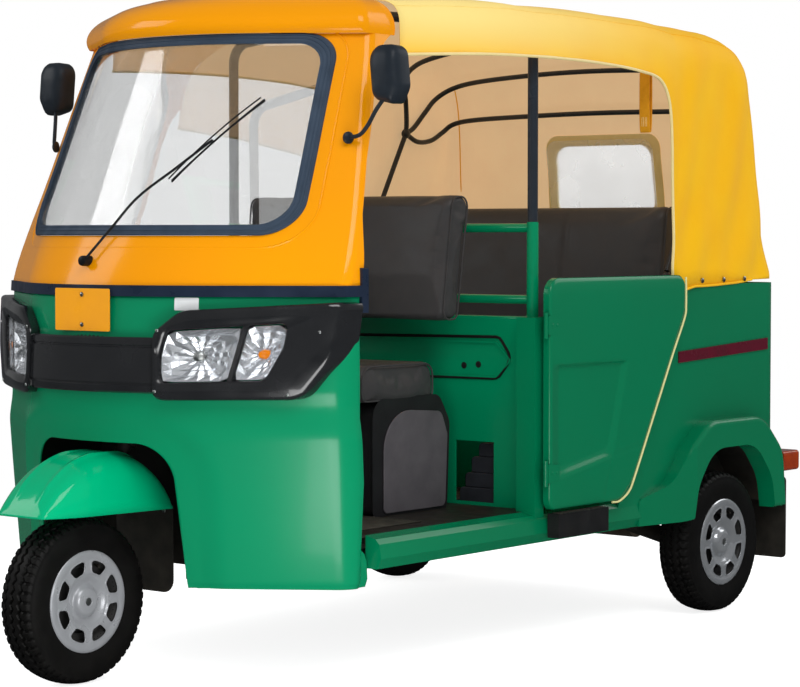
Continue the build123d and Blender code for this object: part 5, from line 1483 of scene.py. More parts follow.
@dataclass
class Lamps:
    """Lamp pods with rounded lips, faceted reflectors, bulbs, lens covers, and the band between the pods.

    Attributes:
        pod: Corners of a pod in x and z, each with its radius.
        opening: Corners of the opening for both lamps of a pod, each with its radius.
        bowls: Corners of the two reflectors.
        centres: Where their bulbs stand.
        spokes: Facets round a reflector.
        band: Lowest and highest z of the band between the pods.
        middle: Point in a pod that its outlines are spread about.
        screws: Places of the screws in a pod's rim.
    """

    pod: tuple = (
        (275, 917, 60), (211, 862, 40), (216, 700, 22), (522, 703, 50), (586, 804, 120), (606, 938, 14),
    )
    opening: tuple = (
        (246, 868, 20), (231, 812, 60), (231, 742, 14), (449, 750, 18), (485, 828, 60), (493, 887, 12),
    )
    bowls: tuple = (
        ((249, 865, 16), (234, 812, 40), (234, 745, 10), (373, 748, 8), (402, 877, 8)),
        ((414, 878, 8), (385, 750, 8), (448, 753, 12), (482, 828, 40), (489, 883, 8)),
    )
    centres: tuple = ((312.0, 806.0), (440.0, 812.0))
    spokes: int = 28
    band: tuple[float, float] = (716.0, 851.0)
    middle: tuple[float, float] = (372.0, 812.0)
    screws: tuple = ((226, 722), (228, 868), (560, 866), (500, 716))

    @staticmethod
    def corners(outline: Sequence[Sequence[float]], steps: int = 9) -> Array:
        """The rounded outline of corner points with radii.

        Args:
            outline: Rows of x, z and radius.
            steps: Points on each arc.

        Returns:
            Rows of x and z.
        """
        rows = np.asarray(outline, float)
        return rounded_outline(rows[:, :2], rows[:, 2], steps)

    def housing(self, side: int) -> bpy.types.Object:
        """A pod: a skin from its outer edge over a soft lip to the lamp opening and down inside it.

        Args:
            side: 1 for left, -1 for right.

        Returns:
            The piece.
        """
        outer = around(self.corners(self.pod), self.middle, 180)
        hole = around(self.corners(self.opening), self.middle, 180)
        between = 0.5 * (inside(outer, 16) + inside(hole, -14))
        flats = [(outer, 0.6), (outer, 25.0), (inside(outer, 1.5), 29.5), (inside(outer, 5.0), 33.0),
                 (inside(outer, 11.0), 34.6), (between, 35.2), (inside(hole, -9.0), 34.2),
                 (inside(hole, -4.0), 32.0), (hole, 27.0), (inside(hole, 0.6), 7.0)]
        loops = [NOSE.over(flat[:, 0] * side, flat[:, 1], off) for flat, off in flats]
        return lofted(f"lamp_pod_{side}", loops, fan=False)

    def divider(self, side: int) -> bpy.types.Object:
        """The slanting bar between the two lamps of a pod.

        Args:
            side: 1 for left, -1 for right.

        Returns:
            The piece.
        """
        run = np.linspace(0, 1, 24)
        x, z = 378.5 + 30.5 * run, 744.0 + 137.0 * run
        profile = [(-6.0, 7.0), (-6.0, 24.0), (-4.5, 27.0), (4.5, 27.0), (6.0, 24.0), (6.0, 7.0)]
        loops = [NOSE.over((x + u) * side, z, off) for u, off in profile]
        points = np.array(loops).transpose(1, 0, 2)
        return turn_outwards(grid(f"lamp_divider_{side}", points, False, True, True))

    def cover(self, side: int) -> bpy.types.Object:
        """The clear cover over both lamps, bowed a little outwards.

        Args:
            side: 1 for left, -1 for right.

        Returns:
            The piece.
        """
        middle = np.array((365.0, 812.0))
        hole = inside(around(self.corners(self.opening), middle, 120), 0.8)
        levels = ((0.3, 27.6), (0.7, 27.0), (1.0, 24.4), (1.0, 27.0), (0.97, 28.6), (0.85, 29.6),
                  (0.6, 30.3), (0.3, 30.6))
        loops = []
        for share, off in levels:
            flat = middle + (hole - middle) * share
            loops.append(NOSE.over(flat[:, 0] * side, flat[:, 1], off))
        return lofted(f"lamp_cover_{side}", loops)

    def reflector(self, number: int, side: int) -> bpy.types.Object:
        """One faceted bowl: rings between its bulb and its rim, each second spoke set deeper.

        Args:
            number: Which of the two.
            side: 1 for left, -1 for right.

        Returns:
            The piece.
        """
        centre = np.array(self.centres[number])
        rim = around(self.corners(self.bowls[number], 4), centre, self.spokes)
        levels = [(1.0, 23.5), (0.97, 22.0), (0.8, 15.0), (0.76, 18.4), (0.58, 12.6), (0.53, 16.0),
                  (0.36, 11.4), (0.32, 14.0), (0.16, 10.6), (0.13, 8.0)]
        swing = np.where(np.arange(self.spokes) % 2, 2.0, -1.6)
        loops = [NOSE.over(rim[:, 0] * side, rim[:, 1], 7.0)]
        for share, off in levels:
            flat = centre + (rim - centre) * share
            loops.append(NOSE.over(flat[:, 0] * side, flat[:, 1], off + swing * (0.2 < share < 0.95)))
        obj = lofted(f"lamp_bowl_{number}_{side}", loops)
        obj.data.shade_flat()
        return obj

    def bulb(self, number: int, side: int, radius: float) -> bpy.types.Object:
        """A domed bulb that stands out of a reflector.

        Args:
            number: Which lamp.
            side: 1 for left, -1 for right.
            radius: Its radius in millimetres.

        Returns:
            The piece.
        """
        x, z = self.centres[number]
        levels = [(1.0, 7.5), (1.0, 15.0), (0.86, 19.0), (0.5, 22.0), (0.15, 23.0)]
        turn = ring(radius, 18)
        loops = [NOSE.over((x + turn[:, 0] * s) * side, z + turn[:, 1] * s, off) for s, off in levels]
        return lofted(f"lamp_bulb_{number}_{side}", loops)

    def grille(self) -> bpy.types.Object:
        """The band between the pods: a rounded profile carried across the bow, with two shallow grooves.

        Returns:
            The piece.
        """
        low, high = self.band
        lower = [(4, 0.6), (0, 4), (0, 20), (4, 23.6), (18, 24.2), (20, 22.4), (23, 22.4), (25, 24.6)]
        profile = [(low + up, off) for up, off in lower] + [(high - up, off) for up, off in lower[::-1]]
        x = np.linspace(-232, 232, 70)
        loops = [NOSE.over(x, np.full(70, float(z)), off) for z, off in profile]
        return turn_outwards(grid("lamp_band_strip", np.array(loops).transpose(1, 0, 2), False, True, True))

    def build(self) -> list[bpy.types.Object]:
        """Makes all lamp pieces.

        Returns:
            The pieces.
        """
        pieces, bowls, covers, shells = [], [], [], [self.grille()]
        for side in (1, -1):
            shells += [self.housing(side), self.divider(side)]
            covers.append(self.cover(side))
            bowls += [self.reflector(number, side) for number in (0, 1)]
            pieces.append(fit(self.bulb(0, side, 13.0), ZINC))
            pieces.append(fit(self.bulb(1, side, 10.5), AMBER))
            for x, z in self.screws:
                place = NOSE.over(np.array(x * side), np.array(z), 34.0)
                screw = heads(f"pod_screw_{x}_{side}", [place], (0.5 * side, -1, 0), 4.2, 2.4)
                pieces.append(fit(screw, ZINC))
        pieces.append(fit(join("lamp_housings", shells), BLACK_GLOSS, replaces=["lamp_band"]))
        pieces.append(fit(join("lamp_covers", covers), LENS, replaces=["headlamp_lenses"]))
        pieces.append(fit(join("lamp_bowls", bowls), CHROME, replaces=["headlamp_reflectors"]))
        return pieces


@dataclass
class FrontFittings:
    """Everything screwed or stuck to the nose and the cap: wiper, tape, plate bolts, seal beads, crease.

    Attributes:
        seal: Corners of the seal's middle line, as x and z.
        crease: Corners of the raised line in the cap round the seal.
        beads: Name, distance outwards from the middle line, height off the cap and radius of each bead.
        pivot: Place of the wiper's pivot, as x and z.
    """

    seal: tuple = ((-456, 1109), (456, 1109), (418, 1584), (-418, 1584))
    crease: tuple = ((-500, 1066), (500, 1066), (452, 1616), (-452, 1616))
    beads: tuple = (("outer", 9.0, 5.4, 2.4), ("inner", -9.0, 4.4, 1.8), ("middle", 0.0, 5.2, 1.5))
    pivot: tuple[float, float] = (-20.0, 1034.0)

    def wiper(self) -> list[bpy.types.Object]:
        """The wiper's arm, its pivot cap, the two-rail blade and its rubber.

        Returns:
            The pieces.
        """
        def on_cap(x: float, z: float, off: float) -> Array:
            """A point over the cap's face."""
            return CAP.over(np.array(x), np.array(z), off)

        pivot, knee, end = on_cap(*self.pivot, 20), on_cap(100, 1190, 24), on_cap(243, 1330, 17)
        path = [pivot, (pivot + knee) / 2 + (0, -1, 0), knee, (knee + end) / 2, end]
        arm = tube("wiper_arm", path, 3.4, 60, 10)
        low, high = np.array((165.0, 1230.0)), np.array((320.0, 1430.0))
        pieces = [arm]
        for shift, off, radius in ((-5.5, 12.0, 1.9), (4.5, 11.0, 2.2), (0.0, 6.5, 2.6)):
            run = np.linspace(0.0, 1.0, 24)[:, None]
            flat = low + (high - low) * run + (shift, -shift * 0.78)
            bow = 5.0 * (1 - (2 * run[:, 0] - 1) ** 2) * (shift != 0)
            path = CAP.over(flat[:, 0], flat[:, 1], off + bow)
            pieces.append(grid(f"wiper_rail_{shift:.0f}", carried(path, ring(radius, 8)), False, True, True))
        levels = [(13.0, 24.0), (13.0, -4.0), (11.5, -8.0), (6.0, -11.0)]
        turn = ring(1.0, 20)
        loops = [np.stack([pivot[0] + turn[:, 0] * r, np.full(20, pivot[1] + off),
                           pivot[2] + turn[:, 1] * r], 1) for r, off in levels]
        pieces.append(lofted("wiper_pivot_cap", loops))
        return [fit(join("wiper_assembly", pieces), BLACK_MOULDED, replaces=["wiper"])]

    def build(self) -> list[bpy.types.Object]:
        """Makes the fittings.

        Returns:
            The pieces.
        """
        pieces = self.wiper()
        tape = dense(rounded_outline([(243, 916), (296, 916), (296, 947), (243, 947)], 2.0, 3), 60)
        loops = [NOSE.over(loop[:, 0], loop[:, 1], off) for loop, off in
                 ((tape, -1.0), (tape, 0.9), (inside(tape, 1.0), 1.3))]
        pieces.append(fit(lofted("reflective_tape", loops), WHITE_TAPE))
        bolts = [(-12, 44.0, 878), (-12, 44.0, 952)]
        pieces.append(fit(heads("plate_bolts", bolts, (0, -1, 0), 6.0, 3.4, 6), ZINC))
        outline = dense(rounded_outline(self.seal, 70, 12), 260)
        for word, grow, off, radius in self.beads:
            loop = inside(outline, -grow)
            path = CAP.over(loop[:, 0], loop[:, 1], off)
            bead = grid(f"seal_bead_{word}", carried(path, ring(radius, 8), True), True, True)
            pieces.append(fit(bead, SEAL_RUBBER))
        crease = dense(rounded_outline(self.crease, 96, 14), 300)
        path = CAP.over(crease[:, 0], crease[:, 1], -1.0)
        pieces.append(fit(grid("cap_crease", carried(path, ring(3.0, 10), True), True, True), YELLOW_GRP))
        return pieces


# ---- wheels ------------------------------------------------------------------------------------
@dataclass
class Wheel:
    """One tyre with its tread, and its rim, hub, nuts and pressed cover with eight holes.

    Attributes:
        body: The body that turns.
        tyre_node: The tyre node that it stands for.
        wheel_node: The rim and cover node that it stands for.
        centre: Middle of the tyre: x, distance, z.
        side: 1 where the cover faces left, -1 where it faces right.
        finish: Finish of the cover.
        section: Half of the tyre's outline as width from the middle and radius, from bead to tread edge.
        tread: Half width of the tread and how far its edges lie below the middle.
        grooves: Middle of each groove, its half width, its depth, and the sway of its zigzag.
        dish: The cover's outline as radius and distance outwards from the wheel's middle.
        hole: Inner and outer radius of the holes, and the share of a turn's eighth that one takes.
        lugs: Lugs round each edge of the tread.
        around: Steps of the tyre round the axle.
        sheet: Thickness of the cover.
    """

    body: str
    tyre_node: str
    wheel_node: str
    centre: tuple[float, float, float]
    side: int
    finish: Finish
    section: tuple = (
        (30, 108), (38, 104.2), (43.5, 105), (46, 110), (47.5, 117), (48.6, 121), (49.8, 122.5),
        (49.2, 125), (50.6, 133), (52, 146), (52.8, 158), (52.2, 170), (50.2, 181), (48.6, 186),
        (48.8, 188), (46.4, 192.5), (43.6, 196.6),
    )
    tread: tuple[float, float] = (41.5, 6.4)
    grooves: tuple = ((-24.0, 3.0, 6.0, 3.6), (0.0, 2.6, 6.0, 4.4), (24.0, 3.0, 6.0, 3.6))
    lugs: int = 54
    around: int = 486
    dish: tuple = (
        (10, 51.6), (22, 51.4), (30, 50.2), (35, 46), (38, 39.5), (42, 37), (50, 38.5), (58, 42.5),
        (64, 46.2), (70, 47.8), (100, 48.4), (104, 49.2), (110, 50.6), (117, 51.2), (122, 50.2),
        (125.4, 47), (126.6, 42),
    )
    hole: tuple[float, float, float] = (71.0, 101.0, 0.62)
    sheet: float = 1.6

    def turned(self, axial: Array, radius: Array, angle: Array) -> Array:
        """Points round the axle.

        Args:
            axial: Millimetres outwards from the wheel's middle.
            radius: Millimetres from the axle.
            angle: Angle round it.

        Returns:
            Rows of x, distance, z.
        """
        x, d, z = self.centre
        return np.stack(np.broadcast_arrays(x + self.side * axial, d + radius * np.cos(angle),
                                            z + radius * np.sin(angle)), -1)

    def tyre(self) -> bpy.types.Object:
        """The tyre: its outline carried round the axle, with zigzag grooves and cuts between the lugs.

        Returns:
            The piece.
        """
        half = np.array(self.section, float)
        width, fall = self.tread
        crown = np.linspace(-width, width, 47)
        tread = np.stack([crown, 204.8 - fall * (crown / width) ** 2], 1)
        profile = np.vstack([half * (-1, 1), tread, half[::-1]])
        angle = np.linspace(0, 2 * np.pi, self.around, endpoint=False)[:, None]
        u, r = np.broadcast_to(profile[:, 0], (self.around, len(profile))), profile[:, 1]
        on_crown = np.abs(u) <= width
        pitch = angle * self.lugs / (2 * np.pi)
        sway = np.abs((pitch % 1.0) * 2 - 1) * 2 - 1
        depth = np.zeros_like(u)
        for middle, half_width, deep, swing in self.grooves:
            off = np.abs(u - middle - swing * sway)
            depth = np.maximum(depth, deep * np.clip((half_width + 1.4 - off) / 1.8, 0, 1))
        cut = np.clip((0.2 - np.abs((pitch + 0.25) % 1.0 - 0.5)) / 0.07, 0, 1)
        depth = np.maximum(depth, 4.6 * cut * np.clip((np.abs(u) - 30) / 2.5, 0, 1))
        shoulder = (np.abs(u) > width) & (r > 190)
        radius = r - depth * on_crown - 3.2 * cut * shoulder
        return grid(self.tyre_node + "_treaded", self.turned(u, radius, angle), True, True)

    def spun(self, name: str, profile: Points, sides: int = 96, wrap: bool = True) -> bpy.types.Object:
        """A turned shape: an outline of axial place and radius carried round the axle.

        Args:
            name: The piece's name.
            profile: Rows of axial place and radius.
            sides: Steps round the axle.
            wrap: Whether the outline is closed.

        Returns:
            The piece.
        """
        rows = np.asarray(profile, float)
        angle = np.linspace(0, 2 * np.pi, sides, endpoint=False)[:, None]
        obj = grid(name, self.turned(rows[:, 0], rows[:, 1], angle), True, wrap)
        return turn_outwards(obj)

    def cover(self) -> bpy.types.Object:
        """The pressed cover; points beside a removed quad are moved onto the hole's smooth edge.

        Returns:
            The piece.
        """
        dish = np.array(self.dish, float)
        radius = np.concatenate([np.linspace(10, 68, 26), np.linspace(70, 102, 21),
                                 np.linspace(104, 126.6, 16)])
        depth = np.interp(radius, dish[:, 0], dish[:, 1])
        depth = np.convolve(np.pad(depth, 1, "edge"), (0.22, 0.56, 0.22), "valid")
        count = 240
        angle = np.linspace(0, 2 * np.pi, count, endpoint=False)
        inner, outer, share = self.hole
        middle, tall = (inner + outer) / 2, (outer - inner) / 2
        eighth = (angle * 8 / (2 * np.pi)) % 1.0 - 0.5
        a = np.broadcast_to(eighth[None, :] * 2 / share, (len(radius), count))
        b = np.broadcast_to((radius[:, None] - middle) / tall, a.shape)
        slant = 1.0 + 0.16 * b
        level = (np.abs(a / slant) ** 4 + np.abs(b) ** 4) ** 0.25
        quad_a = 0.25 * (level[:-1] + level[1:] + np.roll(level, -1, 1)[:-1] + np.roll(level, -1, 1)[1:])
        keep = quad_a >= 1.0
        near = np.zeros_like(level, bool)
        gone = ~keep
        for rows in (slice(0, -1), slice(1, None)):
            near[rows] |= gone | np.roll(gone, 1, 1)
        kept = np.zeros_like(near)
        for rows in (slice(0, -1), slice(1, None)):
            kept[rows] |= keep | np.roll(keep, 1, 1)
        rim = near & kept
        pull = np.where(rim, 1 / np.maximum(level, 0.2), 1.0)
        r = middle + b * pull * tall
        turn = angle[None, :] + (a * pull - a) * share / 2 * (2 * np.pi / 8)
        lip = 2.2 * np.exp(-((np.clip(level - 1, 0, None) / 0.16) ** 2)) * (level > 0.7)
        out = depth[:, None] + lip - 0.9 * np.exp(-(((radius[:, None] - 66) / 2.5) ** 2))
        obj = grid(self.wheel_node + "_cover", self.turned(out, r, turn), False, True, keep=keep)
        modifier(obj, "SOLIDIFY", thickness=self.sheet / 1000, offset=-1.0 if self.side > 0 else 1.0)
        return obj

    def build(self) -> list[bpy.types.Object]:
        """Makes tyre, cover, rim, hub and valve.

        Returns:
            The pieces.
        """
        flange = [(-44, 104), (-46, 110), (-43, 113.5), (-40, 110), (-36, 103.2), (-20, 100), (-14, 84),
                  (14, 84), (20, 100), (36, 103.2), (40, 110), (43, 113.5), (46, 110), (44, 104),
                  (34, 98), (22, 95), (18, 80), (-18, 80), (-22, 95), (-34, 98)]
        disc = [(2, 82), (5, 82), (12, 64), (15, 50), (15, 18), (11, 18), (11, 50), (8, 62)]
        drum = [(-30, 20), (-30, 66), (-24, 70), (4, 70), (7, 66), (7, 20)]
        hub = [(6, 16), (6, 29), (30, 28), (34, 24), (44, 22), (48, 18), (49, 10), (49, 0.5), (30, 0.5)]
        shapes = [self.spun(f"{self.wheel_node}_{n}", p) for n, p in
                  (("rim", flange), ("disc", disc), ("drum", drum), ("hub", hub))]
        turn = np.linspace(0, 2 * np.pi, 5, endpoint=False)
        nuts = heads(self.wheel_node + "_nuts", self.turned(np.full(5, 50.6), np.full(5, 22.0), turn),
                     (self.side, 0, 0), 3.4, 1.2, 6)
        cap_rows = [(49, 11.5), (51.4, 11), (52, 8.5), (52.4, 4), (52.5, 0.4), (49, 0.4)]
        cap = self.spun(self.wheel_node + "_cap", cap_rows)
        stem = self.turned(np.array([30.0, 44, 47.6]), np.array([96.0, 92, 87]), np.full(3, 1.1))
        valve = tube(self.wheel_node + "_valve", stem, 3.2, 10, 10)
        return [
            fit(self.tyre(), TYRE_RUBBER, self.body, [self.tyre_node]),
            fit(self.cover(), self.finish, self.body, [self.wheel_node]),
            fit(join(self.wheel_node + "_centre", shapes), WHEEL_INSIDE, self.body),
            fit(join(self.wheel_node + "_nuts", [nuts, cap]), ZINC, self.body),
            fit(valve, FLAP_RUBBER, self.body),
        ]


@dataclass
class Wheels:
    """The three wheels.

    Attributes:
        track: Half the distance between the rear wheels' middles, in millimetres.
    """

    track: float = 583.0

    def build(self) -> list[bpy.types.Object]:
        """Makes every wheel.

        Returns:
            The pieces.
        """
        places = (
            ("front_wheel", "front_tyre", (0.0, 0.0, WHEEL_RADIUS), 1, SILVER_WHEEL),
            ("rear_left_wheel", "rear_left_tyre", (self.track, WHEELBASE, WHEEL_RADIUS), 1, CHROME),
            ("rear_right_wheel", "rear_right_tyre", (-self.track, WHEELBASE, WHEEL_RADIUS), -1, CHROME),
        )
        pieces = []
        for body, tyre, centre, side, finish in places:
            pieces += Wheel(body, tyre, body, centre, side, finish).build()
        return pieces


# ---- seats -------------------------------------------------------------------------------------
@dataclass
class Cushion:
    """A padded seat piece: a crowned form that is blown up as cloth round its filling, then seamed.

    Attributes:
        name: The piece's name.
        node: The node that it stands for.
        outline: Its side view as distance and height, in millimetres.
        half: Half its width.
        corner: Radius of the outline's corners.
        resting: The side that lies flat on its carrier: "down" or "back".
        channels: Places of the sewn channels across it, as shares of the half width.
        swell: How far a point may move, in millimetres.
        voxel: Size of the cloth's mesh, in millimetres.
        finish: Finish of the cover and its welts.
        pressure: Pressure inside the cover.
        stiffness: How hard the cloth is to stretch or squeeze.
        bending: How hard it is to fold.
        mass: Mass of each point of the cloth.
        frames: Frames that the simulation runs.
    """

    name: str
    node: str
    outline: tuple
    half: float
    corner: tuple
    resting: str = "down"
    channels: tuple = ()
    swell: float = 9.0
    voxel: float = 6.0
    finish: Finish = VINYL
    pressure: float = 4.0
    stiffness: float = 18.0
    bending: float = 0.8
    mass: float = 0.35
    frames: int = 20

    def form(self, draw: float) -> Array:
        """The filling's shape: the side view carried across the width, drawn in at both ends.

        Args:
            draw: How far all of it is drawn in.

        Returns:
            A grid of points, a row for each place across the width.
        """
        side = inside(dense(rounded_outline(self.outline, self.corner, 7), 84)[::-1], draw)
        middle = side.mean(0)
        half = self.half - draw
        ends = np.array([0.0, 0.9, 3.0, 6.5, 11.0, 17.0, 24.0])
        shrink = np.array([0.0, 3.0, 8.0, 12.5, 16.0, 19.0, 20.5])
        x = np.concatenate([-half + ends, np.linspace(-half + 34, half - 34, 27), (half - ends)[::-1]])
        off = np.concatenate([shrink, np.full(27, 21.0), shrink[::-1]])
        span = side - middle
        size = np.abs(span).max(0)
        rows = [middle + span * (1 - (21.0 - s) * 0.8 / size) for s in off]
        return np.array([np.column_stack([np.full(len(side), w), row]) for w, row in zip(x, rows)])

    def stuffed(self) -> bpy.types.Object:
        """The form after a cloth simulation with inner pressure, its moves capped.

        Returns:
            The piece, with its simulation applied.
        """
        points = self.form(self.swell * 0.75)
        base = turn_outwards(grid(self.name, points, False, True, caps=True))
        work = new_object(self.name + "_work", base.data.copy())
        modifier(work, "REMESH", mode="VOXEL", voxel_size=self.voxel / 1000)
        work = applied(work)
        start = read_points(work.data)
        lying = start[:, 2] < start[:, 2].min() + 0.004 if self.resting == "down" else (
            start[:, 1] > start[:, 1].max() - 0.006)
        group = work.vertex_groups.new(name="resting")
        group.add([int(i) for i in np.flatnonzero(lying)], 1.0, "REPLACE")
        cloth = modifier(work, "CLOTH")
        cloth.settings.quality = 4
        cloth.settings.mass = self.mass
        cloth.settings.tension_stiffness = cloth.settings.compression_stiffness = self.stiffness
        cloth.settings.bending_stiffness = self.bending
        cloth.settings.use_pressure = True
        cloth.settings.uniform_pressure_force = self.pressure
        cloth.settings.vertex_group_mass = "resting"
        cloth.settings.effector_weights.gravity = 0.0
        cloth.point_cache.frame_start, cloth.point_cache.frame_end = 1, self.frames
        for frame_number in range(1, self.frames + 1):
            bpy.context.scene.frame_set(frame_number)
        seen = work.evaluated_get(bpy.context.evaluated_depsgraph_get())
        moved = read_points(seen.data)
        shift = moved - start
        length = np.linalg.norm(shift, axis=1, keepdims=True)
        cap = self.swell / 1000
        shift *= np.minimum(1.0, cap / np.maximum(length, 1e-9))
        low, high = (np.array(c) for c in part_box(self.node))
        place = np.clip(start + shift, low + 0.0004, high - 0.0004)
        work.modifiers.clear()
        work.data.vertices.foreach_set("co", place.astype(np.float32).ravel())
        work.data.update()
        bpy.context.scene.frame_set(1)
        bpy.data.objects.remove(base)
        work.name = work.data.name = self.name
        modifier(work, "SMOOTH", factor=0.5, iterations=3)
        modifier(work, "SUBSURF", levels=1, render_levels=1)
        shade(work.data, 60)
        return work

    def channel(self, obj: bpy.types.Object) -> None:
        """Presses the sewn channels into the finished form: a narrow valley at each place across it.

        Args:
            obj: The piece.
        """
        if not self.channels:
            return
        place = read_points(obj.data)
        middle = place.mean(0)
        depth = np.zeros(len(place))
        for share in self.channels:
            off = place[:, 0] - share * self.half / 1000
            depth = np.maximum(depth, 0.005 * np.exp(-((off / 0.007) ** 2)))
        axis = 2 if self.resting == "down" else 1
        face = place[:, axis] > middle[axis] if axis == 2 else place[:, axis] < middle[axis]
        place[:, axis] += np.where(face, -depth if axis == 2 else depth, 0)
        obj.data.vertices.foreach_set("co", place.astype(np.float32).ravel())
        obj.data.update()

    def piping(self) -> bpy.types.Object:
        """The welts sewn round both ends of the cover.

        Returns:
            The piece.
        """
        points = self.form(self.swell * 0.35)
        rows = (3, len(points) - 4)
        return join(self.name + "_welts", [
            grid(f"{self.name}_welt_{n}", carried(points[n], ring(2.6, 8), True), True, True) for n in rows])

    def build(self) -> list[bpy.types.Object]:
        """Makes the cushion and its welts.

        Returns:
            The pieces.
        """
        pad = self.stuffed()
        self.channel(pad)
        fit(pad, self.finish, replaces=[self.node])
        return [pad, fit(self.piping(), self.finish)]


def applied(obj: bpy.types.Object) -> bpy.types.Object:
    """Bakes a piece's modifiers into its mesh.

    Args:
        obj: The piece.

    Returns:
        The same piece.
    """
    seen = obj.evaluated_get(bpy.context.evaluated_depsgraph_get())
    mesh = bpy.data.meshes.new_from_object(seen)
    obj.modifiers.clear()
    obj.data = mesh
    return obj


def read_points(mesh: bpy.types.Mesh) -> Array:
    """A mesh's points in metres.

    Args:
        mesh: The mesh.

    Returns:
        A row for each vertex.
    """
    flat = np.zeros(len(mesh.vertices) * 3, np.float32)
    mesh.vertices.foreach_get("co", flat)
    return flat.reshape(-1, 3).astype(float)


@dataclass
class Seats:
    """The driver's seat and the passengers' bench."""

    def build(self) -> list[bpy.types.Object]:
        """Makes every seat piece.

        Returns:
            The pieces.
        """
        cushions = (
            Cushion("driver_cushion_pad", "driver_seat_cushion",
                    ((690, 664.3), (990, 664.3), (990, 761), (690, 761)), 350.0, (14, 14, 34, 40)),
            Cushion("driver_backrest_pad", "driver_seat_back",
                    ((1000, 868), (1062, 868), (1118, 1204), (1048, 1204)), 372.0, (20, 20, 26, 26), "back",
                    swell=8.0),
            Cushion("passenger_cushion_pad", "passenger_seat_cushion",
                    ((1452, 640.3), (1872, 640.3), (1872, 765), (1452, 765)), 474.0, (14, 14, 30, 46),
                    channels=(-0.34, 0.34), voxel=9.0),
            Cushion("passenger_backrest_pad", "passenger_seat_back",
                    ((1776, 765.3), (1889.7, 765.3), (1889.7, 1180), (1832, 1180)), 544.0, (20, 14, 20, 24),
                    "back", channels=(-0.36, 0.36), voxel=9.0),
        )
        pieces = []
        for cushion in cushions:
            pieces += cushion.build()
        return pieces


# ---- mudguard ----------------------------------------------------------------------------------
@dataclass
class Mudguard:
    """The front mudguard with its flutes and lip, and the rubber flap that hangs from its tail.

    Attributes:
        crown: The top's side view as distance and height, in millimetres.
        half: Half its width.
        flutes: Places of the raised flutes across it, and their half width and height.
        flap: Half width, lower edge, distance and thickness of the rubber flap.
        flap_top: Height of the flap's upper edge.
        limits: Half width and height that flutes and lip stay within.
    """

    crown: tuple = (
        (-180, 424), (-172, 440), (-150, 468), (-112, 506), (-60, 541), (0, 561), (60, 566.5), (110, 563),
        (160, 545), (204, 510), (230, 468), (240, 434), (242, 418),
    )
    half: float = 107.0
    flutes: tuple[float, float, float] = (44.0, 8.0, 5.0)
    flap: tuple[float, float, float, float] = (100.0, 202.0, 244.0, 4.0)
    flap_top: float = 430.0
    limits: tuple[float, float] = (108.0, 567.0)

    def shell(self) -> bpy.types.Object:
        """The guard's skin: at each place of its top, a section that falls to the straight lower edge.

        Returns:
            The piece.
        """
        path = smooth_path(self.crown, 110)
        turn = np.linspace(-np.pi / 2, np.pi / 2, 81)
        across, rise = np.sign(np.sin(turn)) * np.abs(np.sin(turn)) ** 0.62, np.cos(turn) ** 0.5
        base_z = np.interp(path[:, 0], [-180, 242], [423.0, 416.5])[:, None]
        taper = 1 - 0.26 * np.clip((-40 - path[:, :1]) / 140, 0, 1) ** 2
        x = self.half * across * taper
        z = base_z + (path[:, 1:] - base_z) * rise
        d = path[:, :1] + (60 - path[:, :1]) * 0.05 * (1 - rise)
        place, wide, high = self.flutes
        bump = high * np.exp(-(((np.abs(x) - place) / wide) ** 2)) * np.clip((z - base_z) / 30, 0, 1)
        z = z + bump * np.clip((path[:, 1:] - 440) / 60, 0, 1)
        lip = 2.6 * np.exp(-(((z - base_z - 3) / 5) ** 2))
        x = x + np.sign(x) * lip * (np.abs(across) > 0.9)
        side, top = self.limits
        points = np.stack(np.broadcast_arrays(np.clip(x, -side, side), d, np.minimum(z, top)), 2)
        skin = grid("front_mudguard_skin", points)
        modifier(skin, "SOLIDIFY", thickness=0.0026, offset=-1.0)
        return skin

    def build(self) -> list[bpy.types.Object]:
        """Makes the guard, its flap and their screws.

        Returns:
            The pieces.
        """
        half, low, distance, thick = self.flap
        top = self.flap_top
        outline = rounded_outline([(-half, low), (half, low), (half, top), (-half, top)], [34, 34, 4, 4], 7)
        flap = slab("front_flap", outline, across_y(distance), thick, 1.2)
        screws = heads("front_flap_screws", [(x, distance - 0.5, 408) for x in (-70, 0, 70)],
                       (0, -1, 0), 6, 3)
        return [
            fit(self.shell(), GREEN_LIT, "steering", ["front_mudguard"]),
            fit(flap, FLAP_RUBBER, "steering"),
            fit(screws, ZINC, "steering"),
        ]


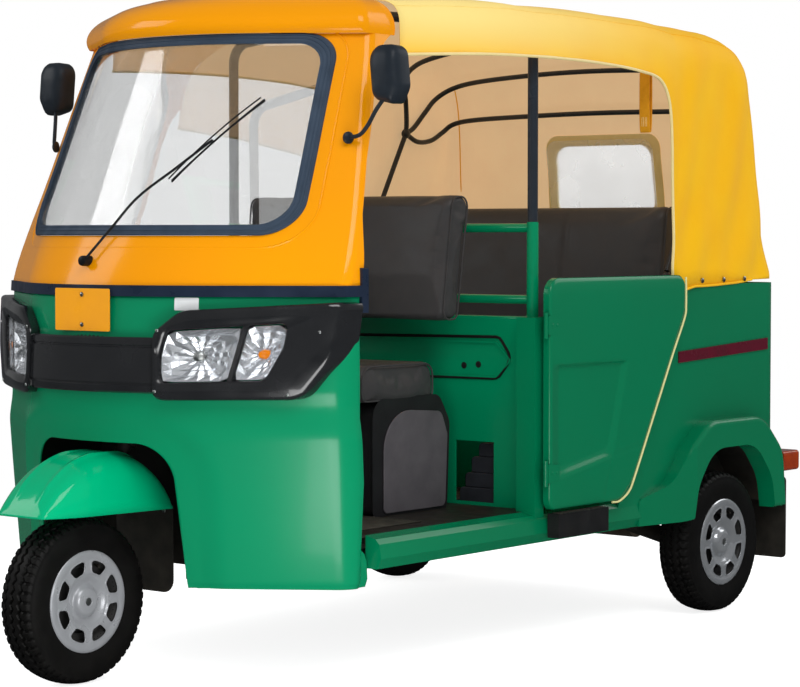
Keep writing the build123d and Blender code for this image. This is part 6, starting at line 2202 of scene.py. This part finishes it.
# ---- passenger door ----------------------------------------------------------------------------
@dataclass
class Door:
    """The half door's pressing, a pale tube along its edge as a painted highlight, hinges and inner latch.

    Attributes:
        outline: Corners as distance, height and radius, in millimetres.
        faces: Inner and outer x of the door.
        ridge: Corner points of the pressed-in field's lower and rear edges, as distance and height.
        field_top: Height of the crease over the field.
        press: How deep the field lies.
        roll: How far the top edge is rolled inwards, from what height, and over what run.
        hinges: Heights of the two hinges.
    """

    outline: tuple = (
        (1108, 372, 26), (1442, 372, 60), (1500, 420, 60), (1764, 880, 90), (1768, 984, 30), (1108, 984, 44),
    )
    faces: tuple[float, float] = (613.4, 638.9)
    ridge: tuple = ((1462, 712), (1400, 498), (1112, 452))
    field_top: float = 756.0
    press: float = 9.0
    roll: tuple[float, float, float] = (4.5, 946.0, 34.0)
    hinges: tuple[int, int] = (470, 860)

    def rolled(self, z: Array) -> Array:
        """How far the rolled top edge turns inwards at heights z: a square law up its run."""
        deep, start, run = self.roll
        return deep * np.clip((z - start) / run, 0, 1) ** 2

    def relief(self, d: Array, z: Array) -> Array:
        """How far the outer face lies below its plane.

        Args:
            d: Distances.
            z: Heights.

        Returns:
            Depth in millimetres.
        """
        top, corner, foot = (np.array(p, float) for p in self.ridge)

        def beyond(a: Array, b: Array) -> Array:
            """How far places lie right of the line from a to b, with d drawn rightwards and z upwards."""
            run = (b - a) / np.linalg.norm(b - a)
            return (d - a[0]) * run[1] - (z - a[1]) * run[0]

        rear, low = -beyond(corner, top), -beyond(foot, corner)
        within = (rear > 0) & (low > 0)
        both = np.minimum(np.abs(rear), np.abs(low)) * np.where(within, 1, -1)
        blend = np.hypot(rear, low) * rear * low / (rear**2 + low**2 + 1e-6) * 1.2
        both = np.where(within, blend, both)
        rise = np.clip((both + 8) / 34, 0, 1)
        depth = self.press * rise * rise * (3 - 2 * rise)
        ease = np.clip((self.field_top - z) / 9, 0, 1)
        left = np.clip((d - 1118) / 40, 0, 1)
        return depth * ease * (3 - 2 * ease) * ease * left + self.rolled(z)

    def panel(self) -> bpy.types.Object:
        """The pressing, as rings between its edge and its middle.

        Returns:
            The piece.
        """
        rows = np.asarray(self.outline, float)
        middle = np.array((1400.0, 700.0))
        edge = around(rounded_outline(rows[:, :2], rows[:, 2], 9), middle, 320)
        low, high = self.faces
        rim = ((3.0, low), (0.0, low + 3), (0.0, high - 7), (0.8, high - 3.4), (3.0, high - 1.0), (7.0, high))
        loops = []
        for draw, x in rim:
            flat = inside(edge, draw)
            loops.append(np.column_stack([np.full(len(flat), x), flat]))
        base = inside(edge, 7.0)
        for share in np.linspace(0.98, 0.02, 56):
            flat = middle + (base - middle) * share
            loops.append(np.column_stack([high - self.relief(flat[:, 0], flat[:, 1]), flat]))
        for loop in loops[3:6]:
            loop[:, 0] -= self.rolled(loop[:, 2])
        return lofted("passenger_door_pressing", loops)

    def build(self) -> list[bpy.types.Object]:
        """Makes the panel, the painted highlight along its edge, hinges and latch.

        Returns:
            The pieces.
        """
        x = self.faces[1] - 0.4
        line = [(x - 1.5, 1769, 978), (x, 1768, 900), (x, 1760, 862), (x, 1700, 762), (x, 1600, 588),
                (x, 1512, 436), (x, 1482, 394), (x, 1436, 371), (x, 1400, 370)]
        # A pale tube as a painted highlight along the door's rear and lower edges.
        edge_highlight = tube("door_edge_highlight", line, 3.0, 90, 10)
        pins, leaves = [], []
        for z in self.hinges:
            pin = [(632, 1098, z - 34), (632, 1098, z), (632, 1098, z + 34)]
            pins.append(tube(f"door_pin_{z}", pin, 6.0, 6, 14))
            leaf = rounded_outline([(1100, z - 26), (1150, z - 20), (1150, z + 20), (1100, z + 26)], 5, 4)
            leaves.append(slab(f"door_leaf_{z}", leaf, across_x(637.6), 2.0, 0.8))
            places = [(639.4, 1118, z), (639.4, 1138, z)]
            leaves.append(heads(f"door_screws_{z}", places, (1, 0, 0), 4.5, 1.6))
        latch = rounded_outline([(1690, 900), (1742, 900), (1742, 930), (1690, 930)], 6, 4)
        inner = slab("door_latch", latch, across_x(604.0), 9.0, 2.0)
        lever = tube("door_lever", [(600, 1716, 915), (592, 1706, 920), (588, 1670, 924)], 4.5, 14, 10)
        return [
            fit(self.panel(), GREEN_SHADED, "passenger_door", ["passenger_door"]),
            fit(edge_highlight, EDGE_HIGHLIGHT, "passenger_door"),
            fit(join("door_hinges", pins + leaves), GREEN_SHADED, "passenger_door"),
            fit(join("door_latch", [inner, lever]), BLACK_MOULDED, "passenger_door"),
        ]


# ---- mirrors -----------------------------------------------------------------------------------
@dataclass
class Mirrors:
    """Both door mirrors: a rounded shell on a bent stalk, with its glass.

    Attributes:
        shell: Corners as x, height and radius, in millimetres, of the left one.
        depths: Distance of the shell's front, widest place and glass.
        far_shift: How the right one is moved after mirroring, along x, distance and z.
    """

    shell: tuple = ((577, 1556, 34), (662, 1556, 30), (672, 1452, 34), (650, 1411, 12), (590, 1424, 26))
    depths: tuple[float, float, float] = (420.0, 446.0, 482.0)
    far_shift: tuple[float, float, float] = (46.0, 44.0, 10.0)

    def one(self, side: int) -> list[bpy.types.Object]:
        """A mirror.

        Args:
            side: 1 for left, -1 for right.

        Returns:
            Shell and stalk, then glass.
        """
        rows = np.asarray(self.shell, float)
        shift = np.array(self.far_shift if side < 0 else (0.0, 0.0, 0.0))
        middle = rows[:, :2].mean(0)
        edge = around(rounded_outline(rows[:, :2], rows[:, 2], 8), middle, 96)
        front, wide, back = self.depths
        shell_rings = ((0.35, front), (0.62, front + 1.5), (0.82, front + 6), (0.93, front + 13),
                       (0.985, wide - 6), (1.0, wide + 4), (0.985, back - 3), (0.97, back), (0.93, back),
                       (0.92, back - 4))
        glass_rings = ((0.915, back - 5), (0.915, back - 2.2), (0.89, back - 1.4), (0.3, back - 1.2))

        def loops(rings: Points) -> list[Array]:
            """The outline at each ring's share of its size and distance, on this side."""
            flats = [(middle + (edge - middle) * share, d) for share, d in rings]
            return [np.column_stack([flat[:, 0], np.full(len(flat), d), flat[:, 1]]) * (side, 1, 1) + shift
                    for flat, d in flats]

        shell = lofted(f"mirror_shell_{side}", loops(shell_rings))
        glass = lofted(f"mirror_glass_{side}", loops(glass_rings))
        stalk = np.array([(514, 433, 1334), (548, 436, 1340), (572, 438, 1362), (596, 442, 1400),
                          (622, 446, 1432)])
        stalk = stalk * (side, 1, 1) + np.linspace(0, 1, 5)[:, None] * shift
        base = stalk[0] + np.array((side * 1.0, 0, 0))
        foot = heads(f"mirror_foot_{side}", [base], (side, -0.3, 0), 15, 7, 20)
        return [shell, tube(f"mirror_stalk_{side}", stalk, 5.2, 40, 12), foot, glass]

    def build(self) -> list[bpy.types.Object]:
        """Makes both mirrors.

        Returns:
            The pieces.
        """
        near, far = self.one(1), self.one(-1)
        return [
            fit(join("mirror_shells", near[:3] + far[:3]), MIRROR_SHELL, replaces=["mirrors"]),
            fit(join("mirror_glasses", [near[3], far[3]]), MIRROR_GLASS),
        ]


# ---- cab ---------------------------------------------------------------------------------------
@dataclass
class Cab:
    """What the doorways show: seat box and its side covers, the partition's hatch and tray, the mats.

    Attributes:
        hatch: Corners of the hatch in the partition as x, height and radius.
        partition: Distance of the partition's front face.
        seat_half: Half the width of the driver's seat box.
        seat_ends: At each end of the box, how far in from it, and how much the outline is drawn in there.
        mat_half: Half the width of the driver's mat.
        mat_ribs: Height of the mats' valleys, height of the ribs over them, and points across.
    """

    hatch: tuple = ((-380, 708, 30), (444, 712, 30), (490, 768, 26), (450, 824, 22), (-380, 814, 22))
    partition: float = 1140.0
    seat_half: float = 344.0
    seat_ends: tuple = ((0.0, 12), (4.0, 5), (12.0, 1), (24.0, 0))
    mat_half: float = 502.0
    mat_ribs: tuple[float, float, int] = (366.4, 3.2, 561)

    def seat_base(self) -> bpy.types.Object:
        """The driver's seat base: its rounded side view carried across, drawn in at both ends.

        Returns:
            The piece.
        """
        corners = [(744, 367), (1034, 367), (1045, 596), (1004, 662), (744, 662)]
        outline = rounded_outline(corners, [16, 16, 34, 26, 40], 8)
        side = dense(outline, 120)
        middle = side.mean(0)
        half = self.seat_half
        places = [(-half + off, draw) for off, draw in self.seat_ends]
        places += [(half - off, draw) for off, draw in self.seat_ends[::-1]]
        rows = []
        for x, draw in places:
            flat = inside(side[::-1], draw) if draw else side[::-1]
            rows.append(np.column_stack([np.full(len(flat), x), flat]))
        rows = [np.column_stack([np.full(120, -half), middle + (rows[0][:, 1:] - middle) * 0.4])] + rows + [
            np.column_stack([np.full(120, half), middle + (rows[-1][:, 1:] - middle) * 0.4])]
        return turn_outwards(grid("driver_seat_box", np.array(rows), False, True, True))

    def hatch_lines(self) -> list[bpy.types.Object]:
        """The rubber round the hatch, and its two finger holes.

        Returns:
            The pieces.
        """
        rows = np.asarray(self.hatch, float)
        loop = dense(rounded_outline(rows[:, :2], rows[:, 2], 8), 150)
        y = self.partition - 1.2
        path = np.column_stack([loop[:, 0], np.full(150, y), loop[:, 1]])
        bead = grid("hatch_rubber", carried(path, ring(4.0, 8), True), True, True)
        holes = heads("hatch_holes", [(329, y + 0.6, 744), (378, y + 0.6, 748)], (0, -1, 0), 9, 1.4, 18)
        return [bead, holes]

    def tray_boxes(self) -> bpy.types.Object:
        """The stepped boxes behind the opening low in the partition.

        Returns:
            The piece.
        """
        steps = ((306, 426, 367, 412), (322, 426, 412.3, 452), (340, 426, 452.3, 496), (362, 426, 496.3, 534))
        parts = []
        for number, (x0, x1, z0, z1) in enumerate(steps):
            outline = rounded_outline([(x0, z0), (x1, z0), (x1, z1), (x0, z1)], [3, 3, 8, 12], 5)
            parts.append(slab(f"tray_box_{number}", outline, across_y(1150 + 4 * number), 60, 3.0))
        return join("tray_boxes", parts)

    def mat(self, name: str, near: float, far: float, share: float) -> bpy.types.Object:
        """A floor mat whose height steps up and down across it, four points up and four down.

        Args:
            name: The piece's name.
            near: Distance of its front edge.
            far: Distance of its rear edge.
            share: Its width as a share of the driver's mat.

        Returns:
            The piece.
        """
        valley, rib, count = self.mat_ribs
        across = np.linspace(-self.mat_half, self.mat_half, count) * share
        height = valley + rib * (np.arange(count) % 8 < 4)
        points = np.stack([np.broadcast_to(c, (2, count)) for c in (across, [[near], [far]], height)], 2)
        sheet = grid(name, points)
        modifier(sheet, "SOLIDIFY", thickness=0.0012, offset=-1.0)
        return sheet

    def build(self) -> list[bpy.types.Object]:
        """Makes the cab's pieces.

        Returns:
            The pieces.
        """
        cover = rounded_outline([(774, 372), (1034, 372), (1043, 566), (1016, 628), (774, 646)],
                                [14, 18, 30, 26, 104], 10)
        thick = 5.0
        covers = [slab(f"seat_side_{side}", cover,
                       across_x(self.seat_half if side > 0 else -self.seat_half - thick), thick, 2.4)
                  for side in (1, -1)]
        floor_mat = self.mat("driver_floor_mat", 334.0, 734.0, 1.0)
        rear_mat = self.mat("passenger_floor_mat", 1215.0, 1462.0, 0.88)
        hatch = self.hatch_lines()
        return [
            fit(self.seat_base(), SEAT_BOX, replaces=["driver_seat_base"]),
            fit(join("seat_side_covers", covers), VINYL_SIDE),
            fit(join("hatch_rubber", hatch), FLAP_RUBBER),
            fit(self.tray_boxes(), TRAY_GREY),
            fit(floor_mat, MAT),
            fit(rear_mat, MAT),
        ]


# ---- edges of the carried-over nodes -----------------------------------------------------------
@dataclass
class SoftEdges:
    """Rounds the pressed, moulded and cast edges of the nodes that are kept.

    Attributes:
        widths: Width of the rounding in millimetres, and the nodes that get it.
    """

    widths: tuple = (
        (4.0, ("left_side_panel", "right_side_panel", "side_steps", "rear_bumper", "dashboard")),
        (2.5, ("tail_lamps", "belt_trim", "engine_lid", "rear_panel", "partition_panel", "seat_bulkhead")),
        (1.2, ("side_trims", "mud_flaps", "front_plate", "door_jambs")),
        (6.0, ("engine_block",)),
    )

    def build(self) -> list[bpy.types.Object]:
        """Adds the rounding.

        Returns:
            No piece: only the nodes change their look.
        """
        for width, names in self.widths:
            for name in names:
                node = bpy.data.objects[name]
                modifier(node, "BEVEL", width=width / 1000, segments=3, limit_method="ANGLE", angle_limit=0.7,
                         use_clamp_overlap=True, harden_normals=False)
        return []


# ---- hood irons and grab strap -----------------------------------------------------------------
@dataclass
class HoodIrons:
    """The hood's bent irons on both sides with their feet and pivots, and the near grab strap.

    Attributes:
        pivot: Where the irons turn, as x, distance and height of the left side, in millimetres.
        bows: Points of each bow from the pivot to the middle of the roof.
        foot: Points of the bar from the body's edge up to the pivot.
        radius: Radius of the irons.
        strap: Where the strap hangs, as x and distance, and its width.
    """

    pivot: tuple[float, float, float] = (566.0, 2000.0, 1420.0)
    bows: tuple = (
        ((566, 2000, 1420), (564, 2001, 1455), (558, 1990, 1520), (540, 1960, 1580), (490, 1938, 1622),
         (400, 1930, 1650), (200, 1930, 1680), (0, 1930, 1690)),
        ((566, 2000, 1420), (566, 2040, 1440), (564, 2095, 1490), (552, 2138, 1536), (500, 2165, 1570),
         (400, 2176, 1588), (200, 2180, 1600), (0, 2180, 1604)),
        ((566, 2000, 1420), (566, 2060, 1396), (566, 2130, 1402), (560, 2184, 1430), (530, 2204, 1456),
         (440, 2211, 1468), (200, 2213, 1474), (0, 2213, 1476)),
    )
    foot: tuple = ((572, 1770, 995), (571, 1830, 1106), (569, 1912, 1258), (566, 2000, 1420))
    radius: float = 8.0
    strap: tuple[float, float, float] = (519.0, 1739.0, 34.0)

    def irons(self) -> bpy.types.Object:
        """All irons: each bow and its mirror image as one curve, the feet, and the pivots' discs.

        Returns:
            The piece.
        """
        parts = []
        for number, bow in enumerate(self.bows):
            half = np.asarray(bow, float)
            whole = np.vstack([half, mirrored(half)[-2::-1]])
            parts.append(tube(f"hood_bow_{number}", whole, self.radius, 150, 14))
        for side in (1, -1):
            flip = np.array((side, 1, 1))
            parts.append(tube(f"hood_foot_{side}", np.asarray(self.foot, float) * flip, self.radius, 40, 14))
            centre, off = np.array(self.pivot) * flip, np.array((side * 2.0, 0, 0))
            parts.append(heads(f"hood_pivot_{side}", [centre + off], (side, 0, 0), 15, 9, 20))
            parts.append(heads(f"hood_pin_{side}", [centre - off], (-side, 0, 0), 15, 9, 20))
            shoe = np.array(self.foot[0]) * flip
            parts.append(heads(f"hood_shoe_{side}", [shoe + np.array((0, 0, -30))], (0, 0, 1), 16, 26, 18))
        return join("hood_irons", parts)

    def strap_loop(self) -> list[bpy.types.Object]:
        """The near grab strap: a flat loop of webbing round an iron, with its stitched end.

        Returns:
            Webbing, then the stitching.
        """
        x, d, width = self.strap
        path = np.array([(x, d, 1590), (x, d - 5.4, 1560), (x, d - 6.8, 1480), (x, d - 5.2, 1410),
                         (x, d, 1388), (x, d + 5.2, 1410), (x, d + 6.8, 1480), (x, d + 5.4, 1560),
                         (x, d, 1591.5)], float)
        run = smooth_path(path, 120)
        side = np.linspace(-width / 2, width / 2, 13)
        ahead = np.gradient(run, axis=0)
        ahead /= np.linalg.norm(ahead, axis=1, keepdims=True)
        out = np.cross(ahead, (1, 0, 0))
        curl = 0.5 * (1 - (side / (width / 2)) ** 2)
        points = run[:, None] + side[None, :, None] * np.array((1, 0, 0)) + out[:, None] * curl[None, :, None]
        webbing = grid("grab_strap_webbing", points)
        modifier(webbing, "SOLIDIFY", thickness=0.0016, offset=0.0)
        rows = []
        for offset in (-8, -3, 3, 8):
            stitch = [(x + offset, d - 7.4, z) for z in (1405, 1418, 1431)]
            rows.append(tube(f"strap_stitch_{offset}", stitch, 0.7, 8, 6))
        return [webbing, join("strap_stitches", rows)]

    def build(self) -> list[bpy.types.Object]:
        """Makes irons and strap.

        Returns:
            The pieces.
        """
        webbing, stitches = self.strap_loop()
        fit(webbing, WEBBING, replaces=["grab_strap"])
        return [fit(self.irons(), FRAME_BLACK, replaces=["hood_bows"]), webbing, fit(stitches, PALE_PIPING)]


# ---- tail --------------------------------------------------------------------------------------
@dataclass
class Tail:
    """Rear fittings: lid handle and lock, louvre lips, the blank plate and its bolts, the steps' ribs.

    Attributes:
        face: Distance of the engine lid's outer face, in millimetres.
        louvre_half: Half the length of a louvre.
        louvre_middle: How far the middle of a row of louvres lies from the vehicle's middle.
        louvre_top: Height of the highest louvre.
        louvre_pitch: Drop from one louvre to the next.
        louvre_arch: How far a louvre's lip stands out.
        louvre_count: Louvres in each of the two rows.
        plate: Half width, lowest and highest z of the plate.
        step_inner: x of the inner end of a step's ribs.
        step_top: Height of the steps' top.
        rib: Distance of the first rib, from one rib to the next, a rib's width, and how many there are.
        rib_length: Length of a rib.
    """

    face: float = 2335.0
    louvre_half: float = 108.0
    louvre_middle: float = 190.0
    louvre_top: float = 695.0
    louvre_pitch: float = 34.0
    louvre_arch: float = 9.0
    louvre_count: int = 6
    plate: tuple[float, float, float] = (100.0, 740.0, 840.0)
    step_inner: float = 622.0
    step_top: float = 361.0
    rib: tuple[float, float, float, int] = (1142.0, 25.0, 11.0, 9)
    rib_length: float = 28.0

    def louvres(self) -> list[bpy.types.Object]:
        """The lips of the lid's louvres: each a straight edge carried rearwards and down into an arch.

        Returns:
            One piece for each lip.
        """
        x = np.linspace(-self.louvre_half, self.louvre_half, 30)
        arch = self.louvre_arch * np.clip(1 - (np.abs(x) / self.louvre_half) ** 6, 0, 1)
        lips = []
        for side in (1, -1):
            for step in range(self.louvre_count):
                z = self.louvre_top - self.louvre_pitch * step
                rows = [np.column_stack([x + side * self.louvre_middle, self.face + 1.2 + arch * out,
                                         np.full(30, z - 3 - 13 * down)])
                        for out, down in ((0.0, 0.0), (0.45, 0.12), (0.85, 0.45), (1.0, 1.0))]
                lip = grid(f"louvre_{side}_{step}", np.array(rows))
                modifier(lip, "SOLIDIFY", thickness=0.0012, offset=0.0)
                lips.append(lip)
        return lips

    def on_step(self, side: int) -> Placing:
        """A placing on a step's top: u is distance, depth grows outwards, v is twice the height."""
        return lambda u, v, depth: np.stack([side * (self.step_inner + depth), u, self.step_top + v * 0.5], 1)

    def ribs(self) -> list[bpy.types.Object]:
        """The low ribs on both steps.

        Returns:
            One piece for each rib.
        """
        first, pitch, width, count = self.rib
        ribs = []
        for side in (1, -1):
            for k in range(count):
                d = first + pitch * k
                outline = rounded_outline([(d, 0), (d + width, 0), (d + width, 5), (d, 5)], 2, 3)
                ribs.append(slab(f"step_rib_{side}_{k}", outline, self.on_step(side), self.rib_length, 0.5))
        return ribs

    def build(self) -> list[bpy.types.Object]:
        """Makes the rear's pieces.

        Returns:
            The pieces.
        """
        d = self.face
        grip = [(-60, d + 1, 480), (-58, d + 22, 484), (0, d + 26, 486), (58, d + 22, 484), (60, d + 1, 480)]
        handle = tube("lid_handle", grip, 6.0, 60, 12)
        lock = heads("lid_lock", [(0, d + 1, 455)], (0, 1, 0), 14, 7, 24)
        lips = self.louvres()
        half, low, high = self.plate
        corners = [(-half, low), (half, low), (half, high), (-half, high)]
        plate = slab("rear_plate", rounded_outline(corners, 8, 5), across_y(d + 1.0), 1.8, 0.5)
        bolts = heads("rear_plate_bolts", [(x, d + 3.0, 790) for x in (-82, 82)], (0, 1, 0), 5.5, 2.6)
        ribs = self.ribs()
        return [
            fit(join("lid_fittings", [handle, lock]), CHROME, "engine_lid"),
            fit(join("lid_louvres", lips), GREEN_SHADED, "engine_lid"),
            fit(plate, PLATE_YELLOW, "engine_lid"),
            fit(bolts, ZINC, "engine_lid"),
            fit(join("step_ribs", ribs), MAT),
        ]


ASSEMBLIES = (Canopy, NoseSkin, Lamps, FrontFittings, Wheels, Seats, Mudguard, Door,
              Mirrors, Cab, SoftEdges, HoodIrons, Tail)


# ---- assembly ----------------------------------------------------------------------------------
def dress_nodes(nodes: dict[str, bpy.types.Object]) -> None:
    """Puts each carried-over node in its finish.

    Args:
        nodes: Node names to objects.
    """
    for finish, names in NODE_FINISHES.items():
        finish.dress(*(nodes[name] for name in names))


def main() -> None:
    """Loads the frame, builds every sub-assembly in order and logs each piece."""
    logging.basicConfig(level=logging.INFO, format="%(name)s: %(message)s")
    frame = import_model()
    Studio().build()
    dress_nodes(frame["nodes"])
    for assembly in ASSEMBLIES:
        for piece in assembly().build():
            LOG.info("%s: %d faces", piece.name, len(piece.data.polygons))


if __name__ == "__main__":
    main()
